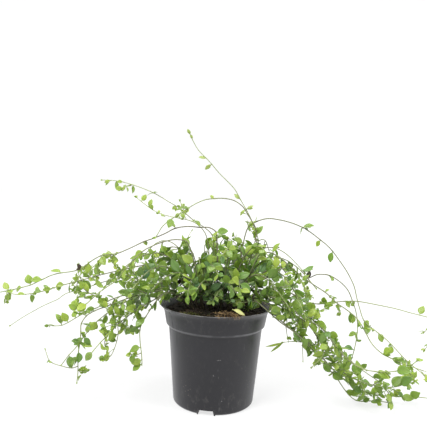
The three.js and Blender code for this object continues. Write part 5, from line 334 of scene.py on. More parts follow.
        (0, 20, -253.9, 31.4, 114.9, 5, 11.9), (0, 13, -168.8, 8.7, 144.2, -42, 4.8),
        (0, 17, -211.5, 11.3, 123.9, -135, 6.2), (2, 2, -218.6, 25.4, 143.9, -29, 7.3),
        (0, 9, -136.5, 8.1, 159.2, -53, 7.3), (1, 2, -205.3, 15.8, 150.4, -5, 12.6),
        (0, 6, -101.3, 20.6, 175, 8, 8.6),
    ]),
    ('runner_left_drop_b', [
        [(-40.9, 7.3, 137), (-46.8, 2.7, 146.4), (-52.7, -1.9, 155.7), (-57.6, -5.7, 162.2), (-63.2, -10.7, 167.3),
         (-71.1, -17.9, 170), (-81.2, -22.6, 169.6), (-92.3, -24.8, 167.8), (-104, -26.1, 165.1),
         (-115.6, -27.4, 162), (-127.7, -29.1, 158.3), (-140.9, -31.1, 153.3), (-153.6, -33, 148.1),
         (-163.8, -34.6, 144.2), (-176.8, -36.6, 138.8), (-182.9, -37.6, 135.4), (-188.1, -38.5, 131.5),
         (-194.7, -40.5, 120.3), (-194.8, -42.1, 108.8), (-194.9, -44.1, 95.1), (-196.3, -46, 81.6),
         (-196.4, -47.8, 69.3), (-195.8, -49, 60.9), (-195.5, -49.9, 55), (-195.6, -51.1, 46.1),
         (-195.9, -52, 40.2)],
        [(-195.8, -49, 60.9), (-204.4, -47.6, 57.3), (-222, -44.5, 58.8), (-239, -41.2, 63.9), (-246.4, -38, 78.2)],
        [(-140.9, -31.1, 153.3), (-143.8, -33, 143.9), (-141.5, -34.7, 131.5), (-136.5, -35.4, 122.8),
         (-130.3, -35.6, 115.4)],
        [(-104, -26.1, 165.1), (-116.5, -24.3, 169.6), (-125.5, -22, 173.9), (-133.9, -18.9, 178.7),
         (-139.1, -16.5, 182.1)],
        [(-195.5, -49.9, 55), (-188.9, -55, 54.3), (-178.6, -61.8, 59.5)],
    ], [
        (0, 3, -72.4, -9.7, 165.3, -45, 10), (0, 20, -194.3, -55.8, 67.3, -39, 9.2),
        (0, 23, -183.1, -40.9, 53.7, 34, 7.8), (0, 24, -196.4, -39.7, 38.7, 108, 8.2),
        (0, 4, -64.3, -13.9, 182.4, 116, 8.8), (0, 4, -60, -23.2, 170.8, 148, 7.5),
        (0, 5, -78.9, -20.7, 153.7, -11, 10.2), (0, 5, -74.9, -22, 188, 138, 11),
        (0, 6, -87.4, -15.3, 161.1, -57, 7.9), (0, 6, -84.4, -34.9, 156.5, 20, 10.4),
        (0, 7, -105, -13.9, 167.9, -39, 8.9), (0, 7, -93.6, -45.9, 169, 46, 12.3),
        (0, 8, -109.3, -30.4, 153, -25, 8.7), (0, 8, -107.4, -12.4, 163.3, -74, 8.4),
        (0, 9, -126.3, -28.1, 171.4, 172, 8.1), (0, 9, -126.5, -45.5, 163.2, 44, 11.7),
        (0, 10, -136.5, -22.4, 169.1, -84, 9.6), (0, 10, -124.6, -32.5, 143.3, 67, 9.7),
        (0, 11, -140.8, -27.7, 144, -121, 5.1), (0, 11, -143.5, -45.1, 153.3, 162, 8),
        (0, 12, -165.3, -33.6, 154.1, -171, 8), (0, 12, -151.6, -36.2, 134.4, 59, 8.1),
        (0, 13, -171.7, -25.8, 144.1, -125, 6.6), (0, 13, -168.1, -46, 149.1, 29, 7),
        (0, 14, -186.7, -41.7, 142.2, 23, 7.4), (0, 16, -195.9, -38.2, 138, -141, 6.4),
        (0, 17, -179.8, -43.6, 115.8, -17, 9.7), (0, 18, -188.1, -36.3, 99.7, -126, 7.4),
        (0, 18, -187.1, -49.5, 108.5, 7, 5.4), (0, 19, -186.5, -46.9, 90.5, 109, 5.1),
        (0, 19, -194.1, -54.3, 86.4, 99, 7.3), (0, 21, -204.1, -38.6, 65.1, -51, 6.8),
        (0, 21, -199.3, -57.5, 63.5, 76, 6.4), (1, 1, -212.4, -43.3, 69.1, -106, 9.3),
        (1, 1, -207.5, -32.6, 62.4, -45, 9.5), (1, 3, -245.4, -34.4, 59.3, -47, 5.4),
        (2, 4, -127.1, -39.6, 110.1, 1, 4.7), (2, 4, -123.4, -34.8, 113.1, 18, 3.7),
        (2, 1, -143.4, -48, 144.5, 80, 8.8), (2, 1, -134.1, -30.3, 132.2, 55, 9.3),
        (2, 2, -148.2, -47, 128.9, 55, 7.5), (2, 2, -139.5, -43.5, 129.3, 60, 5.5),
        (2, 3, -126.7, -42.7, 119.3, -19, 7.3), (2, 3, -136.1, -33.8, 111.3, -166, 7.3),
        (3, 4, -143, -9.8, 186.4, -88, 5), (3, 4, -146.1, -14.4, 185.8, 51, 5.2),
        (3, 1, -121.6, -23.6, 182.1, -157, 7.6), (3, 1, -118.1, -16.5, 177, -67, 6),
        (3, 2, -136.5, -14, 173.9, -87, 7.3), (3, 2, -132, -28, 182.6, 27, 7.8),
        (3, 3, -139.7, -25, 178.6, 121, 5.2), (3, 3, -144, -19.3, 177.4, 25, 5.4),
        (4, 2, -175.5, -69.7, 64.1, 51, 6.1), (4, 2, -175, -67.7, 61.2, 55, 3.8),
        (4, 1, -187.2, -63.1, 60.5, 99, 5.3), (4, 1, -180, -54.6, 57.6, 95, 5.4),
        (2, 4, -133.7, -42.2, 118.4, -64, 5.1), (0, 23, -182.6, -51.8, 64.1, 150, 8.2),
        (0, 2, -60.2, 2.2, 151.8, -27, 4.8), (0, 23, -194.8, -39.9, 50, 14, 5.7),
        (4, 1, -187.7, -62.8, 55, -17, 5.1), (1, 3, -235.5, -50.5, 64.4, -13, 5.3),
        (0, 15, -191.1, -28.9, 134.6, -26, 6.6), (2, 3, -140.9, -29.3, 103.2, 142, 12.4),
        (0, 21, -203.4, -48.4, 73.3, -69, 4.6), (0, 19, -205.3, -52.3, 98.1, -41, 7.5),
        (3, 2, -127.2, -29.8, 173.3, -37, 4.6), (0, 7, -93.4, -22, 175.2, -27, 4.7),
    ]),
    ('runner_left_drop_c', [
        [(-38.4, 0.5, 137), (-47.8, -6.3, 147.7), (-57.2, -13.4, 158.2), (-66.7, -22.8, 166.6),
         (-74.9, -32.8, 169), (-85.5, -39, 162.2), (-95.3, -43.1, 156.4), (-105.8, -47.7, 151.1),
         (-116.1, -52.5, 144.6), (-125.9, -57.4, 137.3), (-133.6, -61.5, 131.1), (-137.8, -63.8, 127.3),
         (-143.3, -67.3, 121.1), (-152.7, -73.1, 111), (-158.5, -76.6, 105.1), (-167.2, -82.6, 94.4),
         (-170.4, -85, 90)],
        [(-137.8, -63.8, 127.3), (-136.7, -63.6, 114.3), (-138.2, -64.7, 104.3), (-141.1, -66.3, 93.6),
         (-145.3, -68.1, 84.4), (-153.1, -69.9, 78.8)],
        [(-133.6, -61.5, 131.1), (-140.9, -64.2, 128.7), (-153.2, -67.9, 124.7)],
        [(-105.8, -47.7, 151.1), (-114.8, -46.1, 147), (-123.7, -41.4, 141.2), (-128.5, -36.9, 137)],
        [(-95.3, -43.1, 156.4), (-104.3, -42.3, 150.3), (-112.8, -38.7, 141.2), (-118.1, -33.7, 132.3)],
        [(-152.7, -73.1, 111), (-152.6, -75.3, 101.4), (-149.7, -75.4, 95.1)],
        [(-125.9, -57.4, 137.3), (-134.7, -59.5, 139.2), (-143.4, -60.7, 142.5), (-154.8, -61, 149.2)],
        [(-143.3, -67.3, 121.1), (-149.7, -64.6, 116), (-154.5, -58.9, 111.4)],
    ], [
        (0, 8, -128.1, -65.7, 148.9, -41, 10.2), (0, 12, -146.8, -78.8, 108.4, -76, 10.2),
        (0, 13, -153.5, -62.2, 99.1, 77, 8.6), (0, 15, -176.3, -85.4, 82, -45, 9.4),
        (1, 3, -150, -56.6, 84.9, -21, 9), (1, 4, -156.9, -62.9, 76.2, -71, 8.8),
        (0, 3, -77, -34.9, 157.8, 54, 9.7), (0, 3, -68, -39.7, 156.3, 78, 10.5),
        (0, 4, -73.1, -47.6, 179.4, -1, 10.3), (0, 4, -89.8, -37.2, 158.6, -28, 11.4),
        (0, 5, -94.2, -52.6, 169.6, 53, 9.4), (0, 6, -103, -30.6, 142.7, -37, 12.3),
        (0, 6, -104, -42.5, 168.7, -175, 9.3), (0, 7, -117.8, -34.4, 152.1, -68, 11.4),
        (0, 7, -111, -69, 145.4, 73, 11.4), (0, 9, -128.7, -71.5, 146.1, 126, 8.6),
        (0, 9, -124.2, -60.2, 123.8, 159, 8.9), (0, 10, -144.4, -49.5, 124.5, -34, 11.1),
        (0, 10, -146.2, -68.4, 141.1, 175, 10.1), (0, 14, -150.4, -82.2, 96.5, 105, 6.6),
        (1, 5, -163.4, -70.9, 81.4, 14, 6.6), (1, 5, -158.2, -75.6, 78.4, -11, 4),
        (1, 1, -151.1, -63.3, 104.1, -40, 9.5), (1, 2, -150, -60.5, 104.7, -54, 7.4),
        (2, 2, -159.9, -72, 120.7, 60, 4.5), (2, 2, -162.2, -65.4, 127.3, -51, 5.5),
        (2, 1, -152.4, -60.3, 128.2, -5, 6.6), (2, 1, -142.5, -75.8, 124.7, 67, 7.2),
        (3, 3, -130.9, -26.3, 130.8, -14, 6.4), (3, 3, -133.4, -30.3, 137.6, 174, 4.9),
        (3, 1, -112.7, -49.5, 135.6, 140, 7.6), (3, 1, -124.9, -52.3, 151.2, -59, 6.9),
        (3, 2, -132.5, -31.8, 145.9, -100, 7.1), (3, 2, -128.4, -46.9, 130.3, 42, 7.2),
        (4, 3, -121.3, -25.1, 130.6, -37, 4.8), (4, 3, -121.9, -34.5, 124.6, -3, 4.9),
        (4, 1, -106.5, -51.6, 144, 17, 5.7), (4, 1, -109.6, -31, 141.5, -46, 8.1),
        (4, 2, -106.5, -32.3, 128.5, -133, 9.6), (4, 2, -112.2, -42, 127.9, 164, 7.6),
        (5, 2, -146.2, -79.3, 87.3, 83, 5), (5, 2, -146.2, -71.1, 87.4, -154, 5.7),
        (6, 3, -158.8, -59.3, 159.8, -73, 6.9), (6, 3, -164.9, -61.7, 151.5, 16, 5.9),
        (6, 1, -143.1, -58.6, 152.8, -113, 9.3), (6, 1, -138.1, -73.4, 143.6, -175, 7.8),
        (6, 2, -152.2, -51.4, 136.3, -15, 7.1), (6, 2, -150.9, -70.4, 147.4, 73, 7.2),
        (7, 2, -161.5, -49.8, 112.8, -39, 6.9), (7, 2, -156.7, -53.4, 103.6, -85, 5.8),
        (5, 1, -146.5, -78.8, 94.8, 52, 5.4), (2, 2, -155.2, -64.6, 117.7, -130, 4.2),
        (7, 2, -150.3, -55.1, 117, 58, 4.5), (5, 1, -148.7, -80.8, 105.7, 37, 5),
        (0, 12, -145.9, -60.8, 125.4, -2, 5.4), (0, 12, -145.8, -74.7, 122.5, -42, 4.2),
        (0, 13, -155, -78.5, 116.4, -58, 4.1), (5, 1, -145.7, -76.4, 105.3, 23, 4),
        (0, 13, -147.9, -78.9, 107.2, 68, 4.3), (7, 1, -151.6, -67.8, 108.7, 2, 4.4),
        (4, 1, -109.1, -35.9, 149.7, -46, 4.5), (1, 5, -162.2, -62.6, 80.6, -59, 6.8),
        (6, 3, -154.1, -55.6, 142.5, 97, 4.9), (0, 6, -93.6, -49.9, 160.3, 90, 4.3),
        (7, 1, -164.9, -60.6, 117.5, -41, 8.2),
    ]),
    ('runner_left_drop_d', [
        [(-32.1, -2.5, 137), (-40.6, -10.2, 146.8), (-49.3, -18, 156.4), (-59.5, -28.3, 165.4),
         (-67, -37.2, 169.1), (-75.1, -44.5, 169.1), (-84.9, -47.1, 160.8), (-92.4, -49.6, 150),
         (-100.5, -52.8, 136.4), (-105.8, -55.2, 125.8), (-107.3, -56.6, 119), (-106.7, -59, 107.1),
         (-104.8, -61.5, 95.3), (-103.4, -63, 88), (-102.2, -64.8, 79.2), (-101.8, -65.9, 73.8)],
        [(-105.8, -55.2, 125.8), (-115.4, -54.7, 122.8), (-122.2, -54.1, 120.3), (-130, -52.8, 118.4)],
        [(-103.4, -63, 88), (-110.5, -69, 86.8), (-116.1, -72.1, 88.9)],
    ], [
        (0, 8, -112.7, -62.3, 124.6, -16, 9.8), (0, 12, -120.9, -58.8, 88.3, -47, 10.2),
        (0, 14, -115.2, -67.4, 72.9, -75, 9.2), (0, 14, -116.4, -70.7, 75.4, -75, 9.2),
        (0, 15, -114.3, -68, 64, -34, 9.6), (0, 3, -53.4, -39.7, 168.9, 32, 8.4),
        (0, 3, -55.6, -30.1, 181.8, 26, 9.5), (0, 4, -70.3, -38.2, 184.9, -157, 8.8),
        (0, 4, -71.8, -50.6, 160.4, 4, 8.7), (0, 5, -80.5, -54.3, 154.9, 37, 10.2),
        (0, 5, -71.7, -60.3, 175.6, 48, 8.9), (0, 6, -85, -58, 149.7, 91, 8.1), (0, 6, -87.8, -44, 143, -171, 9.6),
        (0, 7, -96.9, -39.4, 142.7, -25, 6.9), (0, 10, -121.7, -64.2, 118.6, 48, 10.3),
        (0, 10, -114.7, -51.9, 112.2, -96, 5.6), (1, 3, -135.4, -54.5, 115.5, -2, 3.5),
        (1, 3, -139.6, -53.7, 121.9, 16, 6.5), (1, 1, -124, -45.3, 118.5, 52, 7.6),
        (2, 2, -119.3, -76.1, 92.5, -51, 3.6), (2, 2, -123.2, -77.4, 88.2, -61, 5.1),
        (2, 2, -114.7, -72.2, 76.3, 60, 7.7), (2, 1, -113.7, -79, 88.8, -46, 6),
        (1, 3, -130.3, -48, 112.1, 60, 4.6), (0, 9, -112.2, -48.5, 119.9, -20, 6.5),
        (0, 7, -87.7, -57.8, 154.2, 60, 6.4), (2, 1, -111.2, -61.5, 82.1, 172, 5.4),
        (2, 1, -109.2, -72.6, 93.8, 156, 4.6), (0, 7, -95.8, -53.6, 156, -65, 4.1),
        (0, 9, -111.9, -58.5, 121.6, -45, 4.1), (0, 6, -81.5, -42, 155.6, 38, 4.2),
        (0, 2, -59.4, -25.7, 157.9, -48, 7), (1, 2, -115.9, -56.6, 110.8, 24, 6.5),
        (0, 8, -106.4, -43.6, 133.4, 5, 6.9),
    ]),
    ('runner_right_arch', [
        [(7.9, 24.9, 137), (14.4, 23.2, 151.4), (21, 21.5, 165.8), (26.9, 19.9, 180.4), (31.9, 18.4, 198),
         (34.2, 17.5, 209.8), (36, 16.8, 221.6), (38.6, 15.7, 239.4), (40.9, 15.2, 252.3), (45.2, 15.4, 264.5),
         (57.1, 18.1, 273.5), (75.5, 20.7, 279), (94.7, 23.4, 277.4), (113.5, 25.9, 273.2), (131.6, 28.5, 266.5),
         (139.5, 29.7, 262.3), (150.8, 31.4, 255.1), (161.6, 33.2, 247.2), (172.4, 34.9, 239.3),
         (182, 36.7, 230.1), (193.2, 38.9, 216.5), (204.1, 41.2, 202.7), (213.8, 43.4, 188), (221.6, 43.5, 172.3),
         (225, 38.7, 155.6), (229.3, 33.8, 139.1), (234.7, 28.8, 122.9), (243.7, 24.9, 114.1),
         (248.5, 23.2, 110.9), (255.5, 20.6, 105.9), (265.9, 16.6, 98.2), (275.5, 12.6, 89.6), (282.5, 9.5, 82.4),
         (289.4, 6.4, 75.2), (294.8, 4, 70), (307.6, -1.2, 59.9), (320.9, -6.5, 50.6), (330.9, -10.6, 43),
         (340.8, -14.8, 35.3)],
        [(36, 16.8, 221.6), (34.1, 17.5, 230.6), (30, 19.2, 240.7), (24.3, 21.4, 249.4)],
        [(294.8, 4, 70), (298.5, -0.6, 59.8), (299.1, -4.9, 47.6), (295.6, -8.9, 33)],
    ], [
        (0, 4, 35, 9.5, 217.4, 175, 12.7), (0, 7, 23.4, 10.3, 246.4, -55, 8.9),
        (0, 14, 146.3, 36.3, 268.2, 12, 10.4), (0, 14, 129.6, 35.3, 254.7, -90, 7.1),
        (0, 17, 156.4, 38.6, 236.1, -81, 7.1), (0, 19, 179.1, 37.4, 211.7, 153, 10.6),
        (0, 26, 244.2, 36.6, 112.6, 116, 9.3), (0, 26, 241.5, 28.3, 109.7, 62, 9),
        (0, 29, 262, 17.4, 91.7, 40, 9.4), (0, 31, 272.1, 14.5, 74.5, -90, 8), (0, 38, 349.9, -19, 32.2, -49, 5.5),
        (0, 38, 344.3, -15.6, 27.6, 1, 4.8), (0, 3, 19.9, 15.4, 194.8, -16, 10),
        (0, 3, 24.2, 8.7, 183.9, -16, 7.6), (0, 9, 42.6, 10.4, 274.8, -50, 6.2),
        (0, 9, 53.5, 28.8, 265.5, 36, 9.2), (0, 34, 289.2, 0.4, 62.1, -22, 5.6), (0, 34, 302, 8.5, 61.1, -4, 6.3),
        (1, 3, 22.8, 25.3, 255.9, 69, 4.1), (1, 3, 20.7, 18.6, 255.7, -20, 4.3),
        (1, 1, 39.6, 21.1, 239.6, -76, 6.6), (1, 1, 22.5, 16.6, 235.7, -2, 8.1),
        (1, 2, 28.8, 26.3, 248.1, 99, 5.5), (1, 2, 19.8, 18.1, 245.9, 33, 6.2), (2, 3, 295.1, -8.6, 27.7, 135, 3),
        (2, 3, 296.1, -13.6, 29, 31, 3.8), (2, 1, 300.5, -10.6, 57.6, -35, 6.3), (2, 1, 305.9, 2.2, 50, 3, 6.3),
        (2, 2, 290.1, -10.6, 48.8, -12, 6.4), (2, 2, 306.3, -8.8, 41.5, -40, 6.1),
        (0, 27, 236.1, 18, 103.5, -4, 9.3), (0, 33, 291.1, 11.6, 62.9, -167, 8),
        (0, 31, 271.7, 19.2, 85.6, -52, 4.8), (2, 3, 304.1, 2.2, 30.2, 52, 8.2),
        (0, 27, 241.3, 18, 117.2, 27, 4.4), (0, 27, 248.5, 25.9, 107.6, 44, 4.9), (1, 3, 23, 6.3, 257.7, 78, 10.2),
        (0, 9, 47.8, 11.2, 258.2, 3, 5.1), (0, 14, 148.8, 24.6, 270.2, 38, 9.6),
        (0, 10, 51.2, 25.8, 271, -53, 5.8), (0, 28, 251.3, 28.5, 105.6, 133, 4.3),
        (2, 2, 284, -2.6, 41.9, -26, 8.3), (0, 36, 322.3, -10.5, 43.8, 13, 4.2),
        (0, 15, 137.7, 36.6, 265.9, -18, 4.6), (0, 10, 57.2, 9, 283, 71, 8.1), (0, 7, 41.5, 8.3, 240.3, -19, 4.5),
    ]),
    ('runner_right_a', [
        [(30.4, 9.7, 137), (35, 6.9, 151.9), (39.7, 4, 166.7), (44.7, 1.4, 181.5), (48.7, -0.2, 192.4),
         (52.9, -1.6, 204.4), (58, -3, 217.1), (65.2, -4.8, 228.1), (80.6, -8.5, 229), (88.3, -10.4, 224.9),
         (97.8, -12.9, 219), (106.2, -15.5, 212.3), (117.2, -18.9, 203.2), (128.9, -22.4, 194.7),
         (143.2, -26.5, 185.7), (157.9, -30.6, 177.2), (164.7, -32.8, 171.8), (175.6, -36.5, 162.3),
         (184.3, -39, 157), (192.8, -41, 151.3), (198.4, -42.1, 147), (206, -43.8, 139.1), (212, -45.5, 129.7),
         (215.1, -46.5, 124.2), (225, -49.5, 107.8), (239.5, -52.5, 95.4), (250.3, -54.4, 90.7),
         (256.5, -55.5, 87.8), (270.4, -57.8, 83), (282.9, -59.9, 79.9), (295.3, -62, 76.5)],
    ], [
        (0, 5, 58.9, 0.7, 220.9, 54, 10.3), (0, 8, 91.7, -10.5, 244.6, 28, 11.2),
        (0, 9, 86.1, -15.5, 207.2, -16, 9.5), (0, 16, 176.6, -22, 166.4, 9, 9.5),
        (0, 17, 180.8, -30.9, 148.8, -151, 9.9), (0, 19, 195.6, -37.2, 134.4, 127, 8.8),
        (0, 25, 247.1, -63.8, 107.7, 73, 9.2), (0, 26, 266.1, -52.9, 80.4, 59, 9.7),
        (0, 3, 34.5, 5.6, 199.5, 21, 12.4), (0, 3, 63.2, 2.8, 186.6, 71, 10.6), (0, 4, 62.3, -3, 200.9, -161, 9.7),
        (0, 4, 39.9, -7.8, 205.3, 3, 9.6), (0, 6, 72.6, -13.8, 220.3, 24, 11.3), (0, 6, 64.8, 3.8, 226.1, 53, 6.9),
        (0, 7, 70.2, -18.9, 230, -47, 7.8), (0, 7, 62.4, -11.8, 238.3, 38, 7.7),
        (0, 10, 96.5, -19.7, 208.9, -25, 7.8), (0, 10, 96.4, -1.3, 207.1, 71, 9.7),
        (0, 11, 108.2, -28.3, 214.1, -39, 6.6), (0, 11, 108.6, -2.1, 206.1, 42, 9.3),
        (0, 12, 113.4, -20.2, 189.9, -112, 7.8), (0, 12, 122.3, -16.5, 189.2, 54, 8.2),
        (0, 13, 127.5, -33.4, 192.7, -65, 7.2), (0, 13, 135.5, -24.4, 201.3, 26, 4.9),
        (0, 20, 196.8, -40.7, 134.9, 61, 7.2), (0, 21, 202.8, -54.9, 137.3, -65, 7.3),
        (0, 21, 205.4, -39.7, 129.5, 73, 5.5), (0, 22, 228.2, -45.8, 128.4, -17, 8.4),
        (0, 22, 216, -57.4, 131.4, -51, 7.5), (0, 27, 266.9, -54.6, 92.3, 4, 5.8),
        (0, 27, 258.8, -67.8, 92, -9, 6.8), (0, 28, 277.7, -69.3, 80.2, -54, 8.4),
        (0, 28, 280.3, -51.8, 85.5, -43, 7.2), (0, 15, 164.5, -28.9, 181.4, 19, 4.6),
        (0, 22, 206.9, -51.6, 130.3, 0, 5), (0, 17, 173, -28.9, 163, -8, 4.3),
        (0, 25, 248.8, -58.7, 96.3, 48, 6.1), (0, 16, 168.5, -26.9, 167.5, -169, 4.6),
        (0, 23, 220.3, -42.1, 120, 30, 4.3),
    ]),
    ('runner_right_b', [
        [(34.6, 22, 137), (42.6, 21.1, 149.3), (50.7, 20.3, 161.4), (60.5, 20.5, 172.3), (74.4, 22.4, 184.4),
         (81.9, 23.7, 190.2), (89.5, 25.2, 195.2), (100, 27.1, 200.1), (116.3, 30, 199.5), (122.4, 31, 196.7),
         (128.4, 32.1, 193.1), (142.8, 34.7, 185.3), (159.3, 37.7, 191.5), (177.4, 40.5, 191.1),
         (185.6, 41.9, 187.9), (200.7, 44.7, 178.2), (213.1, 47.2, 165.3), (220.7, 47.1, 148.7),
         (226.2, 46, 133.8), (229.3, 44.9, 118.2), (229.9, 43.6, 98.6), (228.5, 42.8, 85.2), (225.7, 41.8, 70.4),
         (222.9, 41, 58.8), (220.7, 40.5, 51.6), (218.2, 40, 44.6)],
        [(222.9, 41, 58.8), (216.6, 42.3, 53.9), (206.2, 45.2, 48.5), (198.8, 47.7, 46.2)],
    ], [
        (0, 5, 99.2, 31.9, 181.1, 82, 12.6), (0, 7, 120, 36, 196.9, 26, 13.6),
        (0, 13, 186.3, 44.7, 180.1, 43, 7.5), (0, 20, 217.2, 47.9, 91, -46, 7.8),
        (0, 20, 233.4, 50.9, 80.9, -115, 12), (0, 22, 208.6, 38.7, 74.9, -21, 9.5),
        (0, 24, 205.7, 40.9, 37.9, -45, 10.7), (0, 24, 214.7, 50.6, 38.2, -90, 9.4),
        (0, 3, 68.5, 9.4, 182.8, -75, 8.8), (0, 3, 73.9, 24.1, 169, -38, 8.5), (0, 4, 89.3, 27.8, 178.1, -6, 9),
        (0, 4, 83.5, 34.1, 189.5, 22, 9.9), (0, 6, 97, 11.4, 194.5, -40, 8.5), (0, 6, 87.2, 39.2, 202.8, 138, 8.5),
        (0, 8, 122.2, 19.9, 197.1, -91, 6.3), (0, 8, 122.1, 39.1, 197.5, 40, 5.6),
        (0, 10, 131.1, 17.3, 188.7, -76, 9.4), (0, 10, 129.7, 44.5, 190.8, 61, 7.2),
        (0, 11, 147.1, 33.5, 198.1, 109, 7), (0, 11, 143.7, 46.2, 180.8, -32, 7.9),
        (0, 17, 211.5, 43.2, 142.4, 70, 6.1), (0, 17, 225.3, 56.8, 138.3, -61, 8.1),
        (0, 19, 232.3, 35.2, 108, -47, 8.9), (1, 3, 191.1, 52.7, 45, 26, 5.3), (1, 3, 189.5, 45.3, 44.5, 9, 5.9),
        (1, 1, 208.1, 50.3, 54.4, 22, 5.9), (1, 1, 206.9, 36.2, 49.6, -13, 6.6), (1, 2, 197, 47.4, 57.2, -14, 7.5),
        (1, 2, 201.9, 41.3, 36.6, -155, 8), (0, 14, 180.4, 31.9, 184.1, -63, 7.3),
        (0, 21, 235.5, 37.1, 89.1, 136, 6.2), (0, 7, 97.1, 38.8, 192, 128, 8.4), (0, 9, 121, 35.8, 189, -153, 5.5),
        (0, 24, 224.9, 48.2, 49.2, 125, 4.8),
    ]),
    ('runner_right_c', [
        [(41.2, 19.7, 137), (47.7, 17.4, 146.9), (54.1, 15.2, 156.8), (64.9, 13.4, 166), (78.7, 13.2, 169.7),
         (91.1, 13.8, 170.4), (103.5, 14.8, 169.5), (121, 18.5, 161.5), (131.5, 21.6, 154.6), (139.6, 23.5, 151.1),
         (150.7, 26.1, 147.6), (162.1, 28.7, 146.3), (171.1, 30.7, 146.8), (182.2, 33.2, 148.2),
         (191.5, 35.3, 149.1), (206.2, 38.5, 150), (225.5, 42.7, 149.8), (244.5, 46.8, 146.9),
         (263.4, 50.9, 143.2), (282.3, 54.9, 139.4), (301.2, 58.9, 135.1), (319.8, 62.8, 129.9),
         (338.5, 66.8, 125.3), (348.5, 68.8, 122.8), (358.5, 70.9, 120.2), (367, 72.7, 117.9),
         (377.8, 74.9, 114.9)],
        [(121, 18.5, 161.5), (129.2, 20.5, 160.4), (145.7, 24.2, 159.4)],
        [(131.5, 21.6, 154.6), (138.6, 16.7, 162.8), (139.7, 9.2, 172.8)],
        [(358.5, 70.9, 120.2), (358.9, 72.1, 107.2), (350.6, 71.3, 96.5)],
        [(367, 72.7, 117.9), (370.6, 72.8, 108.6), (368.1, 71.1, 91), (358, 68.1, 76.4), (350.8, 66.1, 69.3)],
        [(191.5, 35.3, 149.1), (197.1, 37.2, 141), (196.6, 37.6, 131.5)],
        [(54.1, 15.2, 156.8), (60.9, 6.4, 154.9), (65.6, -1, 149.2)],
    ], [
        (0, 9, 148.7, 36.8, 138.2, 17, 10.5), (0, 22, 347, 72.5, 139.7, 31, 9.7),
        (0, 26, 389.2, 78.8, 117.8, 28, 6.9), (0, 26, 384.6, 74.5, 109.4, 10, 4.4),
        (0, 4, 80.7, 10.7, 187.9, 11, 9.3), (0, 4, 87.4, 18.5, 180.7, -24, 7.7),
        (0, 6, 113.2, 1.9, 163.9, -66, 10.2), (0, 6, 110.7, 32, 178.3, 24, 11.9),
        (0, 7, 115.4, 15.8, 148, -3, 8.5), (0, 7, 129.6, 14.1, 144.7, -49, 9.8),
        (0, 11, 173.3, 16.5, 150.5, -41, 10.8), (0, 13, 185.9, 24.1, 158.5, -104, 8),
        (0, 13, 184.2, 44.2, 138.8, 42, 7.3), (0, 15, 216.3, 28, 148.4, -39, 7.7),
        (1, 2, 151.9, 27.9, 160.1, -138, 4.1), (1, 2, 154, 29.8, 153.8, 1, 6.6),
        (1, 1, 136.1, 13.3, 160.8, -69, 6.1), (1, 1, 132.1, 29.6, 152.5, -165, 7.1),
        (2, 2, 136.9, 5.8, 178.9, -91, 4.7), (2, 2, 140.2, 3.3, 178, -66, 4.4), (2, 1, 137, 21.2, 175.1, 31, 8.3),
        (2, 1, 145, 3.7, 163, -61, 7.6), (3, 2, 340.7, 73.4, 95.8, 28, 5.4), (3, 2, 342.3, 68.5, 93.8, -125, 5.3),
        (4, 4, 343.4, 66.5, 66.5, -17, 4.1), (4, 4, 345.8, 63.3, 63.2, -173, 4.2),
        (4, 1, 355.1, 78.9, 98.3, 133, 11.8), (4, 3, 352.6, 77, 70.2, -19, 7.4), (4, 3, 352, 60.9, 74, 12, 5.3),
        (5, 2, 198.4, 40, 124.7, 17, 4.3), (5, 2, 194.6, 42.9, 125.6, 82, 4.8), (5, 1, 200.8, 48.3, 140.5, 52, 6),
        (5, 1, 191.4, 28.2, 138.1, -82, 6), (6, 2, 69, -8.4, 146.3, -19, 5.1), (6, 2, 63.2, -7.7, 144.9, -16, 5.2),
        (6, 1, 59.5, -0.3, 162.6, -65, 6.6), (6, 1, 69.7, 5.2, 147.9, -70, 7.1), (0, 12, 170.8, 20, 156, 160, 8.6),
        (0, 6, 103.4, 15, 161.1, 122, 5.2), (5, 2, 202.5, 42.3, 128.5, 74, 4.4),
        (0, 10, 156.7, 30.3, 144.3, 32, 5.2), (0, 12, 169.2, 23.7, 158.9, 167, 8.8),
        (0, 2, 60.2, 22.7, 158.5, 33, 4.9), (0, 12, 179, 27.3, 138, 67, 7), (0, 15, 214.3, 38.1, 139.9, 60, 7),
        (1, 2, 147.4, 19, 153.5, 22, 4.6), (0, 13, 186.9, 26.7, 147.2, 16, 4.8),
        (0, 10, 155.5, 20.8, 138.3, 81, 7.5),
    ]),
    ('runner_floor_a', [
        [(36.1, 3.8, 137), (44.6, -3.2, 149.1), (53.7, -11.2, 160), (63.1, -21, 161.4), (70.7, -28.9, 156.8),
         (79.8, -32.5, 151.9), (85, -31.5, 142.7), (93.9, -30, 134), (102.5, -29.3, 127), (114.4, -28.2, 118.1),
         (123.8, -27.4, 111.5), (131.5, -26.7, 105.7), (136.1, -26.3, 101.9), (142.6, -25.7, 95.9),
         (151.6, -24.8, 86.7), (161.7, -23.8, 76.1), (169.3, -23.1, 68), (179.6, -22.1, 57.4),
         (188.3, -21.5, 49.9), (199.3, -20.2, 41.8), (205.7, -18.5, 37.2), (212.8, -15.9, 32.4),
         (218.6, -13.6, 29), (230.3, -9, 23.3), (240.5, -4.8, 18.9), (252.9, -0.7, 14.9), (265.2, 1.9, 13),
         (276, 3.5, 12.3), (290.8, 5.8, 11.3), (305.6, 8.1, 10.6), (313.7, 9.4, 10), (326.6, 11.3, 8.7),
         (339.3, 13.3, 6.9), (356.2, 15.9, 4)],
        [(102.5, -29.3, 127), (104.8, -35.9, 111.1)],
        [(136.1, -26.3, 101.9), (126.5, -26.6, 100.9), (115.7, -27.8, 101.8), (101, -30.1, 100.7)],
        [(212.8, -15.9, 32.4), (219.8, -6, 36.4), (222.4, 2.9, 41.7)],
        [(53.7, -11.2, 160), (52.3, -19.9, 153.5), (48.8, -21.7, 146.7)],
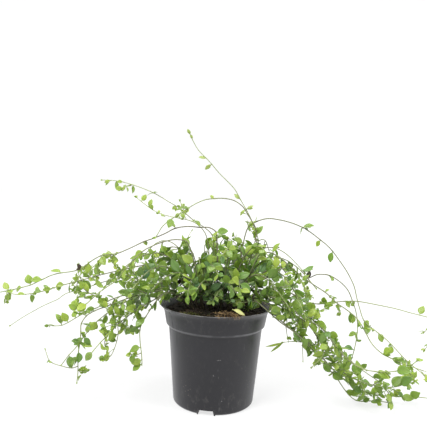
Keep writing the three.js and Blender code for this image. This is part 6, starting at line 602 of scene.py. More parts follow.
        [(240.5, -4.8, 18.9), (240.1, 3, 14.6), (233.4, 10.5, 9), (227.1, 13.8, 5.8)],
        [(339.3, 13.3, 6.9), (342.8, 18.4, 16.7), (341.1, 23.5, 27), (335.3, 28.3, 37.1)],
    ], [
        (2, 3, 73.7, -33.1, 94.1, -70, 3), (2, 3, 82.2, -26.6, 84, -79, 3), (0, 2, 71, -15.8, 162.2, 40, 10.3),
        (0, 11, 145, -20.4, 92.6, 71, 11.4), (0, 20, 221.6, -24.3, 26.6, 38, 10.1),
        (0, 23, 244.8, 2.1, 13.9, 46, 10.7), (0, 28, 308.1, -2.5, 11.3, 49, 10.1),
        (0, 29, 320, 16.6, 6.8, 34, 10.5), (0, 29, 315.8, -5.6, 22.9, 102, 11.1),
        (0, 33, 364.9, 16.1, 7.3, -166, 5.3), (0, 33, 365.1, 23.9, 7.3, 26, 6.5),
        (0, 3, 56.3, -37.4, 156.5, -34, 9.8), (0, 3, 70.2, -29.5, 177.1, -89, 11.8),
        (0, 4, 88.3, -31.5, 164.3, -36, 10.3), (0, 5, 92.4, -47.9, 144.8, -16, 12.6),
        (0, 5, 87.9, -15, 153.4, -1, 10.8), (0, 6, 91.5, -14.1, 134.5, -11, 10.2),
        (0, 6, 96.6, -24.6, 149.8, 146, 9.4), (0, 7, 112.6, -43.5, 140.2, -10, 12.6),
        (0, 7, 105.5, -23.3, 145, 99, 8.7), (0, 8, 117.4, -43.1, 129.9, -17, 10.8),
        (0, 9, 127.2, -35, 124.6, -3, 9.9), (0, 9, 122.3, -11.7, 124.1, 96, 10.4),
        (0, 10, 135.7, -20, 118.1, 39, 9.2), (0, 10, 135.3, -39, 113.8, -49, 9.8),
        (0, 13, 144.1, -41.2, 89.4, -13, 8.6), (0, 13, 153.7, -34.9, 94.6, -11, 7.8),
        (0, 14, 165.7, -33, 85.9, -6, 9.5), (0, 14, 158.4, -7.2, 80.5, 62, 11.3),
        (0, 15, 177.6, -37.2, 76.5, -34, 12.1), (0, 15, 156.2, -8.2, 68.3, 16, 9.8),
        (0, 16, 181.7, -33.5, 69.7, -28, 9.5), (0, 16, 180.5, -13.6, 62.8, 25, 9.8),
        (0, 17, 191.9, -33.3, 63.8, -64, 11), (0, 17, 172.1, -14.6, 47.8, 153, 8.1),
        (0, 18, 198, -13, 46.7, -69, 6.8), (0, 18, 198.9, -33.7, 41.1, -41, 10.9),
        (0, 19, 212.1, -30.3, 40.9, 11, 8.4), (0, 19, 205.5, -8.1, 34, 41, 8.8),
        (0, 22, 230.6, -19, 37.4, -81, 8.5), (0, 22, 227.6, -6.8, 41.1, 88, 10.4),
        (0, 24, 254.3, -15.4, 13.5, -42, 10.3), (0, 24, 251, -4.7, 29.7, 75, 8.3),
        (0, 25, 266.2, -4.6, 23.7, -34, 9.3), (0, 25, 260.9, -12.2, 15.9, -57, 7.8),
        (0, 26, 269.3, -9.8, 7.2, -40, 8.2), (0, 26, 268.9, 19.1, 13.4, 62, 9.4),
        (0, 27, 277.4, 19.9, 14.8, 38, 10.2), (0, 27, 287.6, -2.4, 13.8, -43, 6.6),
        (0, 30, 319.8, 22.1, 12.4, 43, 7.3), (0, 30, 318.5, 1.3, 21, -32, 8.2),
        (1, 1, 106.7, -34.9, 101.2, 21, 6.4), (1, 1, 111.1, -35, 105.9, -62, 4.6),
        (2, 1, 121.5, -12, 114.6, 37, 10.5), (2, 1, 123.4, -40.6, 107.1, 2, 9),
        (2, 2, 115.4, -38.9, 109.5, -50, 7.9), (3, 2, 223.5, 12.5, 43.6, 32, 6.2),
        (3, 2, 222.6, 10.3, 44.6, 166, 5), (3, 1, 230.4, -2.5, 44.6, 155, 7.2), (3, 1, 227.4, 6.4, 31.4, 23, 8.8),
        (4, 2, 39.4, -25, 144.2, -166, 5.4), (4, 1, 45.4, -31.6, 154.4, -145, 6.8),
        (4, 1, 45, -15.1, 144.5, 42, 6.8), (5, 3, 221.7, 20.2, 7.5, 21, 4.4), (5, 1, 246.8, 16.5, 13.2, 47, 8.7),
        (5, 1, 225, 8.7, 11.7, -1, 8.4), (5, 2, 221.7, 12.4, 11, -1, 7.1), (5, 2, 235.2, 23.3, 5.9, 90, 6.9),
        (6, 3, 330.4, 33.2, 43.9, 38, 6.1), (6, 3, 327.8, 28.8, 44.3, 19, 5.3), (6, 2, 339.5, 34.8, 29.8, -9, 6.5),
        (6, 2, 331.8, 24.6, 32.8, -3, 6.3), (6, 3, 342.4, 31.5, 35.7, 33, 5.1), (2, 3, 97, -24.5, 96.5, -2, 4.7),
        (0, 28, 296.6, 11, 7.6, 56, 5), (0, 25, 253.1, 6.2, 10.8, -38, 4.8), (0, 27, 271.5, -6.8, 13.4, -105, 6.6),
        (0, 17, 176.2, -29, 59.6, -64, 4.4), (5, 3, 231.1, 21.6, 4.3, -19, 5), (0, 28, 297.2, 4, 4.2, 24, 6.4),
        (0, 23, 226, -1.9, 19.7, -63, 4.8), (4, 2, 60.9, -31.3, 151.3, 31, 8.2),
    ]),
    ('runner_floor_b', [
        [(43.4, 7.4, 137), (48.5, 4.3, 147.4), (53.6, 1.2, 157.8), (61.2, -2.4, 165.4), (71.3, -5.8, 163.4),
         (81.2, -8, 157.6), (90.5, -9.6, 152.8), (101.9, -11, 146.6), (111.2, -12.2, 141.5), (123.7, -13.9, 134.8),
         (128.9, -14.7, 131.8), (133.9, -15.4, 128.4), (142.5, -16.9, 120.1), (150.4, -18.5, 109.3),
         (157.7, -20.2, 98.2), (163.4, -21.5, 89), (171.9, -23.3, 77.7), (180.6, -24.9, 68.3), (190, -26.5, 59.4),
         (200.9, -28.1, 52.2), (213.6, -29.9, 47.1), (219.3, -30.6, 45.6), (234, -32.5, 42.6),
         (247.4, -34.2, 41.1), (260.7, -35.9, 41.5), (272, -37.4, 44.7), (279.4, -38.5, 49.6),
         (287.6, -39.9, 57.4)],
        [(128.9, -14.7, 131.8), (130.6, -15.8, 123.2), (131.2, -17.5, 109.8), (130.6, -19.2, 96),
         (131.1, -20.6, 84.3), (131.8, -22, 72.5)],
        [(213.6, -29.9, 47.1), (217.3, -36.3, 41.3), (218.6, -41.8, 35.1)],
        [(247.4, -34.2, 41.1), (252.1, -35.8, 38.1), (255.6, -37.5, 33.5), (257.6, -39.1, 27.9),
         (258.4, -40.7, 21.3)],
        [(123.7, -13.9, 134.8), (129.1, -14.2, 141.4), (133.2, -14.2, 151.2), (134.2, -13.7, 161.3),
         (132.8, -12.8, 172.8), (131.2, -12.2, 178.9)],
        [(234, -32.5, 42.6), (239.8, -36.5, 48.6), (244, -44.3, 60.4)],
        [(111.2, -12.2, 141.5), (117.7, -10, 135.9), (123.3, -4.7, 126.1)],
        [(61.2, -2.4, 165.4), (72, -3.6, 172.8), (82.1, -3, 179.4)],
    ], [
        (0, 9, 134.8, -12.4, 117.5, 66, 11.2), (0, 14, 171, -8.5, 86.9, 24, 12.2),
        (0, 18, 204.9, -19.5, 43.7, 63, 12.5), (0, 21, 236.3, -20.2, 37.1, 35, 12.8),
        (0, 22, 251.1, -25.9, 30.7, 78, 11.7), (0, 24, 274.4, -34.2, 57.7, 47, 11.8),
        (0, 25, 286.5, -47.2, 60.8, 55, 12.8), (0, 26, 296.2, -32, 63.4, 29, 12.7),
        (1, 3, 139.9, -10.6, 81.5, -10, 10.2), (0, 27, 289.8, -44.6, 67, 161, 6.9),
        (0, 27, 296.1, -35.6, 66.7, 84, 7.8), (0, 4, 75.6, -29.5, 166.4, -82, 15.1),
        (0, 4, 85.2, -11.8, 170.3, 85, 9.7), (0, 5, 98.6, -15.7, 167.8, -7, 12), (0, 5, 95.4, 2.1, 154.9, 49, 9.2),
        (0, 6, 97.1, -29, 152.5, -49, 10.6), (0, 6, 91.9, -1.9, 133.6, 62, 12.4),
        (0, 7, 119.6, -12.8, 153.6, 30, 9.7), (0, 7, 112.2, -24.6, 139.1, -74, 10.4),
        (0, 8, 125.3, -30.4, 146.8, -2, 12), (0, 8, 121.8, 0.3, 144.3, -31, 9.3),
        (0, 11, 145.4, -24, 131.3, -10, 8.9), (0, 11, 145.5, -3.3, 129.1, 44, 10.7),
        (0, 12, 150.1, -27.7, 124.5, -65, 7.1), (0, 12, 144.7, 1.8, 116.8, 46, 11.9),
        (0, 13, 157.5, -4.2, 109.8, -5, 9.7), (0, 13, 161.8, -27.4, 107.3, 0, 8.7),
        (0, 15, 171.6, -36.8, 93.7, -30, 10.3), (0, 15, 161.3, -9.6, 83.7, -95, 6.9),
        (0, 16, 188.8, -34, 79.1, -7, 11.3), (0, 16, 176, -7.9, 76.5, 142, 8.7),
        (0, 17, 191, -35.1, 76.7, -14, 10.1), (0, 17, 190.3, -8.2, 63.2, 74, 12.7),
        (0, 19, 209.4, -18.3, 59.1, 127, 7.5), (0, 19, 205, -32.2, 35.4, -93, 9.7),
        (0, 23, 248.7, -49.6, 45.4, -101, 9.3), (0, 23, 256.1, -20.2, 42.5, 58, 8.7),
        (1, 1, 119.9, -23.1, 115.3, -67, 7.7), (1, 2, 130.7, -7.1, 99.1, 45, 9.1),
        (2, 2, 224.6, -46.1, 29.5, -38, 4.9), (2, 2, 213.9, -48.4, 31.5, -86, 5.5),
        (2, 1, 213.3, -43.8, 32.9, -108, 7.3), (2, 1, 224.2, -36.8, 31.8, 29, 6.1),
        (3, 4, 256.4, -48.5, 12.5, -26, 6.6), (3, 4, 255.4, -39.7, 11, 137, 6.4),
        (3, 2, 253.6, -51, 24.5, -31, 8.4), (3, 2, 268.2, -28, 34.8, -50, 9.7), (4, 5, 127, -8, 185.8, 13, 5.1),
        (4, 5, 125.6, -13.4, 189.1, -52, 7.5), (4, 1, 123.1, -25.8, 152.3, -5, 10.2),
        (4, 1, 147.9, -12, 143.2, 104, 9.8), (4, 2, 140, -3.9, 163, 121, 9.7),
        (4, 2, 141.3, -30, 156.8, -91, 11.4), (4, 3, 139.5, -6.9, 173.2, 174, 8),
        (4, 3, 127, -13.9, 172.9, 1, 7.9), (5, 2, 241.8, -48.8, 69.1, -54, 5.1),
        (5, 2, 247.7, -49.8, 69.4, -74, 6.8), (5, 1, 238.5, -50.4, 50.2, -47, 8.1),
        (5, 1, 250.9, -31.4, 51.8, -72, 6.7), (6, 2, 126, -3.7, 117.8, 15, 4.6),
        (6, 2, 121.5, 3.8, 120.5, -19, 6.4), (6, 1, 119.2, -15.2, 125.3, -47, 7.6),
        (6, 1, 120.2, 4.2, 127.5, 8, 8.8), (7, 2, 90, 1.4, 183.9, -15, 6), (7, 2, 91.8, -3.2, 180.4, 2, 5.3),
        (7, 1, 77.7, -15.9, 176.9, -12, 7.3), (7, 1, 83.1, 0.4, 174.9, 72, 7.4),
        (7, 2, 87.4, -0.9, 173.8, 98, 4.5), (0, 25, 274.1, -31.2, 49.3, -12, 4.5),
        (0, 20, 216.4, -28.1, 57.1, 62, 6.6), (0, 13, 154.5, -15.2, 101.3, 87, 4.9),
        (3, 4, 265.5, -32.4, 13.7, 64, 7.1), (4, 4, 139.8, -18.2, 176.2, 35, 5.7),
        (3, 1, 255.7, -43.1, 42.3, 23, 6), (0, 22, 236.9, -23.2, 33.1, -94, 7.5),
        (0, 20, 211.3, -34.8, 41.3, 14, 4.5), (1, 1, 137.2, -15.3, 116.2, 26, 5.6),
        (0, 16, 176.2, -32.1, 83, 28, 6.9), (0, 26, 291.7, -28.5, 46.5, 6, 9), (0, 2, 54.2, -5.8, 154, 48, 4.9),
        (0, 20, 212, -22, 47.4, -2, 5.2), (0, 26, 282, -44.8, 45.4, 34, 4.1), (3, 3, 262.4, -34.4, 32.2, 29, 5),
    ]),
    ('runner_floor_c', [
        [(27.3, -3.6, 137), (34.8, -11.9, 147), (40.8, -18.6, 155), (50.2, -30.8, 162.8), (56.3, -42, 162.8),
         (64.7, -51.4, 158.1), (75.2, -52.5, 149.7), (83.1, -50.8, 142.6), (92.9, -49, 134.6),
         (103.5, -47.9, 127.5), (109.7, -47.3, 123.5), (123.9, -45.9, 112.2), (133.6, -44.9, 103),
         (142.4, -43.7, 94), (146.9, -43, 88.9), (151.4, -42.1, 83.5), (156.4, -40.8, 77.5), (167, -35.5, 65.5),
         (173.3, -31.2, 58.7), (184.4, -23.1, 45.7), (192, -17.3, 35), (199.9, -11.6, 24.5), (208.1, -6, 14.8),
         (220.2, -1.1, 5.5), (229.1, -1.3, 4.4), (240.7, -2.6, 6.1), (255, -4.5, 6.8), (266.9, -5.9, 6.1)],
        [(156.4, -40.8, 77.5), (165.8, -41.1, 73.8), (174.9, -42.3, 70.8), (185.9, -44.5, 67.8),
         (200.2, -49, 64.8)],
        [(109.7, -47.3, 123.5), (114.4, -46.4, 127.7), (117.2, -45.6, 133.4), (118.3, -44.8, 140.6)],
        [(146.9, -43, 88.9), (159, -41.8, 91), (167.9, -41.1, 95.1), (174.7, -40.8, 100.1)],
        [(56.3, -42, 162.8), (48.1, -49.4, 163), (37.2, -51, 162.1), (26.7, -49, 160.6)],
        [(173.3, -31.2, 58.7), (183.4, -30.8, 55.9), (193.5, -32.6, 53.9), (200.2, -35, 52.9)],
    ], [
        (0, 10, 122, -44.5, 108.4, 60, 10.8), (0, 14, 151.7, -33.8, 69.4, 68, 11.4),
        (0, 16, 168.2, -41.5, 62.4, 64, 10.4), (0, 18, 187.1, -43, 52.7, 38, 12),
        (0, 23, 235.8, -7, 14.2, 23, 11.2), (0, 25, 253.7, -17, 10.8, 19, 11), (0, 27, 272.9, -9.3, 3.7, 8, 4.1),
        (0, 3, 48.9, -47.1, 172, -96, 10.1), (0, 4, 50.4, -52, 152.8, 7, 9.4),
        (0, 4, 76.5, -45.5, 161.4, -16, 10.6), (0, 6, 92.5, -47.6, 155.5, 73, 11.1),
        (0, 6, 88.2, -55.3, 151.1, -93, 7.6), (0, 7, 86.2, -35.2, 136.9, -7, 8.9),
        (0, 7, 98.2, -55, 144.7, 115, 8.2), (0, 9, 114.7, -48.5, 140.7, 162, 10),
        (0, 9, 109.5, -41.3, 121.8, 37, 5.4), (0, 11, 129.6, -59.7, 106.5, -110, 9.5),
        (0, 11, 130.8, -38.1, 106.7, -60, 7.2), (0, 12, 133.6, -49.4, 88.4, -126, 8),
        (0, 12, 131, -28.2, 98.6, 13, 8.9), (0, 13, 148.5, -56.8, 87.1, -28, 9.5),
        (0, 13, 155.9, -42.9, 97.7, -2, 8), (0, 15, 165.9, -38.6, 86, -55, 9.4),
        (0, 15, 148.2, -50.4, 75, -74, 6.9), (0, 17, 180.7, -38.6, 63.5, -36, 7.3),
        (0, 17, 169.7, -21, 57.9, 73, 10.4), (0, 19, 190.6, -12, 52.1, 71, 8.5),
        (0, 21, 214, -15, 23.2, -139, 8.9), (0, 22, 223.4, -8.6, 23.6, 72, 9), (0, 24, 239, -6.9, 11.9, -127, 6.8),
        (0, 26, 257.4, 1.5, 10.4, 13, 3.8), (0, 26, 259, 8.4, 6.4, 11, 8.4), (1, 4, 208.4, -52.5, 67.6, 28, 5.8),
        (1, 4, 207, -50.4, 59.2, -4, 5), (1, 1, 172.5, -51, 79.7, -173, 6.8), (1, 1, 173.3, -48.3, 70.7, -33, 5.8),
        (1, 2, 177.5, -57.5, 76.1, -19, 10), (1, 2, 179, -30.3, 64.6, 18, 7.3), (1, 3, 195, -49.7, 73.2, -36, 7.2),
        (1, 3, 199, -40.2, 61.5, 27, 8), (2, 3, 120.7, -43.8, 148.7, 108, 4.3),
        (2, 3, 113.5, -43.4, 151.4, 8, 6.3), (2, 2, 120.9, -53.2, 141.6, -85, 7.5),
        (2, 2, 120.5, -35, 140.3, 40, 8.3), (3, 3, 177.9, -44.1, 109.3, 158, 6.3),
        (3, 3, 181.7, -34.3, 104.6, 92, 5.6), (3, 1, 167.3, -51.2, 95.4, 159, 8.2),
        (3, 1, 166, -34.4, 99.4, 45, 7.9), (4, 3, 19.6, -45.2, 164.7, -32, 5.7), (4, 3, 18.8, -49.5, 159, 1, 5),
        (4, 1, 43.9, -64.3, 164.6, -105, 9.6), (4, 1, 49.9, -64.6, 159.7, 68, 9.3),
        (4, 2, 33.7, -43.4, 154.6, 145, 6.8), (4, 2, 29.2, -55, 153.9, -72, 7.2),
        (5, 3, 210.6, -40.2, 55.8, 9, 6.2), (5, 3, 211.4, -35.6, 50, -18, 6.2), (5, 2, 195.1, -43.1, 49, -49, 6),
        (5, 2, 204.5, -34.2, 61.4, -106, 7), (0, 10, 112.7, -40.3, 127.4, -2, 5.3),
        (0, 27, 263, -8.7, 12.5, -41, 5), (0, 13, 133.8, -41.4, 84, -44, 6.7), (0, 6, 76.1, -59.3, 158.1, 81, 5.8),
        (3, 3, 166.7, -41.4, 113.2, -48, 8.6), (3, 2, 172.4, -40.4, 88.5, 128, 4.4),
        (3, 2, 172, -35.9, 99.6, -11, 5), (0, 2, 40.3, -27.2, 154.4, 10, 4.8),
        (4, 1, 42.2, -50.8, 168.3, -61, 4.5), (0, 27, 269.6, 3.6, 7.4, 16, 5.7),
        (2, 1, 121, -46.4, 132.2, 47, 4.2), (0, 26, 249.4, -15.4, 4.2, -21, 7), (0, 1, 44, -13.6, 144.3, 46, 5),
        (4, 2, 38.6, -57.7, 166.4, -132, 5.3), (5, 3, 200.2, -41.3, 57.8, 73, 5),
        (1, 3, 182.4, -50.6, 62.8, 8, 5.6),
    ]),
    ('runner_floor_d', [
        [(34.3, -2.9, 137), (42.2, -10.1, 151.4), (49.8, -16.7, 162.4), (56.4, -22.2, 166.8), (64.4, -29, 169.1),
         (72.9, -36.1, 169.7), (82.4, -43.2, 168.8), (94.4, -49.5, 164.9), (104.3, -51.7, 158.4),
         (112.6, -52.4, 151.6), (121.1, -53.1, 145.1), (133.1, -54.7, 139.5), (144.7, -56.3, 134.7),
         (154.3, -58, 126.6), (158.8, -58.9, 121.1), (166, -60.5, 111.6), (170.5, -61.4, 106.1),
         (177.8, -62.9, 98.4), (188.4, -64.8, 88.6), (195.9, -66, 83.1), (210.6, -68.2, 77.6), (224.3, -70, 76.1),
         (235.4, -71.5, 76.3), (250.8, -73.6, 78.8), (260.6, -75, 82.1), (269.3, -76.4, 87.6),
         (276.9, -77.8, 94.7)],
        [(121.1, -53.1, 145.1), (130.2, -49, 143.6), (140.6, -41.4, 142.1), (148.6, -32.5, 141.3)],
        [(158.8, -58.9, 121.1), (158.2, -60.5, 109.1), (154.6, -61.5, 98.1), (149.2, -62.1, 89.3),
         (140.4, -62.4, 79.5), (138, -62.4, 77.3)],
        [(42.2, -10.1, 151.4), (36.5, -19.6, 159.8), (21, -28.1, 157.3)],
        [(177.8, -62.9, 98.4), (178.8, -61, 89.3), (175.3, -57.7, 80.3)],
        [(260.6, -75, 82.1), (271.3, -76.7, 76.1), (275.6, -77.3, 66.5)],
        [(94.4, -49.5, 164.9), (101.6, -47.4, 157), (105.4, -42.8, 147.3), (106.1, -39.8, 142.1)],
    ], [
        (0, 15, 179.6, -57.6, 89.3, 71, 15.2), (0, 17, 187.6, -57.4, 87.7, 57, 9.3),
        (0, 19, 211.4, -53.3, 75.3, 41, 13.7), (0, 21, 246.9, -68.8, 68.3, 40, 12.6),
        (0, 23, 270.6, -70.5, 83.3, 58, 12.1), (0, 23, 266.8, -89.5, 83.5, 52, 11.6),
        (0, 25, 264.2, -84.5, 98.9, -79, 8.4), (0, 26, 289.7, -69, 95.5, 15, 8),
        (0, 3, 56.2, -22.5, 186.3, -36, 10.5), (0, 3, 61.5, -39.2, 169.8, -63, 11),
        (0, 4, 62, -47.7, 172.6, -59, 11.2), (0, 4, 70.8, -40.5, 180.7, -81, 10),
        (0, 5, 81.7, -39.7, 189.7, -172, 11.6), (0, 5, 80, -50.8, 163.6, -42, 9.9),
        (0, 6, 94.1, -43.3, 183.1, 133, 11.2), (0, 6, 98.5, -27.7, 170.7, 10, 12.6),
        (0, 7, 94.9, -60.3, 153.2, -72, 9.8), (0, 7, 106.5, -56.8, 143.8, -30, 13.4),
        (0, 8, 111.6, -70, 146.7, -77, 11.4), (0, 8, 124.5, -41.3, 164, 65, 12.4),
        (0, 9, 125.1, -47.3, 150.4, 40, 7.2), (0, 9, 121.4, -57.8, 160.3, 2, 7.1),
        (0, 10, 127.7, -63.3, 151, 72, 6.8), (0, 10, 132.1, -39.9, 135, 44, 12.1),
        (0, 11, 146.7, -58.3, 145.2, -23, 8.1), (0, 11, 141.6, -58.8, 124.1, 22, 9.9),
        (0, 12, 150.1, -72.4, 142.4, -76, 9.5), (0, 12, 146.9, -51.8, 119.2, 89, 8.2),
        (0, 13, 159.6, -69.3, 121.8, 28, 7.8), (0, 13, 148.4, -57.5, 109.1, 120, 9.8),
        (0, 16, 170.5, -75.3, 99.2, -55, 9.3), (0, 16, 175.7, -73.7, 107.3, -85, 8),
        (0, 18, 190.8, -52.6, 81.3, 66, 8.7), (0, 18, 185.7, -60.3, 76.6, 97, 6.7),
        (0, 20, 213.7, -56.5, 73.6, 39, 6.6), (0, 22, 238.5, -85.2, 70.7, -40, 8.4),
        (0, 22, 247, -67.8, 73, 23, 7.9), (0, 24, 268.2, -82.5, 85.7, -88, 6.3),
        (0, 24, 263.5, -69.4, 90.8, 59, 6.4), (1, 3, 151.9, -24.5, 147.7, 59, 6.6),
        (1, 3, 153.6, -22.6, 139.1, 10, 6.1), (1, 1, 141.1, -49.7, 157.3, 63, 8.9),
        (1, 1, 130.3, -34.9, 147.3, 29, 8.3), (1, 2, 151.2, -41.2, 144.2, 55, 6.8),
        (1, 2, 143.5, -37.3, 153, 25, 6.4), (2, 1, 145.6, -69.9, 105.2, -36, 9.4),
        (2, 1, 154.4, -45.5, 106.5, 44, 9.4), (2, 2, 137.5, -59.7, 91.8, -104, 9.8),
        (2, 2, 166.6, -68.4, 88.3, -21, 10.7), (2, 3, 141.9, -53, 79.2, 33, 7.8),
        (2, 3, 146.2, -76.4, 88.9, -66, 8.5), (3, 2, 11.7, -29.5, 159.4, -6, 6.1),
        (3, 2, 15, -29.2, 153.9, 1, 3.8), (3, 1, 25.4, -14.8, 159, -111, 6.2),
        (3, 1, 29.1, -25.2, 150.7, -41, 6.9), (4, 2, 169.4, -50.8, 76.5, -14, 5.8),
        (4, 2, 170.5, -60.4, 72.6, -28, 5.8), (4, 1, 180.9, -47.7, 86.7, 27, 6.9),
        (4, 1, 175.4, -68.2, 81.9, -87, 6.4), (5, 2, 282.6, -79.5, 62.8, -2, 4.9),
        (5, 2, 276.5, -72.1, 59.9, -16, 5.2), (5, 1, 274.8, -91.1, 71.2, 127, 8.3),
        (5, 1, 272.6, -67.2, 71.1, -33, 5.7), (6, 3, 108.2, -31.6, 138.7, 127, 4.6),
        (6, 1, 98.1, -34.6, 155.5, 62, 6.9), (2, 4, 135.6, -72.7, 85.1, -85, 7.1),
        (0, 13, 157.3, -50.7, 125.5, 36, 5.2), (2, 4, 144.6, -56.6, 75.9, 36, 5.2),
        (0, 2, 48.5, -24.6, 162.2, -13, 4.2), (6, 2, 101.6, -44.3, 140.4, -52, 4.9),
        (5, 2, 279.1, -83.9, 70.8, 26, 5.2), (0, 25, 273.3, -69.5, 88, 9, 4.5), (0, 18, 190.2, -68, 95.7, 86, 5),
        (0, 1, 40.6, -17.4, 148.8, -60, 4.1), (0, 15, 160.2, -43.1, 109.5, 20, 10.8),
    ]),
    ('runner_left_drop_e', [
        [(-35.1, 12.9, 137), (-41.9, 8.9, 146.1), (-48.7, 4.9, 155.3), (-60.9, -2.8, 168.3), (-71.4, -10, 172.6),
         (-82.5, -12.4, 171), (-93.5, -12.1, 167.1), (-103.4, -11.3, 162.8), (-114.5, -10.6, 157.9),
         (-126.6, -10.1, 152.3), (-134.8, -9.8, 148), (-142.6, -9.5, 143.5), (-149, -9.2, 139.5),
         (-157.6, -8.9, 133.6), (-165, -8.6, 128.2), (-178.6, -7.9, 116.3), (-183.6, -7.7, 111),
         (-188.7, -7.4, 105.2), (-199.4, -6.8, 90.6), (-205.9, -6.4, 80.5), (-213.3, -6, 71), (-221.2, -5.6, 61.8),
         (-231.7, -5, 47.1)],
        [(-157.6, -8.9, 133.6), (-155.8, -5.3, 124.4), (-149.8, -2, 116.4), (-142.1, 0.4, 111.2),
         (-134.3, 2.1, 107.9), (-127.7, 3.2, 106)],
        [(-82.5, -12.4, 171), (-85, -6, 185)],
        [(-48.7, 4.9, 155.3), (-56.9, -1.1, 159.3), (-63.1, -6, 159.1)],
    ], [
        (0, 5, -95.2, 0.6, 163, -67, 11.9), (0, 11, -147.8, -1.1, 120.9, 156, 13.2),
        (0, 14, -170.1, -11.6, 111.1, -110, 9.6), (0, 15, -189.4, -12.3, 102.6, -72, 10.5),
        (0, 17, -199.4, 0.8, 99.1, -86, 9.1), (0, 18, -188.2, -6.7, 79.6, 71, 8.1),
        (0, 18, -213.4, -9.4, 78.5, -52, 9.7), (0, 21, -218.3, -6.2, 43.9, 71, 10.7),
        (0, 3, -50.4, -15.1, 179.6, 35, 11.5), (0, 4, -78.5, -0.5, 185.8, -39, 10.5),
        (0, 4, -80.7, -15.2, 183.9, 95, 9.1), (0, 6, -105, 0.5, 173.9, -55, 10.9),
        (0, 6, -103.4, -18.6, 152.8, 49, 10.5), (0, 7, -118.8, -13.4, 173.7, -111, 9.8),
        (0, 7, -102.1, -10, 146.1, -127, 9.2), (0, 8, -123.9, -5.2, 143.7, 4, 10.1),
        (0, 8, -120.3, -28.4, 155.3, 19, 12.1), (0, 9, -140.3, -7.2, 157.1, -13, 7.7),
        (0, 9, -132.2, -18.6, 140.2, 134, 9.5), (0, 12, -153.7, -2.4, 129.6, -56, 7.9),
        (0, 12, -158.4, -19.3, 146.6, 156, 9.3), (0, 13, -168.7, -4.3, 139.4, 10, 7.6),
        (0, 13, -152.4, -6.6, 122.8, -144, 6.5), (0, 16, -194, 0.2, 109.2, -103, 6.9),
        (0, 19, -211.9, 1.7, 79.9, -80, 6.3), (0, 19, -196.7, -2.9, 70.1, -16, 7.7),
        (1, 5, -117.9, 0.9, 103.8, -17, 6.6), (1, 5, -122.1, 7.8, 100.8, 16, 5.5),
        (1, 1, -155.3, -9.9, 110.9, 157, 8.7), (1, 1, -154.4, 7, 119.7, -13, 7.4),
        (1, 2, -142.2, 4.1, 123.5, -56, 6.5), (1, 2, -152.4, -1, 102.4, 154, 8.3),
        (1, 3, -133.9, -3.5, 107.2, -42, 5.7), (1, 3, -137.7, 12.9, 113.9, -76, 8),
        (2, 1, -79.1, -2.3, 190.1, 0, 5.5), (2, 1, -85.6, -3.2, 193.4, 22, 5.3),
        (3, 2, -68.2, -9.3, 155.4, -48, 4), (3, 2, -67, -12.4, 159.1, 118, 4.5), (3, 1, -62.7, 1.1, 152.2, 0, 5.3),
        (3, 1, -66.2, -3.8, 154.5, 10, 5.7), (0, 11, -142.3, -1.8, 145.6, 30, 4.1),
        (1, 3, -150.6, 5.6, 106.7, -110, 7.1), (0, 19, -185.4, -7.3, 76.3, 11, 11.5),
        (0, 15, -165, 5.7, 108, 11, 13.7), (1, 5, -138.5, 12.2, 90.3, -147, 10.7),
        (0, 16, -178.5, -9.2, 103.8, 49, 5.3), (1, 4, -146.9, 9.2, 92.7, -12, 13.8),
        (0, 11, -135, -6.1, 139.1, 21, 5.2), (0, 10, -142.8, -2.7, 146.7, -28, 6),
    ]),
    ('runner_floor_e', [
        [(45.5, 14.1, 137), (51.4, 10.3, 150), (58.1, 6.6, 162.5), (70.9, 3.4, 167.5), (81.5, 2.4, 164.3),
         (93.6, 1.8, 160.1), (103.5, 1.6, 156.4), (113.6, 1.5, 151.8), (124.6, 1.3, 145.4), (138.3, 1.1, 135.9),
         (144.4, 0.9, 131.2), (150, 0.8, 126.5), (161.1, 0.6, 116.4), (165.5, 0.5, 112.2), (171.3, 0.3, 106.4),
         (181.2, 0.1, 96.2), (190.6, -0.1, 85.8), (197.9, -0.3, 78), (205.1, -0.5, 70.5), (211.4, -0.6, 64.7),
         (224, -0.9, 55.3), (233.6, -1.1, 49.1), (243.1, -1.2, 43), (252.2, -1.4, 37.4), (264.6, -1.7, 30.4),
         (275.2, -1.9, 25.2), (282.8, -2, 21.6)],
        [(252.2, -1.4, 37.4), (251.4, -8, 28.8), (243.9, -13.9, 22.1)],
        [(138.3, 1.1, 135.9), (146.8, 0.2, 137.7), (157.7, -1.2, 142.3), (167, -2.8, 148.7)],
        [(197.9, -0.3, 78), (190.1, -1.2, 67.7), (181.1, -1.7, 63.2), (171.9, -2, 61.4), (161.7, -2.1, 61.3)],
        [(171.3, 0.3, 106.4), (167.8, -0.9, 98.4), (159.8, -2, 92.9), (153.3, -2.6, 90.8)],
        [(93.6, 1.8, 160.1), (101, 0.9, 152.8), (105.8, 0, 143.8), (108.1, -0.8, 134.2), (108.6, -1.4, 127.2)],
    ], [
        (0, 3, 94.4, -3.9, 165.3, 48, 12.9), (0, 5, 105.7, -17.8, 158.1, 59, 14.8),
        (0, 9, 157.3, 9.6, 129.3, 4, 12.8), (0, 11, 166.6, -10.3, 115.5, 18, 13.1),
        (0, 12, 170.1, 5.1, 91.4, 165, 16.7), (0, 19, 223.3, -6.5, 48.5, 68, 13),
        (0, 25, 290.2, 9.1, 14.7, 109, 12.5), (0, 26, 288.5, 1, 15.8, 35, 4.7), (0, 26, 290.7, -3.9, 15.7, 44, 6),
        (0, 4, 97.9, 13.9, 162.9, -106, 11.4), (0, 4, 82.1, 14.5, 151.9, 132, 11), (0, 6, 122, -8, 159.4, 9, 12.2),
        (0, 6, 116.1, 9.6, 139.8, 26, 12.1), (0, 7, 134.1, 4, 159.7, 145, 11.6), (0, 7, 124.5, 13.2, 143.8, 60, 9),
        (0, 8, 144.1, -9.5, 149.5, 41, 11.4), (0, 8, 134.7, 15.1, 130.1, 68, 12.1),
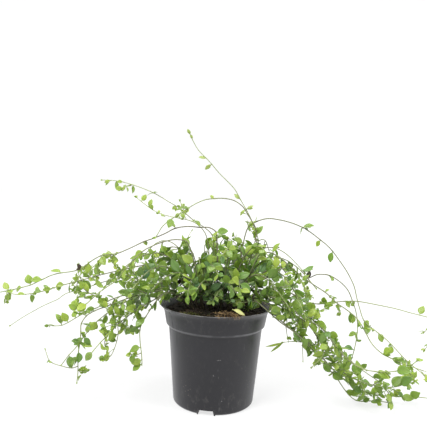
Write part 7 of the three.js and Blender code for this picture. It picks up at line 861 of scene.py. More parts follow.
        (0, 10, 158, -9.9, 128.1, -30, 9.6), (0, 10, 151.2, 11.8, 122.1, 63, 8.1),
        (0, 14, 184.5, -13.9, 107.8, -91, 10.6), (0, 14, 176, 9.7, 96.6, 44, 8),
        (0, 15, 184.7, -15.9, 96, -78, 10.2), (0, 15, 177.7, 2.7, 83.3, -179, 8.3),
        (0, 16, 205.2, -0.3, 85.4, -3, 9.1), (0, 16, 181.6, -2.7, 72.2, 13, 10.4),
        (0, 17, 195.7, -11.7, 68, -71, 8.1), (0, 17, 200.9, 17.2, 71.3, 99, 10.3),
        (0, 18, 213.5, 9.8, 66.3, -13, 8.3), (0, 18, 206.7, 3.1, 56.3, 149, 8.3),
        (0, 20, 232.5, -5.3, 64.5, -71, 7.9), (0, 20, 223.5, 12.8, 45.7, 41, 9),
        (0, 22, 254.2, -14.9, 47.3, -55, 11.4), (0, 22, 255.1, 0.3, 45.3, 68, 6.3),
        (0, 23, 255.1, -10.5, 34.8, -79, 6), (0, 23, 260.1, 5.8, 33.8, -13, 6.5),
        (0, 24, 271.8, -8.5, 24.8, -42, 6), (0, 24, 271.4, 8.4, 31.2, 41, 7), (1, 2, 234.5, -18.2, 24.7, -20, 5.6),
        (1, 2, 240.7, -20.6, 15.1, 114, 5.8), (1, 1, 254.1, -19.3, 32.9, -46, 6.6),
        (1, 1, 255.2, -12.2, 17.7, 9, 7.4), (2, 3, 172.9, -7.1, 154.9, -90, 4.9),
        (2, 3, 174.5, -1.7, 157.6, -125, 6.8), (2, 1, 154.8, -13.9, 144.3, -51, 10.4),
        (2, 1, 151.1, 4.6, 151.2, 124, 7.6), (2, 2, 163.6, -7.8, 143.7, 40, 5.1),
        (2, 2, 169.5, 1.3, 142.9, -17, 7.5), (3, 4, 152.2, -0.8, 60.7, 9, 5.9), (3, 4, 153.6, -2.5, 58.7, 11, 4.5),
        (3, 1, 177.9, 4.3, 66.1, 49, 7), (3, 1, 194.2, -13.6, 58.5, -62, 10), (3, 2, 173.3, -4.3, 71.2, 17, 6.5),
        (3, 2, 176.6, -1.8, 50.5, 49, 8.2), (3, 3, 166.7, 6.9, 63.1, 21, 6.5), (3, 3, 170.1, -3.1, 49.5, 28, 7.2),
        (4, 3, 140.7, -2.6, 93, -7, 6.7), (4, 3, 144.9, -5.4, 83.2, -52, 6.9), (4, 1, 154.5, -8.6, 98.5, 16, 8.1),
        (4, 1, 167.4, -4.9, 88, -139, 6.6), (4, 2, 157.4, 7.7, 91, 73, 5.7), (4, 2, 153.6, -9.8, 86.2, 14, 6.5),
        (5, 4, 104.3, 1.6, 120.2, -32, 5.3), (5, 4, 106.7, 0.5, 118.1, 149, 5.1),
        (5, 1, 98.6, -5.5, 138.1, -120, 8.5), (5, 1, 109.9, 11.2, 146.2, 37, 8.7),
        (5, 2, 100.9, -0.2, 135.4, -10, 5.8), (5, 2, 103.8, 11, 134.6, 25, 8.6),
        (5, 3, 102.2, -4.9, 123.4, -125, 7), (5, 3, 114.7, 9.1, 126.7, 47, 7.3),
        (1, 2, 248.8, -24.3, 26.4, 7, 6.6), (2, 3, 165.9, -11.1, 149.5, 14, 4.5),
        (0, 23, 246, -2.3, 32.3, -38, 5.1), (0, 11, 153.6, 6, 121.6, 105, 4.7),
        (0, 18, 212.8, 4.9, 75.9, -11, 5.5), (2, 2, 151.6, -4.1, 146.4, -55, 4.2),
        (0, 6, 110.7, -4.7, 152.2, 17, 6), (5, 4, 106.9, 11.2, 125.1, -24, 8.5),
        (3, 4, 160.4, -9.8, 67.1, -105, 6.3), (0, 13, 168.2, 2.6, 121, 20, 5.6), (0, 15, 189.5, 2.5, 99.4, 34, 5),
        (4, 3, 154.1, -10.2, 97.3, 92, 5.2),
    ]),
    ('shoot_a', [
        [(-27.6, 13.4, 137), (-32.4, 12.7, 147.3), (-37, 12, 157.7), (-43.5, 11.1, 172), (-50, 10, 185.2),
         (-58.1, 8.7, 198.1), (-68.5, 6.7, 209.8), (-80.4, 4.2, 218.2), (-90, 1.8, 221.3), (-100, -1, 221.2),
         (-113.7, -5.6, 217.4), (-119.9, -8.1, 214.3), (-132.7, -13.8, 205.6), (-143.4, -19.7, 196.1),
         (-153.2, -25.9, 185.6), (-161.6, -31.2, 176.4)],
        [(-119.9, -8.1, 214.3), (-125.1, -9.5, 203.3), (-125.9, -9.1, 191.4), (-122.5, -6.7, 176.5)],
    ], [
        (0, 7, -84.8, -3.9, 232.5, -74, 8.5), (0, 9, -113.1, 2.1, 211.2, -49, 10.1),
        (0, 15, -166.6, -35.3, 167.6, 3, 5.9), (0, 15, -165.6, -29.4, 168.5, -47, 5.6),
        (0, 2, -24.3, 6.7, 173.4, 2, 12.2), (0, 2, -38.8, 19.7, 172.8, -54, 9),
        (0, 3, -41.2, 18.2, 190.4, -53, 10.2), (0, 3, -56, 2.7, 177.9, 52, 8.3),
        (0, 4, -45.3, 8.5, 202, -29, 10.7), (0, 4, -61.7, -0.7, 183.8, 58, 8.8),
        (0, 5, -60.2, 12.7, 215.5, -123, 9.2), (0, 5, -72.1, 0.4, 204.8, 21, 10.5),
        (0, 6, -82.4, 18.1, 221.1, -124, 11.6), (0, 6, -89.4, -2.4, 214.2, 30, 12.3),
        (0, 11, -132.6, 3.8, 207, -38, 9.8), (0, 11, -119.3, -31.4, 212.6, 66, 12.5),
        (0, 12, -126.9, -25.3, 192.9, 102, 10.4), (0, 13, -152.5, -9.9, 185.1, 3, 10),
        (0, 13, -145.3, -23.2, 182.4, -11, 7.9), (0, 14, -143.9, -36.3, 180.6, 82, 7.8),
        (0, 14, -154.1, -34.5, 177.6, 64, 6.3), (1, 3, -121.9, -12.7, 164.5, 46, 7),
        (1, 3, -118.4, 0.5, 171.6, -49, 5.1), (1, 1, -137.3, -0.4, 197.8, -17, 10.2),
        (1, 2, -130.2, 1, 189.4, -84, 6.3), (1, 2, -115.8, -12.5, 180.3, 134, 8.9),
        (0, 10, -117.1, -6.2, 210.2, -96, 4.1), (0, 13, -151.4, -20, 195.4, -39, 4.5),
        (0, 11, -134.4, 2.8, 211.1, -36, 9.3), (1, 2, -135.5, -14.8, 196.3, -69, 6.9),
    ]),
    ('shoot_b', [
        [(-19.8, 16.8, 137), (-24.7, 17.1, 151.3), (-26.9, 17.2, 157.9), (-31.9, 17.4, 173), (-37.4, 17.9, 188),
         (-44.3, 18.8, 203.1), (-51.4, 20.1, 215.3), (-60.2, 22.3, 226.4), (-72.9, 26.9, 235.7),
         (-87.2, 34.6, 237.2), (-99.7, 44.1, 231.4), (-109.4, 54.5, 222.4), (-117.8, 65.1, 212.4)],
        [(-87.2, 34.6, 237.2), (-88.4, 34.3, 228.8), (-83.9, 30.3, 218.1), (-75, 23.8, 208.7)],
    ], [
        (0, 12, -122.5, 71.3, 204.4, -38, 7), (0, 12, -130.2, 67.8, 206.8, 23, 7.9),
        (0, 2, -20.1, 13.7, 175.3, 3, 11), (0, 2, -40.5, 18.9, 163.1, 120, 8.2), (0, 3, -25.2, 14, 196, -14, 13.6),
        (0, 3, -25.3, 5.1, 180.3, -9, 10.1), (0, 4, -24.7, 28.8, 203.3, -129, 11.5),
        (0, 4, -39.6, 4.8, 195.6, 83, 9.8), (0, 5, -45, 30.2, 221.6, -74, 11.6),
        (0, 5, -59.8, 11.5, 215.5, 144, 10.6), (0, 6, -66.4, 35.8, 218.5, 34, 11.2),
        (0, 6, -61.8, 12.8, 226.7, 52, 9.8), (0, 7, -52.1, 26.5, 242.8, -43, 10.9),
        (0, 11, -107, 58.5, 213.1, -118, 6.2), (1, 3, -72, 19.1, 198, 89, 6.2),
        (1, 3, -63.5, 20.3, 205.7, 51, 7.1), (1, 1, -85.2, 20.6, 220.8, 50, 8.7),
        (1, 1, -79.9, 31.4, 222.1, -76, 6), (1, 2, -89.9, 22.7, 211.6, 35, 6.7),
        (1, 2, -84.7, 36.8, 210, -74, 5.3), (0, 1, -33.1, 19.1, 149.9, -56, 5), (0, 1, -26.6, 4.6, 145.9, 27, 6.9),
        (0, 7, -61.2, 14, 230.3, 33, 5.4),
    ]),
    ('shoot_c', [
        [(-34.1, 6, 137), (-39.4, 3.8, 149.6), (-44.6, 1.7, 162.3), (-49.5, -0.4, 173.3), (-56.4, -3.9, 185.9),
         (-64.4, -8.7, 195.9), (-72.8, -14.3, 202.4), (-86.8, -24.7, 205.3), (-97.4, -33.6, 201.4),
         (-105.2, -40.9, 195.3), (-113.3, -49.3, 186.2), (-119.1, -55.8, 177.9), (-124.4, -62, 168.9),
         (-130.4, -69.2, 158.4)],
        [(-86.8, -24.7, 205.3), (-92.1, -24.2, 211.3), (-96.6, -17.8, 221.9)],
    ], [
        (0, 6, -90.3, -1.9, 204.9, -56, 13.4), (0, 10, -129.2, -42.8, 175.4, -14, 11.7),
        (0, 13, -137.2, -73.7, 152.2, 18, 5.6), (0, 13, -128.9, -75.2, 149.9, -18, 5.8),
        (0, 2, -57.7, -5.6, 170.2, -30, 8.8), (0, 2, -40, -4.3, 176.3, 44, 8.8),
        (0, 3, -44.5, -0.6, 189.7, -10, 10.8), (0, 4, -69.5, -6.1, 188.1, 51, 7.8),
        (0, 4, -55.8, -26.4, 187.6, 20, 14.1), (0, 5, -73.1, -25.1, 195.1, 52, 9.6),
        (0, 5, -74.2, -22, 200.1, 57, 10), (0, 7, -111, -21.2, 200.4, -38, 14.5),
        (0, 7, -91.9, -41.1, 215.3, 113, 10.2), (0, 8, -105.5, -42.7, 216.6, 130, 11),
        (0, 8, -109.9, -29.7, 186.7, -82, 11.9), (0, 9, -122.9, -32.6, 188.2, -9, 13.3),
        (0, 9, -112.9, -57.1, 205.1, 85, 11.5), (0, 11, -125.7, -69.7, 177.4, 167, 9),
        (0, 11, -122.5, -47.1, 165.3, -60, 9.6), (0, 12, -136, -66.6, 171.1, -11, 8),
        (0, 12, -117.9, -74.5, 170.1, 52, 8), (1, 2, -96.7, -11.9, 226.5, -39, 4.5),
        (1, 2, -104.3, -15.1, 229.6, -57, 6.6), (1, 1, -92.5, -12.9, 214.9, -52, 7.2),
        (1, 1, -102.4, -32.3, 214.8, 65, 7.2), (0, 10, -115.6, -57.5, 188.5, -128, 5.3),
        (0, 13, -129, -75.1, 163.6, -101, 4.1),
    ]),
    ('shoot_d', [
        [(-27.6, 3.2, 137), (-31.3, -0.2, 148.8), (-34.9, -3.7, 160.7), (-39.6, -8.2, 174.4),
         (-43.8, -12.3, 183.4), (-48.9, -17.7, 191.1), (-55.5, -24.3, 196.5), (-64.8, -32.9, 197),
         (-74.4, -40.3, 192.5), (-84, -46, 184.6), (-93.3, -49.1, 175.1), (-99.4, -50.7, 168.4)],
    ], [
        (0, 5, -66, -19.1, 202.5, -91, 11.9), (0, 11, -110.7, -51.8, 167.5, 11, 7),
        (0, 11, -102.4, -52.1, 153.9, 93, 7.8), (0, 2, -32, -1.5, 178.8, -170, 10.8),
        (0, 2, -55, -17, 161.1, 51, 12.5), (0, 3, -52.4, -18.5, 172.5, 49, 10.1),
        (0, 3, -33.6, -24.6, 180.5, 97, 10.6), (0, 6, -69.2, -19.9, 215.8, -59, 12.4),
        (0, 6, -57.5, -47.7, 187.9, 41, 15.8), (0, 7, -86.2, -23, 196.5, -129, 14.3),
        (0, 7, -62.9, -53.8, 199.3, -25, 12.3), (0, 8, -88.8, -43.8, 194.5, 20, 9),
        (0, 8, -70.4, -54, 190.6, 39, 8), (0, 9, -87.9, -33.4, 174.4, -28, 8.8),
        (0, 9, -88.7, -57.7, 185.1, 6, 7.7), (0, 10, -108.8, -46.3, 177.3, -20, 9.7),
        (0, 10, -99.9, -61.4, 168.6, 73, 8.9),
    ]),
    ('shoot_e', [
        [(-21.8, -0.7, 137), (-23.7, -6, 150.3), (-25.5, -11.5, 163.5), (-27.6, -17.6, 175.2), (-30.7, -27, 186.6),
         (-33.6, -37.2, 192.5), (-36.6, -50.7, 193.1), (-38.8, -63.6, 188.8), (-39.9, -74.9, 181.8),
         (-40.3, -82.2, 176.4)],
    ], [
        (0, 4, -46.5, -33.2, 183.8, -13, 10.1), (0, 9, -38.1, -91.7, 171.2, 66, 5.7),
        (0, 9, -39.1, -85.8, 164.3, 27, 7), (0, 2, -16.5, -20.2, 170.9, -22, 7.3),
        (0, 2, -32.8, -25.5, 165.3, 75, 8.3), (0, 3, -18.4, -23.1, 185.7, 5, 9.3),
        (0, 5, -45.8, -38.9, 213.3, -138, 12.9), (0, 5, -28.5, -54.6, 188.1, 43, 10.4),
        (0, 6, -50, -60, 200, -16, 11.1), (0, 6, -31.1, -59.5, 203, 77, 7.8),
        (0, 7, -45.9, -78.5, 199.1, 168, 10.1), (0, 7, -31.3, -63.7, 169.6, 49, 12.6),
        (0, 8, -56.1, -79, 177.4, -8, 9.8), (0, 8, -25.8, -80.8, 185.6, 11, 8),
    ]),
    ('shoot_f', [
        [(-9.2, -4.4, 137), (-10, -9.4, 148.7), (-10.8, -14.5, 160.3), (-12, -21.2, 172.4), (-14.1, -31.8, 184.6),
         (-17.5, -46.1, 191.3), (-22.1, -60, 190.1), (-26, -68.4, 185.9), (-30.5, -75.6, 180.3)],
    ], [
        (0, 8, -33.9, -87.2, 176.1, 27, 7.3), (0, 8, -31.9, -85.7, 169.9, 28, 9.3),
        (0, 2, 3.3, -21.1, 177.9, 89, 13.3), (0, 2, -18.9, -34.6, 159.4, -13, 12.5),
        (0, 3, -14.1, -42.7, 168.8, 17, 11), (0, 3, 6.1, -30.3, 183.5, 70, 12.5),
        (0, 4, -16.2, -35.5, 201.8, -133, 10.7), (0, 4, -19.3, -47.7, 182.1, 5, 10.2),
        (0, 5, -6.8, -55.4, 192.8, 21, 8.4), (0, 5, -14.6, -50.4, 205, -172, 8.4),
        (0, 6, -18.4, -68.5, 197.9, -145, 7.2), (0, 6, -17.4, -70.6, 181.3, -21, 7.3),
    ]),
    ('shoot_g', [
        [(6.3, -5.8, 137), (6.9, -12, 150.6), (7.3, -15.3, 157.7), (7.9, -20.5, 167.3), (8.9, -27, 176.1),
         (10.2, -34.6, 183.2), (12.1, -43.6, 188.1), (16.2, -58.2, 189.4), (21.3, -70.1, 185.7),
         (26.8, -78.7, 180.3)],
        [(8.9, -27, 176.1), (4.3, -37.5, 176), (-1.9, -45.6, 168.3), (-5.1, -48.6, 162.7)],
    ], [
        (0, 4, 16.9, -33.3, 193.4, 129, 10.2), (0, 9, 32.9, -89.1, 180.5, 43, 6.6),
        (0, 9, 33.5, -82.7, 170.1, -13, 6.8), (0, 2, 3.8, -3.4, 172.9, 16, 11),
        (0, 2, 13.1, -34.8, 157.9, -12, 13), (0, 6, 3.7, -58.6, 192.6, -23, 10.1),
        (0, 6, 30.3, -47.8, 190.7, 27, 9.5), (0, 7, 9, -69.9, 203.7, 42, 10.3), (0, 7, 17.5, -69.2, 181.2, 4, 8.5),
        (0, 8, 17.9, -80.3, 173.3, -54, 8.6), (0, 8, 35.9, -71.3, 180.9, 46, 8.7),
        (1, 3, -14.6, -49.8, 157.7, -70, 6.5), (1, 3, -4.7, -55.2, 156.4, -15, 5.1),
        (1, 1, -3.3, -38.7, 165.9, 101, 6.5), (1, 1, 9.1, -47.7, 168.3, 56, 8.7),
        (1, 2, 1.7, -52.7, 161.3, 12, 6.6), (1, 2, 0.7, -42, 154.9, 153, 7.4), (0, 2, 14.2, -13.2, 161, 17, 5.2),
        (0, 1, 9.7, 2.1, 152.3, 4, 8.5), (1, 3, -11.4, -50.2, 167.5, -78, 5.1),
    ]),
    ('shoot_h', [
        [(17.8, -2.8, 137), (19.5, -7.9, 151.1), (20.7, -11.8, 161.5), (22, -16.2, 171.8), (23.7, -22.8, 182.3),
         (25.9, -32.6, 191.7), (28.4, -47.1, 195.5), (30.1, -63, 191.4), (30.3, -75.1, 184), (30.1, -82.2, 178.4)],
    ], [
        (0, 1, 14.3, -7.2, 167.2, -48, 9.5), (0, 9, 33.2, -93.9, 176.6, 16, 7.7),
        (0, 9, 35.5, -87.6, 172.5, -3, 5.4), (0, 3, 22.4, -3.3, 190.4, 39, 11.9),
        (0, 3, 39.5, -30.9, 179.6, -2, 14.2), (0, 4, 28.8, -22.7, 197.5, -158, 8.4),
        (0, 4, 40.8, -24.5, 188.9, 73, 11.3), (0, 5, 15.1, -41.8, 205, -60, 11.3),
        (0, 5, 41.8, -30.5, 202, 80, 10.4), (0, 6, 24.7, -54.6, 212.1, -167, 9.7),
        (0, 6, 45.6, -49.2, 204, 48, 11.6), (0, 7, 19.1, -78.7, 200.6, -69, 12.5),
        (0, 7, 46.2, -64.7, 182.5, 63, 10.3), (0, 8, 28.9, -85.3, 190.3, -61, 6.9),
        (0, 8, 44.5, -84.3, 183.9, 33, 9.1),
    ]),
    ('shoot_i', [
        [(27.4, 3.4, 137), (31.3, -1.1, 150.6), (34.1, -4.3, 160.7), (38.2, -8.9, 173.5), (44.2, -15.7, 187),
         (53, -25.3, 197.2), (61.8, -34.3, 199.4), (72.1, -43.5, 194.8), (76, -46.7, 191.5), (81.6, -50.6, 185.8),
         (90.9, -55.2, 174.2), (101.9, -58.9, 158.5)],
        [(81.6, -50.6, 185.8), (90, -53, 186.5), (101.5, -55.4, 189.3), (111.3, -56.5, 193.4),
         (118.3, -56.7, 197.4)],
    ], [
        (0, 11, 105.4, -58.2, 150.7, 27, 4.8), (0, 2, 21.9, -23, 168, -145, 14.4),
        (0, 2, 52.3, -4.3, 170.4, -105, 13.1), (0, 3, 28.3, -11.7, 196.2, -49, 13.6),
        (0, 3, 57.8, -17.5, 184.8, 3, 13.7), (0, 4, 44, -37.2, 195.6, -66, 12),
        (0, 4, 60.3, -13, 197.4, 127, 11.2), (0, 5, 70, -31, 192.4, 62, 10.8), (0, 5, 62, -18.4, 213.2, 111, 12),
        (0, 6, 56.3, -48.4, 207.1, -36, 8.7), (0, 6, 75.9, -33.3, 205.3, 147, 8.4),
        (0, 7, 83, -56.3, 212.2, -59, 13.9), (0, 7, 64.4, -52.7, 186.5, -82, 8.4),
        (0, 9, 86.6, -63.5, 193.7, -65, 8.2), (0, 9, 95, -38, 181.1, 101, 9.6),
        (0, 10, 102.7, -63.7, 182.2, 8, 9.3), (0, 10, 83.3, -47.5, 160, -126, 9.4),
        (1, 4, 124.6, -63.2, 206.3, 30, 7.5), (1, 4, 126.9, -49.9, 202.6, 82, 7.1),
        (1, 1, 92.5, -54.2, 198.2, -103, 6.5), (1, 1, 103.8, -46.1, 180.9, 20, 8.4),
        (1, 2, 107.3, -59.8, 201.8, 64, 8.5), (1, 2, 108.8, -51, 193.5, 32, 5.5),
        (1, 3, 111.8, -66.7, 198.6, -67, 6.4), (1, 3, 120.5, -46, 195.9, 76, 7.8),
        (0, 9, 84.2, -36.3, 179.9, 84, 10.1), (1, 2, 101.4, -61.2, 183.8, 16, 5.1),
        (0, 7, 77.2, -49.6, 195.7, 151, 4.1), (0, 8, 77.8, -37.8, 189.6, -15, 5.5),
        (0, 1, 25.3, -8.8, 145.6, -29, 7.2), (0, 10, 104.7, -50.5, 171.7, 69, 8),
        (1, 3, 107.5, -64, 194.4, -91, 5.4),
    ]),
    ('shoot_j', [
        [(37.3, 10.9, 137), (42.5, 6.7, 150.5), (46.3, 3.7, 160.5), (50.2, 0.6, 170.3), (55, -3.1, 181),
         (65.3, -10.4, 196.3), (71.9, -15, 202), (83.4, -24.1, 205.3), (94.8, -34.5, 200.3), (101.7, -41.6, 192.9),
         (104.7, -44.8, 188.8), (108.8, -49.5, 182.2), (111.3, -52.4, 177.6), (114.2, -56, 171.4),
         (118.7, -61.7, 161.1), (124, -68.6, 148.5)],
    ], [
        (0, 1, 47.6, 8.1, 168.6, 75, 10.8), (0, 5, 73.3, -4.6, 213.9, 50, 10.8),
        (0, 10, 112.7, -62.5, 187.7, 24, 9.8), (0, 15, 126.3, -69.8, 133.9, 45, 8),
        (0, 15, 133.5, -73, 142, -31, 6.2), (0, 3, 59.8, -8.4, 168.3, -63, 6.8), (0, 3, 58.3, 11.4, 179, 111, 9.7),
        (0, 4, 62.4, -14.6, 184.6, -61, 8.7), (0, 4, 74.7, -11.8, 183.2, -62, 11.5),
        (0, 6, 77.3, -35.3, 207.1, -79, 12.2), (0, 6, 78.7, -12.7, 219.5, 103, 10.3),
        (0, 7, 95.5, -30.9, 216.8, 10, 9.9), (0, 7, 97.2, -21.7, 191.6, 25, 10.9),
        (0, 8, 108.3, -36, 184.3, 53, 11.5), (0, 8, 109.2, -38.7, 204.6, 23, 8.4),
        (0, 11, 123.9, -62.6, 180.1, 119, 10.3), (0, 11, 119.7, -47.5, 171.8, 61, 8.3),
        (0, 13, 129.9, -58, 174.1, 175, 9), (0, 13, 129.4, -54.5, 165.3, 8, 10.3),
        (0, 14, 129, -75.3, 156.5, -50, 10.7), (0, 14, 115.4, -60.7, 149.2, -116, 6.6),
        (0, 9, 104.2, -44.5, 203.7, 140, 6.2), (0, 12, 106.4, -64.5, 183.4, -78, 8),
    ]),
    ('shoot_k', [
        [(23.6, 11.5, 137), (29.1, 10.8, 148.9), (34.5, 10.1, 160.9), (40.3, 9.4, 173.8), (46.6, 8.5, 186.5),
         (53.7, 7.5, 198.1), (61.5, 6.1, 208), (71.9, 4.4, 216.7), (82.8, 3, 221.2), (94.8, 2.1, 220.8),
         (107.4, 1.9, 216.3), (120.5, 2.8, 207.8), (127.8, 3.9, 201.7), (140.6, 7.2, 188.4), (151.6, 10.6, 176)],
    ], [
        (0, 12, 144.6, -2.9, 205.8, 21, 9.4), (0, 2, 45.9, 19.2, 163.1, 69, 8.2),
        (0, 2, 53.1, 17.9, 171.2, 73, 13), (0, 4, 65.3, 4.9, 191.8, -76, 11.3), (0, 5, 45, -1.9, 208.4, -102, 9.6),
        (0, 5, 70.4, 10.3, 199.9, 22, 10.9), (0, 6, 80.5, 3.3, 213.5, 47, 11.9),
        (0, 6, 62.2, 18, 224.7, -148, 11.6), (0, 7, 82.2, -7.3, 220.1, -61, 8.2),
        (0, 8, 86.9, 15.1, 221.2, 150, 6.9), (0, 8, 94.5, -6.3, 221.3, 40, 8.9),
        (0, 9, 97.7, 19.2, 213.5, 46, 10.6), (0, 10, 107.8, 0.3, 200.9, -67, 9.9),
        (0, 10, 112.2, 8.5, 202.6, 3, 9.2), (0, 11, 120.2, 9.3, 190.2, 118, 10.3),
        (0, 13, 136.4, 18.5, 186, 19, 6.5), (0, 13, 132.3, 10.8, 176.1, 51, 7.6),
    ]),
    ('shoot_l', [
        [(22.5, 18.4, 137), (26.8, 18.9, 149.8), (30.9, 19.5, 162.6), (34.7, 20.8, 175.3), (40.3, 22.2, 189.3),
         (46.9, 22, 203.4), (54.6, 23.1, 216.2), (62.6, 24.7, 225.3), (73.8, 26.8, 232.2), (86.9, 29, 233.1),
         (101.5, 30.7, 227.6), (114.2, 31.2, 218.5), (125.6, 30.3, 207.7), (136.5, 29.2, 196.4)],
    ], [
        (0, 13, 143.2, 24, 189.1, -32, 6.7), (0, 13, 145.7, 26.8, 194.5, -1, 5.1),
        (0, 2, 27.5, 22.9, 174.4, 69, 7), (0, 2, 38.8, 28.7, 169.1, 132, 7.5), (0, 3, 22.1, 28.7, 184.6, 61, 10.8),
        (0, 3, 47.9, 32, 176, -49, 9.2), (0, 4, 33.4, 28, 207.4, 156, 10.3), (0, 4, 49.6, 39.3, 190.9, -31, 11.9),
        (0, 5, 42, 37.7, 213.4, -13, 11.9), (0, 6, 43.5, 27.6, 229.7, 120, 9.9),
        (0, 7, 69.6, 7.3, 234.4, -50, 11.3), (0, 7, 77.3, 37.9, 215.4, -61, 12),
        (0, 9, 94.4, 26.1, 215.8, -37, 11.4), (0, 9, 95.8, 15.8, 234.5, -21, 9.1),
        (0, 13, 151.4, 28.6, 206.6, 39, 9.1),
    ]),
    ('shoot_m', [
        [(24, 31.1, 137), (26.3, 31.8, 149.2), (28.5, 32.3, 161.4), (30.9, 32.9, 174.5), (34.2, 34.1, 190.4),
         (37.5, 36.4, 203.2), (39.7, 38.6, 210.2), (42.5, 41.9, 217), (49.2, 51.6, 225.1), (55, 62.4, 222.6),
         (59.3, 73.2, 214.7), (62.3, 83.6, 203.8), (63.8, 91.2, 194.3), (65.3, 100.3, 182.5)],
        [(39.7, 38.6, 210.2), (37.1, 39.9, 221.3), (32.2, 40.2, 230.6), (24.2, 39.4, 238.8), (17.9, 38.3, 243)],
        [(63.8, 91.2, 194.3), (70.7, 94.2, 190.4), (80.5, 96.2, 186), (92.2, 95.9, 181.9), (102.4, 94, 179)],
    ], [
        (0, 13, 74.3, 107.3, 176.8, 4, 7), (0, 13, 59.6, 110.4, 176.6, 16, 7.3),
        (0, 2, 21.6, 41.9, 181.3, 17, 13.8), (0, 2, 43, 37.3, 168.3, -19, 9.9),
        (0, 3, 38.6, 53.5, 182.2, -38, 12.3), (0, 3, 24.5, 37.5, 191.7, 36, 10.3), (0, 4, 21, 44, 199.4, -10, 9.6),
        (0, 4, 50.3, 36.6, 202.4, -49, 11.9), (0, 5, 33.6, 43.3, 216, 98, 8.8), (0, 5, 49.9, 49.6, 214.7, 29, 12),
        (0, 7, 36.4, 32.1, 233.8, 89, 11.8), (0, 7, 34, 62.9, 226.7, 71, 12.7), (0, 8, 46.9, 61, 235.6, 4, 8.9),
        (0, 8, 40.7, 65.1, 214.3, 73, 10.6), (0, 9, 68.6, 57, 205.4, 16, 11.8),
        (0, 9, 42.7, 78.3, 228.8, 36, 11.5), (0, 10, 54.7, 77.8, 204.6, 159, 6.2),
        (0, 10, 56.2, 62.9, 198.7, 60, 11.3), (0, 11, 75.2, 88.1, 196.4, -12, 8.8),
        (0, 11, 55.3, 102.5, 202.1, 49, 11), (0, 12, 68.9, 104.3, 193.9, 107, 7.4),
        (0, 12, 55.2, 90.1, 181.4, 107, 8.9), (1, 4, 9.9, 34.4, 246.4, 73, 5.3), (1, 4, 11, 39.6, 247.4, 118, 4.3),
        (1, 1, 25.2, 52.4, 226.4, 29, 9.6), (1, 1, 28.5, 33.5, 228, 25, 7.4), (1, 2, 34.9, 35.7, 241, -17, 6.6),
        (1, 2, 20.1, 45.5, 231.1, 22, 6.9), (1, 3, 24, 47.9, 246, 82, 6.4), (1, 3, 28.3, 37.1, 252.1, -172, 7.3),
        (2, 4, 109.9, 85.9, 178.1, -62, 6.7), (2, 4, 112.1, 98.1, 172.5, -57, 7.7),
        (2, 1, 79.1, 80.6, 190.3, -11, 10.2), (2, 1, 81.4, 109, 187.2, -12, 10.4),
        (2, 2, 91, 88.1, 198.1, -97, 10.6), (2, 2, 86.8, 102.7, 175.7, -30, 7.7),
        (2, 3, 96.2, 84.8, 184.1, -49, 6), (2, 3, 100.6, 105.8, 180.2, 27, 7.9),
    ]),
    ('shoot_n', [
        [(10.3, 33.8, 137), (11.7, 36.3, 148.3), (13, 38.8, 159.7), (14.7, 42.2, 174.5), (16.9, 46.8, 189.5),
         (19.2, 52.1, 200.4), (23.7, 62.7, 211.4), (28.8, 73.3, 212.7), (35.4, 85, 205.5), (40.3, 92.8, 196.2),
         (46.1, 99.9, 183.9), (49.4, 103.3, 176), (51.9, 105.6, 169.8), (56.6, 109.8, 158.5), (59.9, 112.8, 150.5)],
        [(28.8, 73.3, 212.7), (26.3, 81.8, 219.3), (21.7, 86.8, 226.8), (15.9, 89.9, 234.8)],
        [(49.4, 103.3, 176), (57.8, 109, 179.2), (66, 114, 186), (74, 117.7, 198.9)],
        [(56.6, 109.8, 158.5), (56.1, 119, 154.1), (53.4, 131.4, 150.3), (49.9, 140.8, 148.8),
         (44.1, 152.3, 148.5)],
    ], [
        (0, 14, 67.2, 111.5, 139.6, -42, 7.2), (0, 14, 65.6, 123.1, 146.4, -11, 7.2),
        (0, 2, 4.5, 47.6, 172.5, 54, 9), (0, 2, -0.9, 51, 168.4, 46, 10.6), (0, 3, 11.6, 34.2, 193.2, 5, 10.8),
        (0, 3, 1.6, 53.7, 182.5, 62, 10.2), (0, 4, 31, 49.5, 201.6, -105, 10.1),
        (0, 4, 0.5, 52.1, 197.2, 26, 10.5), (0, 5, 28.5, 45.2, 218.9, 6, 11.9), (0, 5, 18, 74.4, 201.4, 32, 11.7),
        (0, 6, 31.3, 67.7, 231.5, 179, 11.6), (0, 6, 19.8, 85.9, 216.7, 49, 13.2),
        (0, 7, 36.8, 86.9, 221.5, -29, 11.3), (0, 7, 35.3, 80, 223.8, 155, 7.4),
        (0, 8, 39.5, 96.1, 214.8, -13, 8.9), (0, 8, 23.7, 95.3, 196.4, 88, 10.2),
        (0, 9, 58, 103.2, 207.7, -48, 14.3), (0, 9, 25.6, 93.4, 180.7, 25, 10.9),
        (0, 10, 59.7, 103.9, 189.1, -87, 7.9), (0, 10, 33, 111, 179.7, 41, 9.7),
        (0, 12, 66.1, 112.2, 170.8, -44, 8.6), (0, 12, 59.2, 92.9, 163.2, 33, 9.6),
        (0, 13, 70.5, 105, 152.4, 1, 8.7), (0, 13, 52.7, 119.4, 150.8, 51, 7.7), (1, 3, 12.7, 99, 242.2, 175, 6.2),
        (1, 3, 9.1, 88.9, 244.3, 58, 6.2), (1, 1, 29.4, 93.9, 218.6, -7, 6.4), (1, 1, 19.9, 82.4, 230.5, 114, 7.9),
        (1, 2, 23.2, 90.6, 237, 68, 6.4), (1, 2, 7.4, 88.1, 224, 11, 9.1), (2, 3, 81.3, 114, 208, -69, 7.6),
        (2, 3, 75.3, 123.4, 207.3, 37, 6.4), (2, 1, 63.8, 120.7, 174.6, 0, 8.8),
        (2, 1, 57.4, 123.6, 187.1, 18, 8.3), (2, 2, 71, 110.8, 199.8, -86, 8.8),
        (2, 2, 73.8, 127.2, 186.9, 31, 8.3), (3, 4, 43.3, 161.5, 152.3, -19, 6.1),
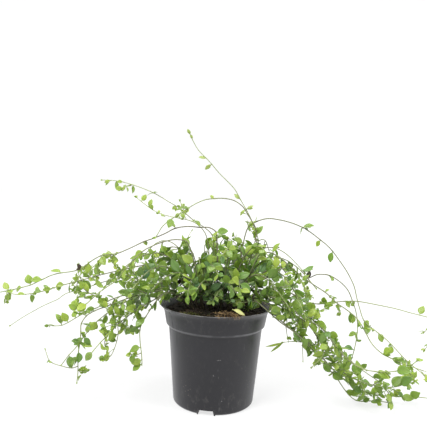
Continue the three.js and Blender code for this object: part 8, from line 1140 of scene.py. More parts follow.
        (3, 4, 34.8, 160.2, 147.1, 31, 7.6), (3, 1, 70.5, 121.7, 150.6, -7, 7.8),
        (3, 1, 44.2, 129.8, 154.8, 7, 8.2), (3, 2, 53.4, 138.5, 164.9, 138, 10.1),
        (3, 2, 48.8, 140.5, 138.2, 35, 8.7), (3, 3, 59, 147.8, 153.3, -51, 6.3),
        (3, 3, 39.7, 146.4, 151.4, 42, 7.6),
    ]),
    ('shoot_o', [
        [(-7.6, 30.9, 137), (-8.2, 33.6, 149.6), (-8.8, 36.1, 162.2), (-9.3, 38.6, 174.2), (-10, 41.6, 186.6),
         (-11.3, 46.2, 199.5), (-13.6, 53.9, 212.2), (-17.1, 64.2, 218.9), (-21.4, 75.7, 216.8),
         (-25.4, 85.2, 209.5), (-29.3, 93.1, 200.1), (-34.3, 101.3, 186.7), (-38.4, 106.8, 175.2),
         (-43.5, 113.7, 160.5)],
        [(-38.4, 106.8, 175.2), (-30.1, 105.7, 170.4), (-18.1, 102.2, 166.9), (-7.8, 97.5, 166.5),
         (1.3, 92.3, 168), (8.9, 87.2, 170.4)],
    ], [
        (0, 13, -45.9, 123.2, 148.9, 1, 9.5), (0, 13, -50.9, 112.8, 152, 45, 6.8),
        (0, 2, -18.7, 44.5, 176.9, 143, 12.3), (0, 2, 0.2, 33.6, 180.4, -9, 10.5),
        (0, 3, 0.6, 34.4, 190.7, -36, 12), (0, 3, -8.8, 24.6, 187.4, -5, 11.7),
        (0, 4, 3.7, 52.1, 193.8, -47, 10.4), (0, 4, -21.1, 36.2, 205.2, 51, 11.8),
        (0, 5, -21.3, 40.7, 216.2, 28, 11.1), (0, 5, -22.8, 67, 204.4, 56, 13.1),
        (0, 6, 3.1, 64.2, 225.4, -41, 14.6), (0, 6, -26.9, 63.7, 210.4, 24, 10.2),
        (0, 7, -10.1, 70.5, 240.7, -98, 12.2), (0, 7, -26.5, 69.1, 203.4, 64, 9.8),
        (0, 9, -21.2, 77.8, 194.6, -145, 10.2), (0, 9, -15, 95.5, 200.1, -92, 9.7),
        (0, 10, -27.1, 113.7, 193.7, -40, 13.8), (0, 10, -42.3, 80, 188.5, 49, 11.7),
        (0, 11, -44.9, 119, 186.8, 14, 11), (0, 11, -46.9, 106, 181.6, -162, 7.6),
        (0, 12, -31.1, 115.7, 168.7, -19, 7.4), (0, 12, -52.5, 102.2, 173.2, 52, 8.2),
        (1, 5, 14.3, 77, 175.1, -11, 7.9), (1, 5, 21.5, 83.4, 175.4, -63, 7.3),
        (1, 1, -14.1, 91.9, 171.6, -20, 10.6), (1, 1, -14.3, 114.7, 162.9, -51, 11.7),
        (1, 2, -10.4, 89.2, 164.1, 40, 8.7), (1, 2, -3.8, 110.3, 158.6, -46, 9.6),
        (1, 3, -1.8, 86.9, 166.3, -42, 7.7), (1, 3, 0.3, 105.1, 169.4, -35, 6.9),
        (1, 4, 3.2, 78.4, 169.6, -48, 8.5), (1, 4, 12.2, 93.2, 163.1, -41, 6.8),
    ]),
    ('shoot_p', [
        [(-21.3, 30.4, 137), (-23.9, 32.9, 150.8), (-26.6, 35.3, 164.7), (-29.2, 37.7, 178), (-32.2, 41, 191.8),
         (-35.4, 45.5, 203.8), (-40, 53.3, 215.7), (-45.4, 65.6, 221.2), (-50.2, 80.1, 215.9), (-52.5, 90.3, 207),
         (-54.1, 100.2, 195.8), (-54.7, 107.4, 185.9), (-55, 116.1, 172.6), (-55.3, 123.9, 160.5)],
        [(-55, 116.1, 172.6), (-61, 118.3, 167.1), (-71.1, 119.4, 159.6), (-80.7, 118.6, 154),
         (-94.7, 115.1, 147.5)],
        [(-32.2, 41, 191.8), (-31.2, 47.5, 199.9), (-26.6, 61.1, 207.8)],
        [(-54.7, 107.4, 185.9), (-60.1, 104.7, 180.5), (-68.8, 96.7, 174.9), (-76.1, 86.4, 173.3),
         (-80.6, 78.4, 173.7)],
    ], [
        (0, 13, -56.5, 137.4, 157.2, 8, 8.4), (0, 13, -55.7, 126.5, 149.8, -93, 6.7),
        (0, 2, -36.1, 51.5, 167.8, -13, 11.1), (0, 2, -13.5, 31.1, 176.3, -66, 9.6),
        (0, 3, -20, 44.4, 195.5, -71, 13), (0, 3, -44.1, 31.1, 188.7, 54, 9.8),
        (0, 4, -24.6, 46, 206.9, -56, 10.1), (0, 4, -49.2, 43.4, 197.7, 21, 11),
        (0, 5, -50.3, 52.1, 201.7, 56, 8.7), (0, 6, -53.3, 59.3, 219.3, -158, 9.3),
        (0, 6, -58, 62.4, 207.9, 5, 12), (0, 7, -59.1, 71.7, 224, 57, 9.7), (0, 7, -64.9, 65.7, 213, 40, 11.6),
        (0, 8, -61.4, 88, 218.7, -168, 8.3), (0, 8, -43.9, 91.6, 213.1, -28, 7.7),
        (0, 9, -61.8, 85.2, 192, 59, 10.4), (0, 9, -72.3, 95.4, 199, 60, 11.9),
        (0, 10, -50.1, 115.6, 202.1, -68, 8.7), (0, 10, -62.7, 100.7, 176.1, 46, 11),
        (0, 11, -44.2, 118.6, 190.2, -15, 8.9), (0, 11, -65.5, 109.9, 170.8, 59, 10.4),
        (0, 12, -52.8, 128.7, 176.5, -42, 6.8), (0, 12, -59.4, 111.2, 159.7, 75, 8.7),
        (1, 4, -107.4, 112, 148.8, 78, 8.4), (1, 4, -99.9, 111.4, 139, 110, 6.4),
        (1, 1, -73.4, 113.1, 171.5, -4, 8.4), (1, 1, -63.6, 118.9, 154.8, -131, 6.6),
        (1, 2, -69.2, 129.1, 146.5, 19, 8.6), (1, 2, -81.6, 105.7, 160, 67, 10.9),
        (1, 3, -88.1, 112.4, 165.4, 90, 9.4), (1, 3, -78.1, 126.5, 141.4, 35, 8),
        (2, 1, -25, 55.4, 202.4, -51, 6.1), (2, 1, -31.8, 59.8, 195.9, -47, 7.7),
        (3, 4, -88.8, 69.1, 174.6, 20, 6.4), (3, 4, -81.2, 68.6, 178.1, -15, 6.7),
        (3, 1, -75.8, 107.7, 173.6, 75, 9.5), (3, 1, -62, 107.3, 168.4, -4, 6.7),
        (3, 2, -78.4, 91.1, 184.4, 52, 8.5), (3, 2, -71.6, 87.5, 163.5, -152, 9.1),
        (3, 3, -82.6, 81.2, 184.8, 56, 7.2), (3, 3, -72.1, 80.9, 181.8, 45, 5.6),
    ]),
    ('shoot_q', [
        [(-26.4, 23, 137), (-30, 24.2, 150.8), (-33.5, 25.2, 164.6), (-37, 26.3, 178), (-41, 27.7, 191.7),
         (-45.4, 29.4, 203.5), (-52.1, 32.4, 215.8), (-60, 36.1, 224.4), (-73.2, 42.4, 226.9),
         (-83.6, 47.2, 222.5), (-93.5, 51.3, 214.7), (-102.3, 54.1, 205.7), (-112.9, 56.6, 193.1),
         (-118.2, 58.3, 186.7)],
        [(-52.1, 32.4, 215.8), (-52.8, 39.2, 226.9), (-51.4, 46, 235.9), (-48.3, 53.5, 244.4), (-44, 61.3, 251.9)],
    ], [
        (0, 13, -130.7, 63.3, 186.3, 82, 7.5), (0, 13, -120.3, 62.5, 176.9, 57, 5.5),
        (0, 2, -28.2, 33.7, 175.1, -43, 7.7), (0, 2, -54.8, 28, 168.7, 56, 11.8),
        (0, 3, -52, 25, 180.9, -101, 9.1), (0, 4, -33.7, 31.3, 207.6, -43, 11.2), (0, 4, -54.9, 30, 204, 39, 10.3),
        (0, 5, -55.5, 39.3, 210.1, -40, 8.7), (0, 5, -40.4, 33, 219.7, 30, 9.2),
        (0, 6, -47.2, 34.4, 233.1, -55, 10.6), (0, 6, -51.1, 52.5, 217.9, 2, 12),
        (0, 7, -62.2, 51.5, 222, -1, 8.1), (0, 7, -79.5, 25, 219.7, 11, 13.2),
        (0, 8, -90.7, 45.5, 210.6, 33, 15.2), (0, 9, -76.8, 59.9, 204.2, -38, 13.4),
        (0, 9, -95.4, 43.1, 211.3, 63, 9.3), (0, 10, -109.1, 49.2, 218.3, 6, 8.4),
        (0, 10, -100.3, 65.7, 204.7, 11, 10.3), (0, 11, -111.2, 65.3, 202.1, -33, 8.5),
        (0, 11, -108.3, 40.8, 199.6, 52, 9.5), (0, 12, -129.7, 56.6, 197.7, -18, 9.4),
        (0, 12, -123.6, 61.4, 191, 2, 7.6), (1, 1, -46.7, 37.1, 240.4, 40, 7.9),
        (1, 1, -54.2, 55.7, 224.5, -9, 10.7), (1, 2, -43.6, 43.1, 244.9, -7, 6.3),
        (1, 2, -56, 57.7, 240.7, 16, 8.3), (0, 7, -57.7, 29.2, 229, 79, 4.4),
        (0, 11, -104.7, 43.9, 215.4, -172, 8.2),
    ]),
    ('shoot_r', [
        [(-10.2, 10.6, 137), (-12.4, 8.4, 149.7), (-14.5, 6.3, 162.5), (-16.7, 3.8, 174.8), (-19.2, 0.6, 186.9),
         (-22.5, -4.9, 201.5), (-25.9, -12.7, 213.6), (-28.3, -24.5, 221), (-28, -35.2, 219.8),
         (-26.1, -44.5, 214.3)],
    ], [
        (0, 9, -27.5, -54.8, 208.4, -22, 6), (0, 9, -18.1, -54.4, 212.2, 95, 6.8),
        (0, 2, -21.9, -8.1, 174.5, 63, 10.7), (0, 3, -6.4, 4.7, 195.4, -12, 12.4),
        (0, 3, -28.7, 4.8, 189.1, -78, 11.9), (0, 4, -29.8, 3.8, 202.4, -17, 10.5),
        (0, 4, -4.3, -9.4, 201.3, -1, 12), (0, 5, -4.8, -9, 210.6, 29, 10.3), (0, 5, -23.2, -26, 210.6, 90, 12.8),
        (0, 6, -12.2, -15.5, 223.4, 2, 10), (0, 7, -24.8, -32.4, 209.1, 95, 8.2),
        (0, 7, -17.5, -28.2, 223.8, 175, 7.3),
    ]),
    ('shoot_s', [
        [(7, 7.9, 137), (8.1, 5.3, 149), (9.2, 2.7, 161.1), (10.6, -1.1, 177.2), (12, -5.5, 191.9),
         (13.1, -9.8, 203.4), (14.3, -17, 217.8), (14.9, -25.8, 229), (14, -37.9, 236.6), (10, -50.8, 235.7),
         (5.5, -59.3, 230.3)],
    ], [
        (0, 4, 11.8, 9.3, 202.8, 20, 11.3), (0, 10, -2.4, -69.7, 230.2, -28, 8.4),
        (0, 10, 5.3, -66, 217.9, -19, 7.4), (0, 2, 18.4, 13.7, 172.1, 84, 9.5), (0, 2, 4.2, 10.9, 175.7, 31, 11),
        (0, 3, 3, -11.2, 191.4, -32, 11.8), (0, 3, 24.6, 1.5, 188.9, 38, 10.6), (0, 5, 14.5, 0.5, 213.9, 34, 8.5),
        (0, 5, 20.1, -33.9, 206.3, -24, 14.7), (0, 6, 11.1, -29.8, 224.6, -32, 9.4),
        (0, 6, 30.6, -13.8, 227.1, 125, 10.5), (0, 7, 16.4, -19.1, 247.1, 58, 11.7),
        (0, 7, 22.7, -32.2, 235.2, 61, 6.6), (0, 8, 2.3, -50.4, 234.1, -78, 8.7),
        (0, 8, 24.8, -49.8, 238, 47, 9.3), (0, 9, -1.2, -54.9, 242.6, -137, 8.5),
        (0, 9, 19.4, -59, 226.6, 49, 9.1),
    ]),
    ('shoot_t', [
        [(5.7, 18.3, 137), (6.9, 19.2, 148.8), (8.1, 20.1, 160.7), (9.4, 21.2, 174), (10.7, 22.5, 186.8),
         (12.4, 24.7, 202.6), (13.9, 27.8, 217.2), (15.1, 32.7, 231.1), (15.2, 40.4, 241.8), (11.4, 53.8, 244),
         (5.8, 63.4, 236.4)],
        [(12.4, 24.7, 202.6), (8.8, 28.5, 213.2), (-1.6, 36.2, 227.5)],
    ], [
        (0, 10, 2.1, 69, 228.7, 124, 5.5), (0, 2, 15.6, 36.1, 166.4, 37, 9.7), (0, 2, 8.6, 11.4, 176.9, -7, 10.3),
        (0, 3, 18.4, 33.4, 189.5, 28, 11.7), (0, 3, 24.2, 10.1, 181.6, -31, 11.3), (0, 4, 3.2, 11, 196.2, 15, 9.8),
        (0, 4, 7.4, 13.7, 203.1, 2, 12), (0, 5, -0.9, 43.3, 207.6, -10, 13.2), (0, 5, 17.4, 14.1, 214.7, -15, 9.3),
        (0, 6, 4.9, 15.5, 227.3, 4, 10.5), (0, 6, 28.8, 38.2, 220.6, -59, 10.6), (0, 7, 9.5, 28.1, 242.7, 19, 7.1),
        (0, 7, 8.2, 45.8, 234.2, 48, 9.5), (0, 8, 17.2, 52.2, 238.9, -78, 7.1), (0, 8, 3.6, 47.8, 247.9, 65, 8.6),
        (0, 9, 14.3, 66.8, 242.4, 61, 6.9), (0, 9, -2, 56, 250.8, 22, 8.9), (1, 2, -2.9, 41.5, 237.4, 119, 7.1),
        (1, 2, -9.3, 37.3, 236.5, 71, 7.6), (1, 1, 9.7, 39.4, 213.3, 25, 6.5), (1, 1, -2.8, 28.3, 218.3, 26, 6.5),
    ]),
    ('shoot_u', [
        [(-12.8, 24.1, 137), (-14.2, 23.9, 150.6), (-15.6, 23.7, 164.3), (-17, 23.8, 178.2), (-18.3, 24.7, 191),
         (-19.8, 26.9, 204.7), (-21.1, 30.8, 219.4), (-21, 38.8, 232.2), (-15.1, 52.6, 232.2),
         (-10.7, 58.7, 226.4)],
        [(-15.6, 23.7, 164.3), (-6.6, 26.4, 172.3), (5.1, 29.8, 173), (17, 33.2, 169.2)],
        [(-18.3, 24.7, 191), (-15.7, 29.2, 199.4), (-11.5, 35, 206.6), (-4.4, 44, 213.6), (1.5, 51.1, 216.9)],
    ], [
        (0, 9, -3.7, 69.7, 223.4, -43, 7.1), (0, 9, -3.4, 61.9, 220.8, 103, 5.5),
        (0, 2, -34.5, 21.2, 169.2, 71, 10.9), (0, 2, -10.4, 36.2, 174.8, 114, 9.8),
        (0, 3, -26.4, 10.7, 186.1, 69, 9.9), (0, 3, -19.8, 38.5, 190.9, -62, 9.8),
        (0, 4, -6.7, 14.6, 199.4, -37, 9.9), (0, 4, -5.8, 34.8, 199.5, -22, 9.5),
        (0, 5, -29.3, 11.2, 212.8, 30, 12.6), (0, 5, -13.4, 34.8, 216.8, -133, 8),
        (0, 7, -11.1, 39.8, 244.8, -57, 9.5), (0, 8, -1.5, 57, 233.2, -46, 8), (0, 8, -2.8, 46.8, 231.5, -57, 7.6),
        (1, 3, 24, 35.1, 162.8, -38, 4.9), (1, 3, 23.9, 40.5, 170.2, -62, 5.8), (1, 1, 9.9, 25, 171.8, -104, 8.8),
        (1, 2, 14.4, 23.1, 169.8, -101, 6), (1, 2, 5.6, 40.3, 168.1, 6, 6.2), (2, 4, 4.6, 56.8, 226.5, -11, 7.1),
        (2, 4, 10, 60.6, 217.5, -18, 6.6), (2, 1, -12, 20.1, 208.6, 21, 7.9), (2, 1, -2.2, 26.7, 205.9, -111, 8.2),
        (2, 2, 2.9, 35.8, 209.5, 6, 8.3), (2, 2, -18.1, 36.8, 216.3, 126, 6.1), (2, 3, -4.4, 43.7, 226.3, 82, 7.8),
        (2, 3, 3.4, 53.9, 210.7, -33, 7.4),
    ]),
    ('shoot_v', [
        [(-7.5, 3.7, 137), (-8.3, 0.2, 148.4), (-9.1, -3.3, 159.8), (-10, -8.1, 173.4), (-10.8, -13.6, 185.5),
         (-11.4, -21.7, 198.2), (-11.3, -30.2, 206.9), (-9.9, -42.2, 212.9), (-5.9, -55.4, 211.8),
         (-0.2, -65.6, 204.3)],
    ], [
        (0, 9, -4, -77.2, 195.7, 36, 9), (0, 9, 8.1, -72.9, 202.9, 57, 6.5), (0, 2, -1.4, -11.6, 173.7, 41, 10.9),
        (0, 3, -3.4, -2.5, 195.1, -18, 11.9), (0, 3, -22.2, -11.6, 177.5, 31, 8.5),
        (0, 4, -20.2, -23.8, 196.2, -96, 9.2), (0, 4, 2.2, -27.5, 200.2, 47, 13.5),
        (0, 5, -3.4, -18.4, 213.4, 74, 10.7), (0, 5, -2.6, -42.3, 203.8, 11, 11.7),
        (0, 6, -20.6, -40.4, 216.3, -74, 8.4), (0, 6, 7, -33.7, 211.1, 51, 10.4),
        (0, 7, -9.8, -42.1, 229.4, -140, 10.3), (0, 7, -14.2, -55.1, 202.9, -34, 9.3),
        (0, 8, -11.4, -71.4, 208.8, 2, 9.9), (0, 8, 7.7, -55.7, 208.2, 93, 7.5),
    ]),
    ('shoot_w', [
        [(15.6, 11.8, 137), (18.7, 10.7, 149.7), (21.7, 9.5, 162.5), (25.6, 8, 178.3), (30.1, 5.9, 194.1),
         (35.3, 3.2, 208.9), (41.4, -0.6, 222.5), (49, -6.4, 233.9), (58.6, -16.2, 239.4), (67.1, -29.3, 235.2),
         (72.5, -41.5, 226.3)],
    ], [
        (0, 8, 71.8, -5.8, 239.2, 17, 10.4), (0, 10, 69.8, -53.8, 224.5, -1, 6.5),
        (0, 10, 78.2, -45.3, 218.1, -8, 6.4), (0, 2, 19.8, 0.6, 173.4, -20, 8.4),
        (0, 2, 23.2, -10.5, 167.5, -46, 10.6), (0, 3, 41.6, -1.7, 183.2, -21, 9.8),
        (0, 4, 19.8, -12.3, 202.5, -11, 12.2), (0, 4, 23.2, -2.1, 204, 3, 8.7), (0, 5, 24.2, 2.9, 225.8, 32, 10.4),
        (0, 5, 48.2, -5.9, 217.3, -5, 9.7), (0, 6, 31.8, -15.8, 237.2, -75, 12.5),
        (0, 6, 55.6, 4.6, 238.5, 61, 13.4), (0, 7, 58.6, -2.9, 243.2, -147, 8.6),
        (0, 7, 59.3, -22.9, 235.8, -22, 10.4), (0, 9, 58.3, -40.8, 232.2, -25, 8),
        (0, 9, 59.9, -31.8, 226.8, -100, 6.6),
    ]),
    ('shoot_x', [
        [(29.5, 17.3, 137), (33, 18, 154.9), (36.8, 18.2, 172.8), (40.3, 18.2, 190.7), (43.6, 20.1, 203.5),
         (48.5, 21.7, 216.7), (54.9, 23.9, 231.2), (59.9, 26.3, 239.1), (67.7, 32.1, 244.9), (74.9, 40.9, 242.6),
         (78.2, 46.4, 237.4), (82.7, 55.6, 226.4)],
        [(59.9, 26.3, 239.1), (59, 28.5, 246.7), (50.6, 32.5, 258.9)],
        [(74.9, 40.9, 242.6), (72.2, 43.5, 232), (67.3, 42.7, 222.8), (60.5, 39, 214.6), (50.9, 32, 206.2)],
    ], [
        (0, 11, 92.7, 62.6, 220.6, 16, 8.2), (0, 3, 31.2, 11.1, 198.3, 3, 8.2), (0, 4, 39.4, 13, 220.5, -29, 10.6),
        (0, 5, 43.6, 7.5, 225.7, -50, 10.7), (0, 6, 41.8, 26.5, 244, 42, 9.9),
        (0, 6, 65.8, 14.4, 240.7, -31, 10.3), (0, 10, 69.1, 50.7, 227.7, 130, 8.8),
        (1, 2, 44.5, 37.3, 265.5, 25, 5.6), (1, 2, 45.5, 30.3, 269.2, -26, 6.2),
        (1, 1, 56.1, 34.9, 252.6, 155, 5.1), (1, 1, 58, 22.3, 258.7, 20, 7.8),
        (2, 4, 45.2, 24.9, 199.6, -173, 7.1), (2, 1, 59, 51, 231.8, 56, 9.1), (2, 1, 74.8, 34.8, 222.6, -69, 7.2),
        (2, 2, 65.5, 59.6, 216.2, 24, 10.8), (2, 2, 60.5, 29.6, 218.4, -73, 8.1), (2, 3, 49.6, 32.7, 214.6, 26, 8),
        (2, 3, 59.1, 39.7, 201.2, -49, 8.4),
    ]),
    ('runner_back_a', [
        [(-4.8, 37.3, 137), (-5.6, 40.7, 148.5), (-6.4, 43.8, 160), (-7.4, 48.3, 175.7), (-8.9, 55.3, 192.5),
         (-11.3, 68.4, 203.4), (-13.1, 78.2, 203.9), (-14.8, 87.6, 200.5), (-17.5, 100.8, 189.9),
         (-20, 112.5, 176.7), (-22.4, 122.5, 163.6), (-24.8, 132.1, 149.4), (-26.8, 139.7, 136.9),
         (-29.6, 149, 120), (-32, 156, 105.6), (-34.4, 162.5, 90.9), (-36.9, 168.6, 76.1), (-39.3, 174.8, 61.3),
         (-41.8, 181, 46.5)],
        [(-22.4, 122.5, 163.6), (-25.4, 129.2, 160.4), (-31.1, 140.5, 156.9), (-36.4, 150, 155.8),
         (-41.2, 157.8, 156)],
        [(-24.8, 132.1, 149.4), (-25.5, 143.7, 144.3), (-25.7, 156.3, 140.9), (-25.4, 169, 139.4),
         (-25, 175.7, 139.3)],
    ], [
        (0, 18, -40.7, 188.1, 36.1, -18, 6.5), (0, 18, -49.1, 182, 37.6, 70, 6.2),
        (0, 2, -0.6, 51.7, 171, -32, 9.2), (0, 2, -21.1, 43.6, 166.2, 43, 8.3), (0, 3, 0.8, 41.8, 187.7, 4, 9.1),
        (0, 3, -8.5, 63.2, 186.8, 43, 9.7), (0, 4, -1.1, 58.9, 208.2, -119, 9.5),
        (0, 4, -24.9, 63.1, 199.3, 27, 9.6), (0, 5, -3, 75.1, 215.8, -122, 9.9), (0, 5, -13, 82.7, 197.1, -8, 8.7),
        (0, 7, -4.2, 96.9, 187.7, -42, 10.8), (0, 7, -23.8, 82.4, 188.8, 116, 9.9),
        (0, 8, -18.3, 118.8, 191, -128, 10.5), (0, 8, -26, 100.5, 173.2, 79, 11.5),
        (0, 9, -6.6, 123.2, 174.4, -22, 9.1), (0, 9, -34.7, 111.2, 175.3, 39, 7.5),
        (0, 10, -26.4, 137.1, 173, -3, 9.3), (0, 10, -19.8, 113.9, 147.2, -27, 11.7),
        (0, 11, -13, 144.9, 147.2, -69, 10.2), (0, 11, -32.1, 127.4, 139.1, 35, 7.6),
        (0, 12, -25.9, 132.2, 123.7, 91, 8.6), (0, 12, -22.3, 133.2, 124, -66, 8.2),
        (0, 13, -16.8, 151.4, 113.3, 20, 7.9), (0, 13, -45.2, 152.1, 112.8, 23, 10.7),
        (1, 4, -43.8, 165.4, 162.1, 179, 5.9), (1, 4, -47.1, 165.2, 155.4, 27, 5.3),
        (1, 1, -29.1, 143, 166.2, 51, 9.1), (1, 1, -28.8, 135.2, 151.7, -10, 5.7),
        (1, 2, -28.4, 153.5, 157.8, -38, 8), (1, 2, -41.3, 140.8, 156.1, 44, 5.8),
        (1, 3, -36.3, 152.9, 168, 100, 6.9), (1, 3, -39.3, 151.4, 145.9, 46, 6.4),
        (2, 4, -22.7, 183.5, 146.6, 174, 6.9), (2, 4, -26, 186.1, 135.8, -18, 7),
        (2, 1, -26.3, 152.3, 155.6, 161, 8.6), (2, 1, -28.8, 145.3, 130.8, 62, 8.3),
        (2, 2, -16.5, 165.9, 141.4, -65, 7.1), (2, 2, -37.2, 159.5, 140.9, 66, 7),
        (2, 3, -18.5, 177.4, 145.9, 6, 6.4), (2, 3, -32.9, 174.3, 135.2, 76, 5.2),
    ]),
    ('runner_back_b', [
        [(17, 36, 137), (18.4, 39.2, 148.7), (19.7, 42.1, 160.4), (21.9, 46.9, 179), (24.2, 52, 193.2),
         (28.3, 61.6, 205), (35.4, 79, 204.5), (40.6, 92.1, 191.7), (43.9, 100.6, 180.1), (47.7, 110.2, 164.6),
         (50.7, 117.5, 151.2), (53.4, 124.1, 137.7), (56.8, 132, 120), (58.3, 135.4, 111.7), (60.7, 140.2, 98.7),
         (63, 144.7, 85.6), (65.2, 149, 72.4), (66.9, 152.2, 62.5), (68.6, 155.3, 52.6), (70.4, 158.8, 41.6),
         (72.3, 162.4, 30.6)],
        [(65.2, 149, 72.4), (60.6, 151.2, 63.4), (53.8, 152.7, 54.1), (46.6, 153.2, 46.6), (39.6, 153.1, 40.8)],
        [(58.3, 135.4, 111.7), (61.4, 144.2, 109.7), (65.6, 157, 109.6), (69.2, 169, 112.2)],
        [(68.6, 155.3, 52.6), (64.5, 157.2, 45.1), (57.9, 158.8, 36.2), (48.3, 159.7, 26.7), (38.4, 159.5, 19.1)],
    ], [
        (0, 20, 81.6, 163.8, 22.5, -17, 7.1), (0, 20, 70.5, 166.3, 22.4, 25, 4.9),
        (0, 2, 28.7, 41.7, 169, 75, 6.2), (0, 2, 11.2, 50.3, 171.5, -6, 8.7), (0, 3, 28.9, 43.1, 191.6, -79, 8.3),
        (0, 3, 14.7, 61.4, 190.4, 62, 12), (0, 4, 39.4, 56.4, 196.9, -29, 8.6),
        (0, 4, 34.3, 56.3, 192.9, -30, 5.7), (0, 5, 29.4, 65.7, 220.2, 120, 8.4),
        (0, 5, 26.6, 75.5, 200.4, 14, 7.5), (0, 6, 52.8, 86.4, 208.3, -2, 10.6),
        (0, 6, 29.5, 84.3, 191.7, 27, 8.2), (0, 7, 51.6, 92.7, 188.8, -45, 5.9), (0, 7, 38.5, 80, 176.4, -118, 11),
        (0, 8, 54.2, 92.5, 172.6, -52, 9.4), (0, 8, 42.9, 96.4, 166.9, -92, 8.1),
        (0, 9, 51.4, 125.8, 160.2, -6, 9.2), (0, 9, 48.3, 107.2, 150.4, -48, 7.3),
        (0, 10, 44.2, 119.2, 136.6, 137, 8.9), (0, 10, 33.2, 122.6, 148, 11, 9.3),
        (0, 11, 67, 132.8, 130.6, -9, 8.9), (0, 11, 43.5, 129.5, 121.6, 128, 11.3),
        (0, 12, 53.3, 144.4, 121, 110, 7.6), (1, 4, 34.7, 156.1, 34.2, 87, 4.4),
        (1, 4, 31.3, 149.8, 38.9, 39, 5.6), (1, 1, 58.3, 160.4, 56.6, 6, 6.6), (1, 1, 51.7, 145.3, 55.5, -67, 6.7),
        (1, 2, 43, 152.2, 54.7, 40, 6.5), (1, 2, 52.4, 154.8, 42.1, -50, 7.9), (1, 3, 38.5, 159.4, 44.9, 112, 6),
        (1, 3, 46.6, 142.4, 40.5, -78, 7.3), (2, 3, 72.7, 173.3, 118.9, 131, 5.2),
        (2, 3, 71.2, 180.1, 113.8, 30, 6.5), (2, 1, 65.5, 147.8, 120.9, -160, 7),
        (2, 1, 59.3, 150.4, 95.7, 76, 8.3), (2, 2, 74.7, 159.2, 112.1, -5, 4.9), (2, 2, 55.6, 162.7, 110, 59, 6.4),
        (3, 4, 30.5, 166.5, 14.9, 85, 6.6), (3, 4, 31.4, 155.4, 15.4, 86, 4.8), (3, 1, 64.6, 165.1, 36.8, 37, 6.1),
        (3, 1, 52.8, 152.7, 39, 6, 8.9), (3, 2, 45.6, 164.1, 34.5, 75, 6.8), (3, 2, 56.1, 154.7, 21.3, 154, 8.3),
        (3, 3, 41.5, 167.8, 21.5, 12, 7.3), (3, 3, 40.9, 152, 22.7, 127, 6.9),
    ]),
    ('runner_back_c', [
        [(-28.2, 31.5, 137), (-31.8, 34.7, 147.2), (-35.3, 37.6, 157.5), (-40.1, 41.8, 171.5), (-45.9, 47, 185.3),
         (-53.1, 54.3, 196.4), (-62.8, 64.8, 203.5), (-73.1, 76.4, 204.3), (-83.9, 89, 198.3), (-88, 93.9, 194.5),
         (-94.2, 101, 187.9), (-104.2, 112.3, 174.9), (-112, 121, 162.9), (-120.3, 129.6, 148.8),
         (-128.3, 137, 134), (-136.4, 143.9, 118), (-144.3, 150.4, 102.1), (-149.1, 154.4, 92.5)],
        [(-120.3, 129.6, 148.8), (-129.9, 136.3, 151.3), (-139.5, 142, 158.1), (-144.3, 144.4, 163.6)],
        [(-88, 93.9, 194.5), (-92, 93.9, 182.8), (-93.5, 90.1, 169.8), (-92.8, 84.9, 159.7), (-91, 78.3, 149.6)],
        [(-144.3, 150.4, 102.1), (-147, 159.8, 96.7), (-148.5, 171.2, 91.5), (-148.3, 184.6, 86.6)],
    ], [
        (0, 17, -147.7, 161.1, 87, -169, 5.6), (0, 17, -155.7, 156.1, 85.5, 19, 5.2),
        (0, 2, -49.8, 34.2, 160.6, -12, 8.5), (0, 2, -49.6, 45.3, 156.7, -7, 9),
        (0, 3, -35.7, 51, 188.4, -72, 12.2), (0, 3, -54.8, 36.5, 176.1, 62, 8.3),
        (0, 4, -58.5, 44.3, 189.4, -34, 8.1), (0, 4, -57.7, 58.1, 186.7, -20, 9.3),
        (0, 5, -44.7, 67.3, 205.6, -69, 10), (0, 5, -69.5, 49.1, 202, 59, 10),
        (0, 6, -69.1, 68.9, 214.2, 126, 8.2), (0, 6, -77.4, 70.8, 199.7, 12, 9.4),
        (0, 7, -74.3, 88.6, 212.2, -151, 8.4), (0, 7, -85.6, 81.1, 196.7, 11, 8.9),
        (0, 8, -93.8, 103, 202, 22, 10.1), (0, 8, -79.9, 85.8, 184.1, 131, 9),
        (0, 10, -92.1, 115.1, 190.6, -86, 9), (0, 10, -105.3, 89.2, 177.7, 75, 9.6),
        (0, 11, -102.7, 101.9, 160.6, 152, 10.3), (0, 11, -111.8, 101.8, 164.5, 110, 9.3),
        (0, 12, -109.7, 133.8, 155.2, -75, 8.6), (0, 12, -123.1, 117, 154.2, 75, 8.8),
        (0, 13, -122.5, 149.4, 150.5, -29, 12.4), (0, 13, -135.2, 122.6, 150.8, 46, 10.3),
        (0, 14, -128.1, 151.2, 124.9, -18, 10.8), (0, 14, -140.9, 127.6, 131.1, 62, 8.5),
        (0, 15, -130.2, 141, 109.9, -72, 5.8), (0, 15, -142.3, 138, 109.3, 21, 7.4),
        (0, 16, -149.9, 155.6, 100.6, -40, 4.1), (0, 16, -149.6, 142.7, 98.8, 28, 5.2),
        (1, 3, -150.1, 148.9, 166.5, 59, 4.4), (1, 3, -152.2, 143.4, 169.3, 22, 5.2),
        (1, 1, -128.6, 141.5, 158.9, 106, 4.8), (1, 1, -140.9, 132.2, 149.3, -20, 7),
        (1, 2, -140.4, 144.8, 167.6, -142, 5.1), (1, 2, -151.2, 141.5, 153.8, 27, 6.3),
        (2, 4, -87.7, 73.3, 144.7, 148, 4.9), (2, 4, -88.8, 76.5, 140.6, -180, 5),
        (2, 1, -101.9, 88.6, 179.4, 62, 6.5), (2, 1, -83.8, 94.9, 173.3, -70, 6.3),
        (2, 2, -101.2, 87.1, 161.2, 53, 6), (2, 2, -86.9, 84, 167.7, -25, 4.7),
        (2, 3, -96.9, 76.5, 162.2, 55, 5.9), (2, 3, -91, 86.4, 149.3, -107, 6.3),
        (3, 3, -146.9, 193.8, 88.1, -42, 5.5), (3, 3, -152.9, 193.6, 86.1, -63, 6.4),
